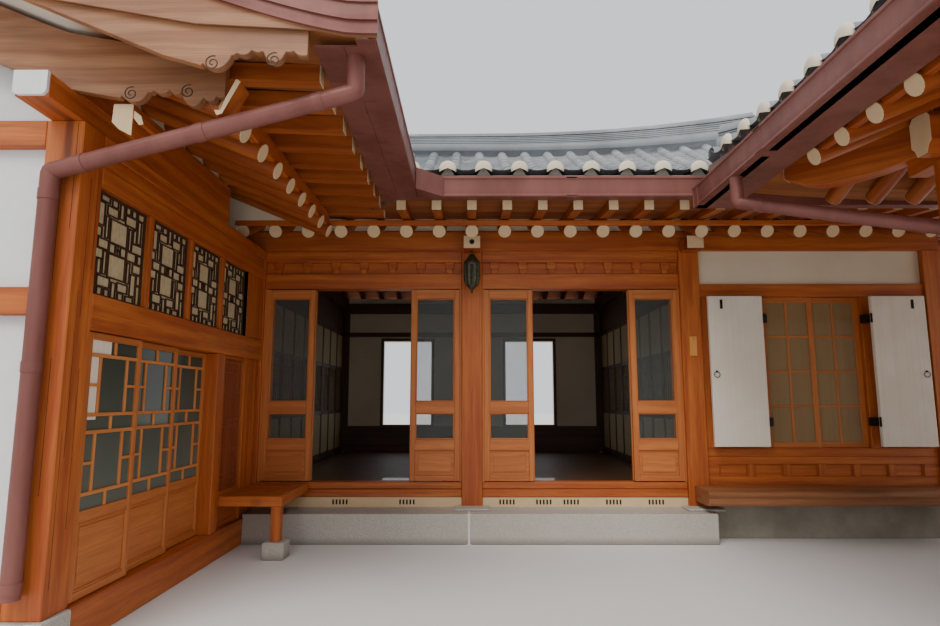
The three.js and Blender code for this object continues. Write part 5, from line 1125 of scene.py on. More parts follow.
def frame_round(x0, z0, x1, z1, y0, y1, wide):
    """Four squared bars round an upright rectangle, the stiles running through."""
    return [
        [x0, y0, z0, x0 + wide, y1, z1],
        [x1 - wide, y0, z0, x1, y1, z1],
        [x0 + wide, y0, z0, x1 - wide, y1, z0 + wide],
        [x0 + wide, y0, z1 - wide, x1 - wide, y1, z1],
    ]


panel_low, panel_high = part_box("room_front_panel")
window_left, window_right, window_foot, window_head = WINDOW
x0, x1, panel_foot, panel_head = panel_low.x, panel_high.x, *FOOT_PANELS
room_bars = [
    [x0, -SILL_HALF, window_head, x1, 0.06, panel_high.z],
    [x0, -0.062, window_foot - 0.09, x1, 0.06, window_foot],
    [x0, -0.06, panel_low.z, x1, 0.06, panel_foot],
    [x0, -0.06, panel_head, x1, 0.06, window_foot - 0.09],
    [x0, -0.06, window_foot, x0 + 0.09, 0.06, window_head],
    [x1 - 0.09, -0.06, window_foot, x1, 0.06, window_head],
    [window_left - 0.1, -0.06, window_foot, window_left, 0.06, window_head],
    [window_right, -0.06, window_foot, window_right + 0.1, 0.06, window_head],
    [x0 + 0.09, -0.03, window_foot, window_left - 0.1, 0.04, window_head],
    [window_right + 0.1, -0.03, window_foot, x1 - 0.09, 0.04, window_head],
    [x0, -0.035, panel_foot, x1, 0.05, panel_head],
]
PANEL_PITCH, PANEL_WIDE = 0.375, 0.305
panel_starts = [2.644 + PANEL_PITCH * k for k in range(6)]
bar_edges = [x0, *[x + share for x in panel_starts for share in (0, PANEL_WIDE)], x1]
for left, right in zip(bar_edges[::2], bar_edges[1::2]):
    room_bars.append([left, -0.06, panel_foot, right, 0.05, panel_head])
for left in panel_starts:
    room_bars += frame_round(left, panel_foot, left + PANEL_WIDE, panel_head, -0.05, -0.03, 0.012)
piece("room_wall_timbers", [squared(room_bars, 31)], pine, "room_front_panel", chamfer=0.004)
upper_low, upper_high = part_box("room_upper_plaster")
upper_field = squared([[*upper_low, *upper_high]])
piece("room_plaster_field", [upper_field], plaster, "room_upper_plaster")
sash_low, sash_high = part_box("room_window_sashes")
sash_bars, sash_panes = [], []
middle = (sash_low.x + sash_high.x) / 2
for left, right, front in ((sash_low.x, middle + 0.03, -0.03), (middle - 0.03, sash_high.x, -0.006)):
    back = front + 0.02
    sash_bars += frame_round(left, sash_low.z, right, sash_high.z, front, back, 0.06)
    inner = (left + 0.06, right - 0.06)
    heart = (inner[0] + inner[1]) / 2
    sash_bars.append(
        [heart - 0.012, front + 0.002, sash_low.z + 0.06, heart + 0.012, back, sash_high.z - 0.06]
    )
    for z in np.linspace(sash_low.z + 0.06, sash_high.z - 0.06, 5)[1:-1]:
        sash_bars.append([inner[0], front + 0.003, z - 0.011, inner[1], back, z + 0.011])
    sash_panes.append(
        [inner[0], front + 0.011, sash_low.z + 0.05, inner[1], front + 0.015, sash_high.z - 0.05]
    )
piece("room_sash_bars", [squared(sash_bars, 32)], leaf_pine, "room_window_sashes", chamfer=0.003)


def dim_room_glass(start):
    """Old glass with the dim papered room behind it painted in as shade: warm and nearly opaque, with soft
    vertical folds.
    """
    where = place_on(start)
    folds = where.stretched((9.0, 9.0, 0.5)).clouds(1.0, 2.0)
    return {
        "Base Color": folds.blend((0.21, 0.135, 0.062), (0.34, 0.225, 0.11)),
        "Roughness": 0.05 + 0.1 * folds
    }


dim_glass = finish("dim_window_glass", dim_room_glass)
piece("room_panes", [squared(sash_panes)], dim_glass)


# Shutters
# Two light shutters covered in white paper stand folded back on iron hinges. Each has a catch near
# its head, and a ring to pull it shut.


def mulberry_paper(start):
    where = place_on(start)
    fibres = where.stretched((90.0, 90.0, 12.0)).clouds(1.0, 4.0)
    ribs = where.stretched((70.0, 70.0, 0.2)).clouds(1.0, 1.0)
    darkening = where.clouds(2.0, 4.0)
    tone = darkening.between(0.3, 0.7).blend((0.86, 0.79, 0.68), (0.78, 0.70, 0.58))
    return {
        "Base Color": (ribs.between(0.45, 0.7) * 0.35).blend(tone, (0.70, 0.62, 0.50)),
        "height": 0.0003 * fibres + 0.0005 * ribs,
    }


paper = finish("mulberry_paper", mulberry_paper, Roughness=0.85)
iron = mottled(
    "black_iron", (0.012, 0.011, 0.010), (0.05, 0.035, 0.024), (60.0, 4.0), (0.4, 0.7),
    rough=(0.4, 0.25, 60.0, 4.0), Metallic=0.75,
)


def coil(centre, radius, thick, turns=1, shrink=0.0, start=0.0, wind=1, around=24, sides=8):
    """A round bar bent about a level line: a small circle carried round a large one, whose radius
    shrinks evenly by the given share over the turns."""
    bend = np.linspace(0, 2 * math.pi * turns, around + 1)
    u, v = np.meshgrid(bend, np.linspace(0, 2 * math.pi, sides + 1), indexing="ij")
    flat = radius * (1 - shrink * u / bend[-1]) + thick * np.cos(v)
    points = np.stack([wind * flat * np.cos(u + start), thick * np.sin(v), flat * np.sin(u + start)], -1)
    return grids((points + np.asarray(centre))[None], wind < 0)


iron_parts = []
for side, left, right in (("left", 2.565, 3.15), ("right", 4.33, 4.915)):
    hinge, free, inward = (right, left, 1) if side == "left" else (left, right, -1)
    sheet = [[left + 0.004, -0.185, 0.934, right - 0.004, -0.139, 2.536]]
    edge = frame_round(left, 0.93, right, 2.54, -0.183, -0.141, 0.01)
    piece(f"shutter_{side}_paper", [squared(sheet, 3)], paper, f"shutter_{side}", chamfer=0.003)
    piece(f"shutter_{side}_edges", [squared(edge, 33)], paper, chamfer=0.002)
    catch = free + inward * 0.14
    iron_rows = [
        [catch - 0.014, -0.19, 2.40, catch + 0.014, -0.184, 2.5],
        [catch - 0.008, -0.199, 2.43, catch + 0.008, -0.188, 2.45],
    ]
    strap, pin = sorted((hinge, hinge + inward * 0.06)), hinge + inward * 0.012
    for z in (1.19, 2.3):
        iron_rows.append([strap[0], -0.146, z - 0.045, strap[1], -0.061, z + 0.045])
        iron_parts.append(rods([[pin, -0.19, z - 0.05]], [[pin, -0.19, z + 0.05]], 0.011, 0.011))
    iron_parts.append(squared(iron_rows, 34))
    handle = free + inward * 0.055
    iron_parts.append(coil((handle, -0.193, 1.69), 0.03, 0.0035))
    iron_parts.append(rods([[handle, -0.184, 1.722]], [[handle, -0.2, 1.722]], 0.012, 0.008))
piece("shutter_ironwork", iron_parts, iron)


# Room bench and plaque
# A narrow step of old pine runs below the window, its front rounded over. A short post holds its
# end before a rendered base. A small blank tablet of new wood hangs on the post beside it.


def quarter(centre, radius, start, end, count=5):
    """Points of an arc in a plane, from one angle to another."""
    turn = np.linspace(math.radians(start), math.radians(end), count)
    return [(centre[0] + radius * math.cos(t), centre[1] + radius * math.sin(t)) for t in turn]


worn_pine = oiled_pine("worn_bench_pine", (0.36, 0.145, 0.055), (0.21, 0.075, 0.025), (0.27, 0.10, 0.035))
bench_low, bench_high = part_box("room_bench")
top_z, foot_z = bench_high.z, 0.372
nose = [(-0.115, foot_z), (-0.44, foot_z)]
nose += quarter((-0.47, foot_z + 0.045), 0.045, 270, 135)
nose += quarter((-0.485, top_z - 0.038), 0.034, 215, 90)
nose += [(-0.115, top_z)]
bench_step = extruded(nose, 0, bench_low.x, bench_high.x, 35)
piece("room_bench_step", [bench_step], worn_pine, "room_bench", smooth=30)
render_coat = mottled(
    "cement_render", (0.34, 0.31, 0.25), (0.24, 0.215, 0.17), (2.6, 5.0), (0.3, 0.7),
    relief=((0.0009, 90.0, 3.0), (0.001, 2.6, 5.0)), Roughness=0.9,
)
base_wall, bench_post = [2.53, -0.16, 0.0, 4.99, -0.11, 0.37], [4.85, -0.475, 0.0, 4.94, -0.385, 0.385]
piece("room_base_wall", [squared([base_wall])], render_coat, chamfer=0.006)
piece("room_bench_posts", [squared([bench_post], 36)], pine, chamfer=0.005)
new_wood = oiled_pine(
    "tablet_wood", (0.75, 0.36, 0.09), (0.62, 0.25, 0.05), (0.68, 0.30, 0.07), Roughness=0.35
)
tablet = [[2.365, -0.128, 1.893, 2.445, -0.1105, 2.105]]
piece("post_tablet", [squared(tablet, 37)], new_wood, chamfer=0.003)


# Court wall of the wing
# Three bays' length of pine wall on the left: posts and broad beams, with a door opening below and
# a band of transoms above. The sun reaches its corner post, which has dried in long cracks; their
# darkness is painted shadow.

court_low, court_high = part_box("wing_court_frame")
POST_SOUTH, POST_NORTH = -3.41, -3.19
WALL_NORTH = -0.11
DOORS_HEAD = 1.84
TRANSOM_FOOT, TRANSOM_HEAD = 2.06, 2.73
MULLION = (-1.25, -1.09)
PLATE_FOOT, PLATE_HEAD = 3.06, 3.2
face_x, back_x = court_high.x, court_low.x


def wing_rafter_bottom(x):
    return WING_TIP_Z + RAFTER_SLOPE * (WING_TIP_X - x) - RAFTER_RISE - 0.0003


court_rows = [
    [back_x, POST_SOUTH, WING_TOP, face_x, POST_NORTH, PLATE_FOOT],
    [back_x, POST_NORTH, 0, face_x, WALL_NORTH, WING_TOP],
    [back_x, POST_NORTH, WING_TOP, face_x - 0.02, POST_NORTH + 0.04, DOORS_HEAD],
    [back_x, MULLION[0], WING_TOP, face_x - 0.005, MULLION[1], DOORS_HEAD],
    [back_x, POST_NORTH, DOORS_HEAD, face_x, WALL_NORTH, TRANSOM_FOOT],
    [back_x, -0.59, TRANSOM_FOOT, face_x - 0.012, WALL_NORTH, TRANSOM_HEAD],
    [back_x, POST_NORTH, TRANSOM_HEAD, face_x, WALL_NORTH, 2.86],
    [back_x + 0.02, POST_NORTH, 2.86, face_x - 0.015, WALL_NORTH, 2.96],
    [back_x, POST_NORTH, 2.96, face_x, WALL_NORTH, PLATE_FOOT],
]
plate_x = (back_x + 0.015, face_x - 0.015)
PURLIN_NORTH = -1.15
plate = [[plate_x[0], court_low.y + 0.02, PLATE_FOOT, plate_x[1], PURLIN_NORTH, PLATE_HEAD]]
court_purlin = extruded(purlin_outline(*plate_x, PLATE_HEAD, wing_rafter_bottom), 1, -3.45, PURLIN_NORTH)
court_timbers = [squared(court_rows, 41), squared(plate, 42), court_purlin]
piece("wing_court_timbers", court_timbers, pine, "wing_court_frame", chamfer=0.006)
WHITE = ((0.78, 0.79, 0.80), (0.68, 0.68, 0.67), (14.0, 4.0))
end_white = mottled("white_end_paint", *WHITE, Roughness=0.6)
CAP_CORNER = 0.03
cap_left, cap_right, cap_foot = plate_x[0] + 0.002, plate_x[1] - 0.002, PLATE_FOOT + 0.002
cap_outline = [
    (cap_left, PLATE_HEAD), (cap_left, cap_foot + CAP_CORNER),
    *quarter((cap_left + CAP_CORNER, cap_foot + CAP_CORNER), CAP_CORNER, 180, 270),
    *quarter((cap_right - CAP_CORNER, cap_foot + CAP_CORNER), CAP_CORNER, 270, 360),
    (cap_right, PLATE_HEAD),
]
piece(
    "plate_end_paint", [extruded(cap_outline, 1, court_low.y, court_low.y + 0.021)], end_white,
)
# The cracks are thin strips of painted shadow on the post's two faces.
CRACK_Z = ((0.4, 1.25), (1.1, 2.05), (1.9, 2.75), (0.7, 1.6), (2.2, 3.0))
crack_rows = []
for index, (foot, head) in enumerate(CRACK_Z):
    y, x = -3.37 + 0.035 * index, -2.47 + 0.036 * index
    crack_rows.append([face_x - 0.01, y, foot, face_x + 0.0006, y + 0.003, head])
    crack_rows.append([x, POST_SOUTH - 0.0006, foot + 0.2, x + 0.003, POST_SOUTH + 0.01, head + 0.05])
piece("corner_post_cracks", [squared(crack_rows)], shadow)


# Transoms of the wing
# Four panels of dark lattice over cream paper. Two square panes stand one above the other in each,
# and the bars turn about them like a pinwheel.

TRANSOM_PITCH = 0.66
TRANSOM_X = (-2.348, -2.337)
LATTICE_BAR = 0.008
HALF_CELLS = np.array([
    (0.34, 0.205, 0.66, 0.435), (0.34, 0.457, 0.44, 0.543), (0.465, 0.457, 0.5, 0.5), (0.1, 0.08, 0.2, 0.3),
    (0.0, 0.0, 0.07, 0.19), (0.26, 0.085, 0.46, 0.165), (0.0, 0.335, 0.17, 0.42), (0.13, 0.445, 0.31, 0.53),
    (0.0, 0.55, 0.22, 0.64), (0.24, 0.2, 0.29, 0.41), (0.71, 0.22, 0.76, 0.44), (0.62, 0.09, 0.84, 0.18),
    (0.5, 0.0, 0.57, 0.15), (0.62, 0.0, 0.7, 0.06), (0.89, 0.09, 0.95, 0.33), (0.8, 0.21, 0.86, 0.35),
    (0.13, 0.0, 0.28, 0.05), (0.34, 0.0, 0.44, 0.06), (0.75, 0.0, 0.83, 0.065), (0.88, 0.0, 1.0, 0.065),
    (0.0, 0.22, 0.07, 0.31), (0.0, 0.445, 0.08, 0.53),
])


def pinwheel(y0, z0, y1, z1, x0, x1):
    """Bars round every open cell of a panel. The upper half's cells are listed as shares of width
    and of depth from the top, and the same cells turned half round the centre make the lower."""
    cells = np.concatenate([HALF_CELLS, 1 - HALF_CELLS[:, [2, 3, 0, 1]]])
    south, north = y0 + (y1 - y0) * cells[:, 0], y0 + (y1 - y0) * cells[:, 2]
    high, low = z1 - (z1 - z0) * cells[:, 1], z1 - (z1 - z0) * cells[:, 3]
    bar = LATTICE_BAR
    sides = [
        (south - bar, low - bar, north + bar, low), (south - bar, high, north + bar, high + bar),
        (south - bar, low, south, high), (north, low, north + bar, high),
    ]
    bars = [np.stack([x0 + 0 * a, a, b, x1 + 0 * a, c, d], 1) for a, b, c, d in sides]
    bars = np.concatenate(bars)
    bars[:, [1, 4]] = np.clip(bars[:, [1, 4]], y0, y1)
    bars[:, [2, 5]] = np.clip(bars[:, [2, 5]], z0, z1)
    return bars[(bars[:, 4] - bars[:, 1] > 1e-4) & (bars[:, 5] - bars[:, 2] > 1e-4)]


def aged_paper(start):
    where = place_on(start)
    fibres = where.stretched((60.0, 60.0, 20.0)).clouds(1.0, 4.0)
    return {"Base Color": fibres.between(0.3, 0.7).blend((0.60, 0.50, 0.30), (0.47, 0.38, 0.21))}


cream_paper = finish("aged_paper", aged_paper, Roughness=0.85)
# Near-black stained pine for the transom lattice. The bargeboards' spiral grooves use it too, as painted
# shade.
dark_stain_and_groove_shade = oiled_pine("dark_stained_pine_and_groove_shade", (0.075, 0.033, 0.016), (0.035, 0.015, 0.008), (0.05, 0.02, 0.01))
transom_bars, transom_edges, transom_papers, transom_stiles = [], [], [], []
edge_x = (TRANSOM_X[0], TRANSOM_X[1] + 0.004)
for index in range(4):
    south = POST_NORTH + TRANSOM_PITCH * index + (0.02 if index else 0.0)
    north = POST_NORTH + TRANSOM_PITCH * (index + 1) - 0.04
    inner = (south + 0.016, TRANSOM_FOOT + 0.018, north - 0.016, TRANSOM_HEAD - 0.018)
    transom_bars.append(pinwheel(*inner, *TRANSOM_X))
    edge_foot, edge_head = TRANSOM_FOOT + 0.002, TRANSOM_HEAD - 0.002
    transom_edges += [[edge_x[0], a, b, edge_x[1], c, d] for a, b, c, d in (
        (south, edge_foot, inner[0], edge_head), (inner[2], edge_foot, north, edge_head),
        (inner[0], edge_foot, inner[2], inner[1]), (inner[0], inner[3], inner[2], edge_head),
    )]
    transom_papers.append([-2.35, inner[0], inner[1], -2.346, inner[2], inner[3]])
    stile_end = north + 0.06 if index < 3 else -0.59
    transom_stiles.append([back_x, north, TRANSOM_FOOT, face_x - 0.012, stile_end, TRANSOM_HEAD])
lattice = [squared(np.concatenate(transom_bars), 43), squared(transom_edges, 44)]
piece("transom_lattice", lattice, dark_stain_and_groove_shade, "wing_transoms")
piece("transom_paper", [squared(transom_papers)], cream_paper)
piece("transom_stiles", [squared(transom_stiles, 45)], pine, chamfer=0.005)


# Doors of the wing
# Three leaves run behind one another. Light pine bars part the glass into tall middle panes with
# low ones above, between and below them; a raised panel fills the foot of each leaf.

WING_LEAF = 0.6233
STILE_WING = 0.048
LATTICE_FOOT, LATTICE_HEAD = 0.765, 1.79
LOW_PANE, TALL_PANE, LEAF_BAR = 0.083, 0.343, 0.0225
FOOT_FIELD = (0.305, 0.70)
bar_pine = oiled_pine("lattice_bar_pine", (0.70, 0.27, 0.07), (0.55, 0.18, 0.04), (0.60, 0.21, 0.05))


def shaded_glass(start):
    """Glass with the dim room behind it painted in as shade: dark grey-green, a little paler towards the
    foot.
    """
    where = place_on(start)
    height = where.upward().between(0.7, 1.8)
    cloud = where.clouds(2.0, 3.0)
    return {
        "Base Color": height.blend((0.13, 0.145, 0.12), (0.055, 0.065, 0.05)),
        "Roughness": 0.04 + 0.1 * cloud,
    }


green_glass = finish("dim_green_glass", shaded_glass, Specular_IOR_Level=0.16)


def lattice_leaf(front, south, foot, head):
    """Rows of one leaf: its frame and foot panel, its glazing bars, and its sheet of glass."""
    back, north = front - 0.034, south + WING_LEAF
    inner, outer = south + STILE_WING, north - STILE_WING
    frame_rows = [
        [back, south, foot, front, inner, head],
        [back, outer, foot, front, north, head],
        [back, inner, LATTICE_HEAD, front, outer, head],
        [back, inner, FOOT_FIELD[1], front, outer, LATTICE_FOOT],
        [back, inner, foot, front, outer, FOOT_FIELD[0]],
        [back + 0.012, inner, FOOT_FIELD[0], front - 0.012, outer, FOOT_FIELD[1]],
        [back + 0.006, inner + 0.03, FOOT_FIELD[0] + 0.03, front - 0.005, outer - 0.03, FOOT_FIELD[1] - 0.03],
    ]
    bead = front - 0.007
    for y0, y1, z0, z1 in (
        (inner, outer, FOOT_FIELD[0], FOOT_FIELD[0] + 0.012), (
            inner, outer, FOOT_FIELD[1] - 0.012, FOOT_FIELD[1]
        ),
        (inner, inner + 0.012, *FOOT_FIELD), (outer - 0.012, outer, *FOOT_FIELD),
    ):
        frame_rows.append([back + 0.01, y0, z0, bead + 0.004, y1, z1])
    rows = np.cumsum(
        [LATTICE_FOOT, LOW_PANE, LEAF_BAR, TALL_PANE, LEAF_BAR, LOW_PANE, LEAF_BAR, TALL_PANE, LEAF_BAR]
    )
    bars = []
    middle, half = (inner + outer) / 2, LEAF_BAR / 2
    for low in rows[1::2]:
        bars.append([back + 0.006, inner, low, front - 0.003, outer, low + LEAF_BAR])
    for low in rows[[0, 4, 8]]:
        bars.append([back + 0.006, middle - half, low, front - 0.004, middle + half, low + LOW_PANE])
    wide = outer - inner
    for low in rows[[2, 6]]:
        for share in (0.18, 0.76):
            start = inner + share * wide
            bars.append([back + 0.006, start, low, front - 0.004, start + LEAF_BAR, low + TALL_PANE])
        split = low + 0.47 * TALL_PANE
        bars.append([back + 0.006, inner, split, front - 0.005, inner + 0.18 * wide, split + 0.018])
        bars.append(
            [back + 0.006, inner + 0.76 * wide + LEAF_BAR, split, front - 0.005, outer, split + 0.018]
        )
    sheet = [
        (front + back) / 2 - 0.002, inner - 0.01, LATTICE_FOOT, (front + back) / 2 + 0.002, outer + 0.01,
        LATTICE_HEAD,
    ]
    return frame_rows, bars, sheet


for leaf in ("south", "middle", "north"):
    node, body = f"wing_door_{leaf}", f"wing_{leaf}_leaf"
    low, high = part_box(node)
    frame_rows, bars, sheet = lattice_leaf(high.x, low.y, 0.256, high.z)
    for start in (low.y + 0.08, high.y - 0.12):
        frame_rows.append([low.x + 0.007, start, low.z, high.x - 0.007, start + 0.04, 0.258])
    piece(f"{node}_frame", [squared(frame_rows, 46)], leaf_pine, node, body=body, chamfer=0.003)
    piece(f"{node}_bars", [squared(bars, 47)], bar_pine, body=body, chamfer=0.002)
    piece(f"{node}_glass", [squared([sheet])], green_glass, body=body)
    if leaf == "south":
        blind_x = (low.x + high.x) / 2 + 0.0022
        blind = [
            [blind_x, low.y + 0.05, 1.3, blind_x + 0.001, low.y + 0.155, 1.685],
            [blind_x, low.y + 0.05, 1.705, blind_x + 0.001, low.y + 0.27, LATTICE_HEAD],
        ]
        piece("wing_door_blind", [squared(blind)], paper, body=body)


# Corner panel of the wing
# Between the doors and the hall a panel of fine red lattice fills the wall above a low board, and
# upright boards close the corner.

panel_low, panel_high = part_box("wing_corner_panel")
y0, y1, z0, z1 = -1.09, -0.5, 0.56, DOORS_HEAD
board_cuts = np.linspace(y1, panel_high.y, 5)
corner_rows = [
    *[
        [panel_low.x, a + 0.001, panel_low.z, panel_high.x, b - 0.001, panel_high.z]
        for a, b in zip(board_cuts, board_cuts[1:])
    ],
    [-2.42, y0, panel_low.z, -2.35, y1, z0], [-2.4, y0, panel_low.z, -2.342, y1, panel_low.z + 0.05],
    [-2.4, y0, z0 - 0.035, -2.336, y1, z0 + 0.02], [-2.4, y0, z1 - 0.03, -2.336, y1, z1],
    [-2.4, y0, z0, -2.336, y0 + 0.025, z1], [-2.4, y1 - 0.025, z0, -2.336, y1, z1],
]
piece("corner_boards", [squared(corner_rows, 48)], pine, "wing_corner_panel", chamfer=0.003)
CROSS_BANDS = (0.63, 0.68, 0.73, 0.92, 0.96, 1.0, 1.17, 1.21, 1.25, 1.42, 1.46, 1.5, 1.68, 1.73, 1.78)
mesh_rows = [[-2.37, y - 0.005, z0, -2.344, y + 0.005, z1] for y in np.linspace(y0, y1, 14)[1:-1]]
mesh_rows += [[-2.366, y0, z - 0.005, -2.348, y1, z + 0.005] for z in CROSS_BANDS]
red_pine = oiled_pine("red_lattice_pine", (0.42, 0.10, 0.03), (0.27, 0.055, 0.016), (0.33, 0.07, 0.02))
piece("corner_lattice", [squared(mesh_rows, 49)], red_pine)
piece("corner_lattice_back", [squared([[-2.385, y0, z0, -2.38, y1, z1]])], red_pine)


# Corner bench
# A broad seat of three boards with a thick edge fills the corner before the hall. Its one leg
# stands on a white block.

seat_low, seat_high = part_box("corner_bench")
SEAT_FOOT, EDGE_FOOT, EDGE = 0.515, 0.46, 0.045
(x0, y0, z0), (x1, y1, z1) = seat_low, seat_high
seat_cuts = np.linspace(y0 + EDGE, y1, 4)
seat_rows = [
    *[
        [face_x, a + 0.001, SEAT_FOOT, x1 - EDGE, b - 0.001, z1 - 0.001]
        for a, b in zip(seat_cuts, seat_cuts[1:])
    ],
    [x0, y0 + EDGE, SEAT_FOOT, face_x, y1, z1 - 0.002], [x0, y0, EDGE_FOOT, x1, y0 + EDGE, z1],
    [x1 - EDGE, y0 + EDGE, EDGE_FOOT, x1, y1, z1], [face_x, -0.6, 0.43, x1 - EDGE, -0.54, SEAT_FOOT],
    [-1.83, -1.04, z0, -1.74, -0.95, SEAT_FOOT],
]
piece("corner_bench_boards", [squared(seat_rows, 51)], pine, "corner_bench", chamfer=0.005)


# Lantern and beam-end fitting
# A small hanging lantern of green bronze, its sides ribbed, hangs below the middle beam end. A
# round iron fitting is nailed to the painted end above it.


def turned(profile, centre, around=32, rib=0.0, ribs=8):
    """A profile of radius and height turned about an upright line. The radius swells by rib times
    the cosine of ribs turns, to the fourth power, so that the ribs stand out narrow."""
    profile = np.asarray(profile, float)
    angle = np.linspace(0, 2 * math.pi, around + 1)
    swell = 1 + rib * np.cos(angle * ribs / 2) ** 4
    radius = profile[:, :1] * swell[None]
    points = np.stack([radius * np.cos(angle), radius * np.sin(angle), profile[:, 1:] + 0 * radius], -1)
    return grids((points + np.asarray(centre))[None], True)


bronze = mottled(
    "green_bronze", (0.11, 0.12, 0.075), (0.055, 0.045, 0.028), (45.0, 4.0), (0.35, 0.7),
    rough=(0.35, 0.3, 45.0, 4.0), relief=((0.0004, 45.0, 4.0),), Metallic=0.7,
)
LANTERN = (0, -0.245, 0)
cap = [
    (0.001, 3.034), (0.013, 3.034), (0.013, 2.992), (0.03, 2.985), (0.045, 2.962), (0.062, 2.935),
    (0.088, 2.905),
]
cap += [(0.092, 2.888), (0.084, 2.884), (0.08, 2.862), (0.001, 2.862)]
body_profile = [(0.001, 2.866), (0.078, 2.866), (0.08, 2.78), (0.073, 2.7), (0.058, 2.655), (0.001, 2.655)]
foot = [
    (0.001, 2.66), (0.062, 2.66), (0.064, 2.65), (0.05, 2.636), (0.034, 2.62), (0.018, 2.6), (0.009, 2.59),
]
foot += [(0.013, 2.578), (0.009, 2.566), (0.001, 2.56)]
lantern_parts = [turned(cap, LANTERN), turned(foot, LANTERN), turned(body_profile, LANTERN, 96, 0.14, 12)]
piece("lantern", lantern_parts, bronze, "post_lantern", smooth=35)
piece(
    "beam_end_fitting", [rods([[0, -0.352, 3.105]], [[0, -0.366, 3.105]], 0.028, 0.02)], iron,
    smooth=40
)


# Plaster between the rafters
# Above each wall plate the gaps between the poles are stopped with lime plaster up to the roof.

STOP_FRONT = 3.29
stop_rows = [
    [front_low.x, -0.03, STOP_FRONT, front_high.x, 0.06, 3.5],
    [-2.44, -3.44, 3.4, -2.34, PURLIN_NORTH, 3.56],
    [3.31, -7.3, 3.4, 3.41, -2.75, 3.56],
    [-2.45, -0.585, 3.27, -1.72, -0.565, 3.52],
    [-2.78, -0.585, 3.08, -2.45, -0.565, 3.52],
]
piece("rafter_gap_plaster", [squared(stop_rows)], plaster)


# Gutters
# Folded sheet-metal gutters hang along the court's eaves and meet in the valley. Each has a rolled
# lip and a bead at its foot; sleeves cover the joints, and flat soffits close the eave behind.


def painted_sheet(start):
    where = place_on(start)
    streak = where.stretched((2.0, 2.0, 0.6)).clouds(1.5, 4.0)
    dull = where.clouds(18.0, 4.0)
    return {
        "Base Color": streak.between(0.35, 0.7).blend((0.235, 0.085, 0.068), (0.17, 0.056, 0.043)),
        "Roughness": 0.36 + 0.3 * dull,
        "height": 0.0012 * streak,
    }


sheet_paint = finish(
    "red_brown_sheet", painted_sheet, Metallic=0.15, Coat_Weight=0.08, Specular_IOR_Level=0.35
)
COURT_GUTTER = (-0.6247, -0.5047, -1.0753, -1.1953)
GUTTER_FOOT, GUTTER_TOP = 3.33, 3.53
SOFFIT_WEST = -0.862


def gutter_outline(inner, outer, foot, top):
    """Section of a gutter: back wall at inner, bottom, and a front at outer with its lip and bead."""
    out = 1 if outer > inner else -1
    shape = [
        (0, 0), (0, -1), (0.004, -1), (0.004, 0.004), (0.097, 0.004), (0.104, 0.075), (0.1, 0.14),
        (0.098, 0.165), (0.104, 0.18), (0.113, 0.186), (0.117, 0.196), (0.108, 0.2), (0.116, 0.2),
        (0.12, 0.195), (0.12, 0.178), (0.112, 0.168), (0.107, 0.14), (0.11, 0.075), (0.106, 0.03),
        (0.112, 0.02), (0.112, 0.008), (0.104, 0.0),
    ]
    return [(inner + out * a, foot + (top - foot if b == -1 else b)) for a, b in shape]


def gutter_run(axis, inner, outer, foot, top, low, high, sleeves):
    """One straight gutter and its sleeves, each a slightly wider piece of the same section."""
    outline = gutter_outline(inner, outer, foot, top)
    parts = [extruded(outline, axis, low, high)]
    wider = gutter_outline(inner, outer + (0.004 if outer > inner else -0.004), foot - 0.004, top + 0.002)
    for place in sleeves:
        parts.append(extruded(wider, axis, place - 0.05, place + 0.05))
    return parts


west_x, east_x, wall_y, face_y = COURT_GUTTER
court_parts = gutter_run(
    0, wall_y, face_y, GUTTER_FOOT, GUTTER_TOP, west_x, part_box("court_gutter")[1].x, (0.95, 3.1, 5.2)
)
court_parts += gutter_run(
    1, west_x, east_x, GUTTER_FOOT, GUTTER_TOP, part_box("court_gutter")[0].y, wall_y, (-2.35,)
)
court_parts.append(
    squared([[west_x, face_y, GUTTER_FOOT - 0.002, east_x - 0.008, wall_y, GUTTER_FOOT + 0.006]])
)
court_parts.append(squared([[SOFFIT_WEST, -3.73, GUTTER_FOOT + 0.004, west_x, wall_y, GUTTER_FOOT + 0.012]]))
SEAM_X = SOFFIT_WEST + 0.165
for left, right, seams in (
    (SOFFIT_WEST, SEAM_X - 0.004, (-3.73, -3.36, -2.6, -1.98, -1.36, wall_y)),
    (SEAM_X, west_x, (-3.73, -3.1, -2.45, -1.9, wall_y)),
):
    sheets = [
        [left, a, GUTTER_FOOT - 0.001, right, b - 0.005, GUTTER_FOOT + 0.005]
        for a, b in zip(seams, seams[1:])
    ]
    court_parts.append(squared(sheets))
side_gutter_low, side_gutter_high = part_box("side_gutter")
SIDE_FOOT, SIDE_TOP = 3.18, 3.38
inner_x, inner_y = side_gutter_low.x + 0.12, side_gutter_high.y - 0.12
side_runs = gutter_run(
    1, inner_x, side_gutter_low.x, SIDE_FOOT, SIDE_TOP, side_gutter_low.y, side_gutter_high.y,
    (-2.6, -4.6, -6.6)
)
side_runs += gutter_run(
    0, inner_y, side_gutter_high.y, SIDE_FOOT, SIDE_TOP, side_gutter_low.x, side_gutter_high.x, (4.4,)
)
side_runs.append(
    squared(
        [
            [
                side_gutter_low.x + 0.06, side_gutter_low.y, SIDE_FOOT, SIDE_TIP_X - 0.04, inner_y,
                SIDE_FOOT + 0.012,
            ]
        ]
    )
)
VALLEY_CUT = 0.24
valley_plan = [
    (east_x - 0.006, face_y - VALLEY_CUT), (east_x + VALLEY_CUT, face_y + 0.006), (
        east_x - 0.006, face_y + 0.006
    ),
]
court_parts.append(extruded(valley_plan, 2, GUTTER_FOOT - 0.003, GUTTER_TOP - 0.004))
piece("court_gutters", court_parts, sheet_paint, "court_gutter", smooth=25)
piece("side_gutters", side_runs, sheet_paint, "side_gutter", smooth=25)


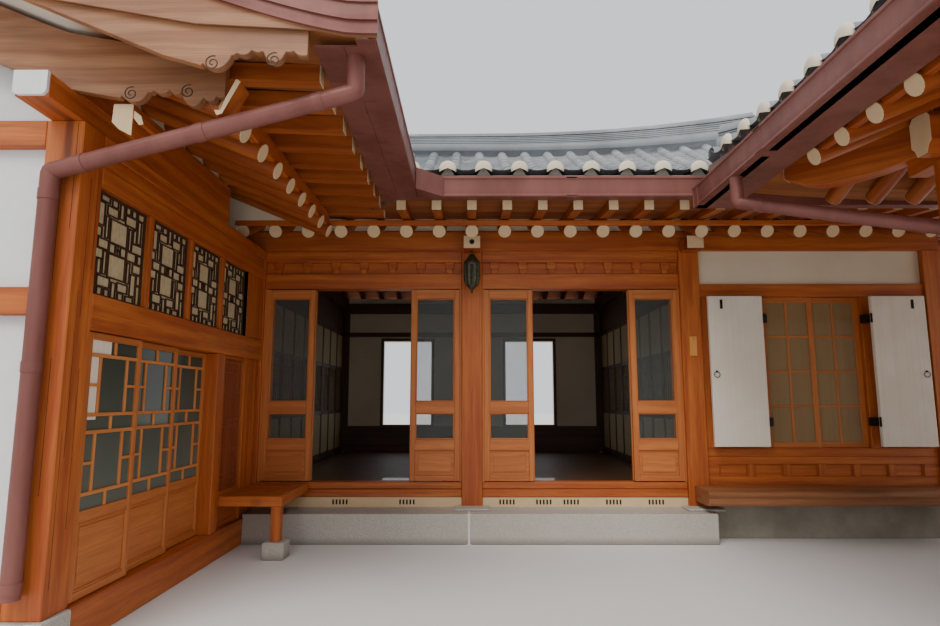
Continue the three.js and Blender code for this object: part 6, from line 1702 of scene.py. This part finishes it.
# Downpipes
# Round pipes lead the water back to the posts and down, each in one upright plane. Their bends
# are sharp, and sleeves cover the joints of the slanted and the upright lengths.

PIPE_RADIUS = 0.05
SLEEVE_RADIUS = 0.0535


def rounded_path(corners, radius=0.07, count=6):
    """A path through corners, each rounded: the quadratic curve from before it to after it."""
    corners = np.asarray(corners, float)
    path = [corners[:1]]
    t = np.linspace(0, 1, count)[:, None]
    for before, at, after in zip(corners, corners[1:], corners[2:]):
        start = at + radius * (before - at) / np.linalg.norm(before - at)
        end = at + radius * (after - at) / np.linalg.norm(after - at)
        path.append((1 - t) ** 2 * start + 2 * t * (1 - t) * at + t**2 * end)
    path.append(corners[-1:])
    return np.concatenate(path)


def tube(path, radius, around=20):
    """A round tube along a path in one upright plane: a circle of the plane's normal and the
    direction square to the path in it, with both ends closed."""
    tangent = np.gradient(path, axis=0)
    tangent /= np.linalg.norm(tangent, axis=1)[:, None]
    level = path[-1, :2] - path[0, :2]
    level /= np.linalg.norm(level)
    normal = np.array([-level[1], level[0], 0.0])
    beside = np.cross(tangent, normal)
    angle = np.linspace(0, 2 * math.pi, around + 1)
    circle = np.cos(angle)[None, :, None] * normal + np.sin(angle)[None, :, None] * beside[:, None]
    rings = path[:, None] + radius * circle
    ends = np.concatenate([path[:1, None] + 0 * rings[:1], rings, path[-1:, None] + 0 * rings[:1]])
    return grids(ends[None], False)


pipes = {
    "wing_downpipe": [
        (-0.65, -3.62, 3.3297), (-0.65, -3.62, 3.125), (-2.42, -3.475, 2.72), (-2.42, -3.475, 0.38),
    ],
    "side_downpipe": [(2.112, -2.1, 3.1797), (2.112, -2.1, 2.97), (3.18, -2.86, 2.55), (3.18, -2.86, 0.1)],
}
for node, corners in pipes.items():
    corners = np.array(corners)
    parts = [tube(rounded_path(corners, 0.014, 3), PIPE_RADIUS)]
    slant = corners[2] - corners[1]
    sleeves = [corners[1] + share * slant for share in (0.12, 0.5, 0.9)]
    unit = slant / np.linalg.norm(slant)
    drops = [[*corners[3][:2], z] for z in (corners[2][2] - 0.14, 1.6, corners[3][2] + 0.06)]
    for places, way in ((np.array(sleeves), unit), (np.array(drops), np.array([0, 0, 1]))):
        parts.append(rods(places - 0.03 * way, places + 0.03 * way, SLEEVE_RADIUS, SLEEVE_RADIUS, 20))
    piece(f"{node}_sheet", parts, sheet_paint, node, smooth=35)


# Bargeboards
# Two weathered boards close the wing's south verge one before the other. Their lower edges are cut
# in a row of round lobes towards the tip. Spirals are carved above two of the lobes; their grooves are
# drawn as thin dark coils of painted shade.


def wing_under(x):
    """Underside of the wing's roof across it: straight runs between a few heights."""
    away = np.abs(np.asarray(x) - WING_X)
    ridge = WING_TIP_Z + RAFTER_SLOPE * (WING_TIP_X - WING_X) + RAFTER_RISE
    corner = WING_TIP_Z + RAFTER_SLOPE * (WING_TIP_X + 2.4) + RAFTER_RISE
    return np.interp(away, (0, WING_X * -1 - 2.4, 2.72, 3.24, 3.575), (ridge, corner, 3.44, 3.41, 3.38))


def lobed_board(tip, drop, depth, y0, y1, lobes, plain_from, seed, rise=0.0, foot_line=-9.0):
    """Both halves of a board. Its lower edge hangs the given depth, or follows a straight line where
    that is higher, and over the last stretch to the tip it is the lowest of several lobes, each an
    upper share plus a half ellipse."""
    u = np.concatenate([np.linspace(0, plain_from, 60), np.linspace(plain_from + 0.01, tip - WING_X, 14)])
    lobes = np.asarray(lobes)
    reach = 1 - ((u[:, None] - lobes[:, 0]) / lobes[:, 1]) ** 2
    share = np.max(
        np.where(reach > 0, lobes[:, 2] + lobes[:, 3] * np.sqrt(np.maximum(reach, 0)), 0.42), axis=1
    )
    share = np.where(u > plain_from, 1.0, share)
    x = tip - u
    top = wing_under(x) - drop
    halves = []
    for turn in (1, -1):
        across = WING_X + turn * (x - WING_X)
        straight = np.where(u > plain_from, foot_line + 0.427 * (-1.53 - x), -9.0)
        upper = np.stack([across, top + rise], 1)
        lower = np.stack([across, np.maximum(top - depth * share, straight)], 1)
        halves.append(extruded(np.concatenate([upper[::-1], lower]), 1, y0, y1, seed))
    return halves


weathered = oiled_pine("weathered_pine", (0.42, 0.195, 0.085), (0.27, 0.095, 0.032), (0.17, 0.085, 0.05))
OUTER_LOBES = (
    (0.03, 0.045, 0.5, 0.14), (0.10, 0.035, 0.45, 0.12), (0.18, 0.06, 0.5, 0.34), (0.27, 0.045, 0.4, 0.22),
    (0.35, 0.05, 0.5, 0.2), (0.40, 0.022, 0.5, 0.22), (0.50, 0.10, 0.5, 0.56),
)
INNER_LOBES = (
    (0.02, 0.04, 0.45, 0.12), (0.09, 0.04, 0.5, 0.2), (0.19, 0.065, 0.5, 0.38), (0.29, 0.05, 0.4, 0.26),
    (0.38, 0.055, 0.5, 0.22), (0.44, 0.025, 0.5, 0.24), (0.54, 0.10, 0.5, 0.54),
)
outer_low, outer_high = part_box("bargeboard_outer")
inner_low, inner_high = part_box("bargeboard_inner")
piece(
    "outer_bargeboard",
    lobed_board(outer_high.x, 0.004, 0.24, outer_low.y, outer_high.y, OUTER_LOBES, 0.56, 52, foot_line=3.199),
    weathered, "bargeboard_outer", chamfer=0.003,
)
piece(
    "inner_bargeboard",
    lobed_board(inner_high.x, 0.14, 0.25, inner_low.y, inner_high.y, INNER_LOBES, 0.6, 53, rise=0.1),
    weathered, "bargeboard_inner", chamfer=0.003,
)
# The carved spiral grooves are dark raised coils, half sunk in the boards: painted shade of the grooves.
coils = []
for x, y, z in (
    (-1.062, outer_low.y, 3.225), (-1.389, outer_low.y, 3.208),
    (-1.977, inner_low.y, 3.181), (-1.647, inner_low.y, 3.193),
):
    for across, wind in ((x, 1), (2 * WING_X - x, -1)):
        coils.append(coil((across, y, z), 0.042, 0.0035, 1.6, 0.8, 1.2, wind, 64, 6))
piece("bargeboard_spirals", coils, dark_stain_and_groove_shade)
HOOKS = (
    (-3.449, -3.2, [(-2.1, 3.14), (-2.105, 3.03), (-2.06, 2.985), (-1.986, 2.946), (-1.985, 3.14)]),
    (-3.44, -3.2, [(-1.99, 3.11), (-1.94, 3.07), (-1.925, 3.02), (-1.95, 3.015), (-1.985, 3.06)]),
    (-3.6, -3.46, [
        (-1.33, 3.215), (-1.305, 3.2), (-1.36, 3.09), (-1.4, 3.01), (-1.43, 3.0), (-1.445, 3.03),
        (-1.41, 3.03), (-1.385, 3.1),
    ]),
)
arms = [extruded(hook, 1, front, back, 54 + k) for k, (front, back, hook) in enumerate(HOOKS)]
tips = [extruded(hook, 1, front - 0.0025, front + 0.0001) for front, _, hook in HOOKS]
VERGE_BANDS = (
    (0.0, 0.022, 0.03), (0.022, 0.082, 0.012), (0.082, 0.094, 0.026), (0.094, 0.182, 0.018),
    (0.182, 0.2, 0.03)
)
flashing = []
verge_x = np.linspace(wing_low.x, east_x, 90)
verge_share = np.maximum(0, RUN_WING - np.abs(verge_x - WING_X)) / RUN_WING
verge_foot = wing_top(verge_x, wing_low.y, verge_share) - 0.23
for low, high, deep in VERGE_BANDS:
    foot = np.stack([verge_x, verge_foot + low], 1)
    head = np.stack([verge_x, verge_foot + high], 1)
    flashing.append(
        extruded(np.concatenate([foot, head[::-1]]), 1, wing_low.y - deep, wing_low.y - 0.0005, 57)
    )
plank_foot = np.minimum(wing_under(verge_x) - 0.02, verge_foot - 0.01)
plank = np.concatenate([np.stack([verge_x, plank_foot], 1), np.stack([verge_x, verge_foot + 0.004], 1)[::-1]])
piece("verge_plank", [extruded(plank, 1, wing_low.y - 0.011, wing_low.y - 0.0005, 58)], weathered)
piece("verge_flashing", flashing, sheet_paint, smooth=25)
piece("verge_brackets", arms, pine)
piece("verge_bracket_paint", tips, cream)


# South gable of the wing
# White plaster panels between pine posts and rails, up to the slope of the rafters.

gable_low, gable_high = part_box("wing_gable_wall")
WEST_POST = (-6.11, -5.89)


def gable_top(x):
    return gable_high.z - RAFTER_SLOPE * abs(x - WING_X)


gable_shape = [
    (gable_low.x, gable_low.z), (gable_high.x, gable_low.z), (gable_high.x, gable_top(gable_high.x)),
    (WING_X, gable_high.z), (gable_low.x, gable_top(gable_low.x)),
]
whitewash = mottled("white_wall", *WHITE, Roughness=0.85)
piece(
    "wing_gable_plaster", [extruded(gable_shape, 1, gable_low.y, gable_high.y)], whitewash,
    "wing_gable_wall"
)
gable_frame_rows = [
    [WEST_POST[0], POST_SOUTH, WING_TOP, WEST_POST[1], POST_NORTH, PLATE_FOOT],
    *[[WEST_POST[1], POST_SOUTH, z, gable_high.x, gable_low.y, z + 0.16] for z in (WING_TOP, 1.9, 2.9)],
    [WING_X - 0.09, POST_SOUTH - 0.004, WING_TOP, WING_X + 0.09, gable_low.y, 3.9847],
    [WEST_POST[0] + 0.015, -3.73, PLATE_FOOT, WEST_POST[1] - 0.015, POST_NORTH, PLATE_HEAD],
    [WEST_POST[0] + 0.015, -3.45, PLATE_HEAD, WEST_POST[1] - 0.015, POST_NORTH, 3.36],
]
piece("wing_gable_timbers", [squared(gable_frame_rows, 61)], pine, "wing_gable_frame", chamfer=0.006)


# Rear, east and west walls
# Plaster between posts and four rails on the closed sides. Two tall windows look out at the back
# of the hall, and a small one with a paper lattice stands in the wing's west wall.

SKIN_REAR, SKIN_EAST, SKIN_WEST = 4.79, 5.09, -5.99
REAR_FOOT, REAR_HEAD = 0.97, 2.5
REAR_WINDOWS = ((-1.63, -0.75), (0.62, 1.5))
FRAME_FOOT, FRAME_HEAD = 0.295, 3.31
RAIL_HEIGHTS = ((FRAME_FOOT, 0.11), (0.86, 0.11), (2.5, 0.11), (3.07, 0.24))
WEST_RAILS = ((FRAME_FOOT, 0.11), (1.39, 0.11), (2.3, 0.11), (3.07, 0.24))
recoat(plaster, "rear_wall", "east_wall", "west_wall", "east_gable_board", "side_walls")
rear_rows = [
    [x - 0.11, SKIN_REAR, FRAME_FOOT, x + 0.11, SKIN_REAR + 0.12, FRAME_HEAD]
    for x in (-6.0, *POSTS_X)
]
rear_rows += [[-6.0, SKIN_REAR, z, 5.1, SKIN_REAR + 0.09, z + tall] for z, tall in RAIL_HEIGHTS]
east_rows = [[SKIN_EAST, 0.11, z, SKIN_EAST + 0.09, SKIN_REAR, z + tall] for z, tall in RAIL_HEIGHTS]
east_rows.append([SKIN_EAST, 2.29, FRAME_FOOT, SKIN_EAST + 0.12, 2.51, FRAME_HEAD])
west_rows = [[SKIN_WEST - 0.12, y - 0.11, FRAME_FOOT, SKIN_WEST, y + 0.11, FRAME_HEAD] for y in (-0.6, 2.1)]
west_rows += [[SKIN_WEST - 0.09, -3.19, z, SKIN_WEST, SKIN_REAR, z + tall] for z, tall in WEST_RAILS]
piece("rear_timbers", [squared(rear_rows, 62)], pine, "rear_frame", chamfer=0.005)
piece("east_timbers", [squared(east_rows, 63)], pine, "east_frame", chamfer=0.005)
piece("west_timbers", [squared(west_rows, 64)], pine, "west_frame", chamfer=0.005)
# Very dark brown pine for the wood inside: partly dark wood, partly painted shade of the dim interior.
inner_dark_pine = oiled_pine("dark_pine_partly_painted_shade", (0.13, 0.05, 0.022), (0.065, 0.025, 0.012), (0.09, 0.035, 0.016))
lining = []
for left, right in REAR_WINDOWS:
    lining += frame_round(left - 0.05, REAR_FOOT - 0.05, right + 0.05, REAR_HEAD + 0.05, 4.67, 4.689, 0.05)
lining += [
    [-2.37, 4.66, 0.5, 2.37, 4.688, REAR_FOOT - 0.02], [-2.37, 4.64, 3.01, 2.37, 4.688, 3.2],
    [-2.37, 4.66, 2.58, 2.37, 4.688, 2.66],
]
lining += [[x, 4.66, REAR_FOOT - 0.02, x + 0.1, 4.688, 3.01] for x in (-2.37, -0.05, 2.27)]
piece("rear_wall_lining", [squared(lining, 65)], inner_dark_pine)
(wx0, wy0, _), (wx1, wy1, _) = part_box("west_window")
window_rows = [[wx0, y, 1.5, wx1, y + 0.03, 2.3] for y in (wy0, wy0 + 0.29, wy0 + 0.58, wy1 - 0.03)]
window_rows += [[wx0 + 0.002, wy0, z, wx1, wy1, z + 0.03] for z in (1.5, 1.885, 2.27)]
piece("west_window_bars", [squared(window_rows, 66)], bar_pine, "west_window", chamfer=0.003)
piece("west_window_paper", [squared([[wx0 + 0.02, wy0, 1.5, wx0 + 0.026, wy1, 2.3]])], paper)


# Inside the hall
# A polished floor of short boards between long ones, and on either side eight tall leaves, papered
# above and below a dark lattice. Very dark brown beams cross under the roof; part of their darkness
# is painted shade of the dim interior.

floor_low, floor_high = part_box("hall_floor")
LONG_BOARDS = np.linspace(floor_low.x, floor_high.x - 0.12, 5)
short_edges = np.linspace(floor_low.y, floor_high.y, 32)
floor_rows = [[x, floor_low.y, floor_low.z, x + 0.12, floor_high.y, floor_high.z] for x in LONG_BOARDS]
for left, right in zip(LONG_BOARDS[:-1] + 0.122, LONG_BOARDS[1:] - 0.002):
    floor_rows += [
        [left, a + 0.001, floor_low.z, right, b - 0.001, floor_high.z - 0.001]
        for a, b in zip(short_edges, short_edges[1:])
    ]
polished = oiled_pine(
    "polished_floor", (0.17, 0.065, 0.026), (0.09, 0.034, 0.015), (0.12, 0.045, 0.018), Coat_Weight=0.4
)
piece("hall_floor_boards", [squared(floor_rows, 71)], polished, "hall_floor")
LEAF_STARTS = np.concatenate([0.45 + 0.51 * np.arange(4), 2.6 + 0.51 * np.arange(4)])
LEAF_WIDE = 0.49
PARTITION_HALVES = (0.03, 0.018, 0.012, 0.003)
for side in ("west", "east"):
    low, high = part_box(f"partition_{side}")
    centre = (low.x + high.x) / 2
    a0, a1, b0, b1, c0, c1, d0, d1 = [centre + way * half for half in PARTITION_HALVES for way in (-1, 1)]
    wood = [
        [a0, low.y, low.z, a1, high.y, 0.53], [a0, low.y, 2.64, a1, high.y, high.z],
        [a0, low.y, 0.53, a1, 0.45, 2.64], [a0, 2.49, 0.53, a1, 2.6, 2.64], [
            a0, 4.64, 0.53, a1, high.y, 2.64,
        ],
    ]
    sheets = []
    for start in LEAF_STARTS:
        end = start + LEAF_WIDE
        for z0, z1 in ((0.53, 0.59), (1.19, 1.25), (1.95, 2.01), (2.58, 2.64)):
            wood.append([b0, start, z0, b1, end, z1])
        wood += [[b0, start, 0.53, b1, start + 0.028, 2.64], [b0, end - 0.028, 0.53, b1, end, 2.64]]
        wood += [
            [b0 + 0.006, y - 0.006, 1.25, b1 - 0.006, y + 0.006, 1.95]
            for y in np.linspace(start, end, 7)[1:-1]
        ]
        wood += [
            [b0 + 0.008, start, z - 0.006, b1 - 0.008, end, z + 0.006]
            for z in (1.36, 1.42, 1.6, 1.78, 1.84)
        ]
        sheets += [
            [c0, start + 0.02, 0.56, c1, end - 0.02, 1.22], [c0, start + 0.02, 1.98, c1, end - 0.02, 2.61],
        ]
        sheets.append([d0, start + 0.02, 1.22, d1, end - 0.02, 1.98])
    piece(f"partition_{side}_leaves", [squared(wood, 72)], inner_dark_pine, f"partition_{side}")
    piece(f"partition_{side}_paper", [squared(sheets)], cream_paper)
recoat(inner_dark_pine, "main_roof_timbers", "wing_roof_timbers")


# Side house
# The free-standing house on the right: plastered walls in a pine frame, a lattice window and a
# papered sliding door on the court side, and a hollow-cut hip rafter under the eave's corner.

side_low_x, side_low_y, side_high_x, side_high_y = 3.24, -7.41, 6.46, -2.69
SIDE_PURLIN_TIP = -2.39
SIDE_POSTS_X, SIDE_POSTS_Y = (3.35, 6.35), (-2.8, -4.9, -7.3)
side_rows = [
    [x - 0.11, y - 0.11, FRAME_FOOT, x + 0.11, y + 0.11, 3.08]
    for x in SIDE_POSTS_X for y in SIDE_POSTS_Y
]
DOOR_SOUTH, DOOR_NORTH = -6.5, -5.7
for z, tall in ((FRAME_FOOT, 0.15), (2.64, 0.15), (2.9, 0.17)):
    x0, x1, y0, y1 = side_low_x + 0.03, side_high_x - 0.03, side_low_y + 0.03, side_high_y - 0.03
    side_rows += [
        [x0, y0, z, x1, y0 + 0.09, z + tall], [x0, y1 - 0.09, z, x1, y1, z + tall],
        [x1 - 0.09, y0 + 0.09, z, x1, y1 - 0.09, z + tall],
    ]
    if z < 1:
        side_rows += [
            [x0, y0 + 0.09, z, x0 + 0.09, DOOR_SOUTH, z + tall],
            [x0, DOOR_NORTH, z, x0 + 0.09, y1 - 0.09, z + tall],
        ]
    else:
        side_rows.append([x0, y0 + 0.09, z, x0 + 0.09, y1 - 0.09, z + tall])


def side_rafter_bottom(x):
    return WING_TIP_Z + RAFTER_SLOPE * (x - SIDE_TIP_X) - RAFTER_RISE - 0.0003


side_purlins = []
for turn in (1, -1):
    shape = purlin_outline(3.275, 3.425, 3.07, side_rafter_bottom)
    shape = [(SIDE_X + turn * (x - SIDE_X), z) for x, z in shape]
    side_purlins.append(extruded(shape, 1, side_low_y, SIDE_PURLIN_TIP, 73))
piece("side_house_timbers", [squared(side_rows, 74), *side_purlins], pine, "side_frame", chamfer=0.006)
window_low, window_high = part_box("side_window")
(x0, y0, z0), (x1, y1, z1) = window_low, window_high
side_bars = [[x0, y0, z, x1, y1, z + 0.045] for z in (z0, z1 - 0.045)]
side_bars += [[x0, y, z0, x1, y + 0.045, z1] for y in np.linspace(y0, y1 - 0.045, 3)]
side_bars += [[x0 + 0.006, y, z0, x1 - 0.006, y + 0.014, z1] for y in np.linspace(y0, y1 - 0.02, 9)]
side_bars += [
    [x0 + 0.008, y0, z - 0.007, x1 - 0.008, y1, z + 0.007] for z in np.linspace(z0, z1, 8)[1:-1]
]
piece("side_window_bars", [squared(side_bars, 75)], leaf_pine, "side_window", chamfer=0.002)
piece("side_window_paper", [squared([[x0 + 0.024, y0, z0, x0 + 0.028, y1, z1]])], paper)
(x0, y0, z0), (x1, y1, z1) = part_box("side_door")
door_rows = [
    [x0, y0, z0, x1, y0 + 0.055, z1], [x0, y1 - 0.055, z0, x1, y1, z1], [x0, y0, z1 - 0.06, x1, y1, z1],
    [x0, y0, 0.305, x1, y1, 0.38], [x0, y0, 0.78, x1, y1, 0.84], [x0 + 0.01, y0, 0.38, x1 - 0.01, y1, 0.78],
]
for y in np.linspace(y0 + 0.055, y1 - 0.055, 8)[1:-1]:
    door_rows.append([x0 + 0.006, y - 0.007, 0.84, x1 - 0.006, y + 0.007, z1])
for z in (1.0, 1.08, 1.16, 1.5, 1.58, 1.66, 2.0, 2.08, 2.16):
    door_rows.append([x0 + 0.008, y0, z - 0.007, x1 - 0.008, y1, z + 0.007])
piece(
    "side_door_wood", [squared(door_rows, 76)], leaf_pine, "side_door", body="side_house_leaf",
    chamfer=0.002
)
door_paper = [[x1 - 0.014, y0 + 0.02, 0.8, x1 - 0.011, y1 - 0.02, z1 - 0.02]]
piece("side_door_paper", [squared(door_paper)], paper, body="side_house_leaf")
hip_shape = np.array([
    (0.0, 3.39), (0.0, 3.24), (0.05, 3.2), (0.1, 3.16), (0.16, 3.13), (0.24, 3.117), (0.36, 3.118),
    (0.48, 3.13), (0.61, 3.168), (0.8, 3.22), (1.05, 3.26), (1.05, 3.47), (0.5, 3.43),
])


def on_the_hip(outline, seed):
    """An outline as thick as the hip rafter, turned by half a right angle to run in from the corner."""
    points, faces, grain = extruded(outline, 1, -0.07, 0.07, seed)
    x, y, z = points.T
    turned_points = np.stack([(x + y) / math.sqrt(2), (y - x) / math.sqrt(2), z], 1)
    return turned_points + [2.65, -1.85, 0], faces, grain


piece("side_hip_rafter", [on_the_hip(hip_shape * [math.sqrt(2), 1], 77)], pine, chamfer=0.006)
hip_end_shape = [(-0.004, 3.39), (-0.004, 3.24), (0, 3.24), (0, 3.39)]
piece("side_hip_end_paint", [on_the_hip(hip_end_shape, 78)], cream)
north_end = [
    (-2.85, 3.08), (-2.76, 3.08), (-2.74, 3.13), (-2.71, 3.16), (-2.71, 3.33), (-2.74, 3.37),
    (-2.87, 3.37), (-2.9, 3.33), (-2.9, 3.16), (-2.87, 3.13),
]
share = SIDE_SHARE * RUN_SIDE
gable_field = [
    (srf_low.x + share, 3.78), (srf_high.x - share, 3.78), (srf_high.x - share, 3.83), (SIDE_X, 4.5),
    (srf_low.x + share, 3.83),
]
side_boards = [
    extruded(gable_field, 1, srf_low.y + share + 0.004, srf_low.y + share + 0.03),
    extruded(gable_field, 1, srf_high.y - share - 0.03, srf_high.y - share - 0.004),
]
piece("side_gable_boards", side_boards, plaster)
piece("side_north_purlin", [extruded(north_end, 0, 3.09, 6.55, 79)], pine, chamfer=0.004)
piece("side_purlin_end_paint", [extruded(north_end, 0, 3.087, 3.09)], cream)
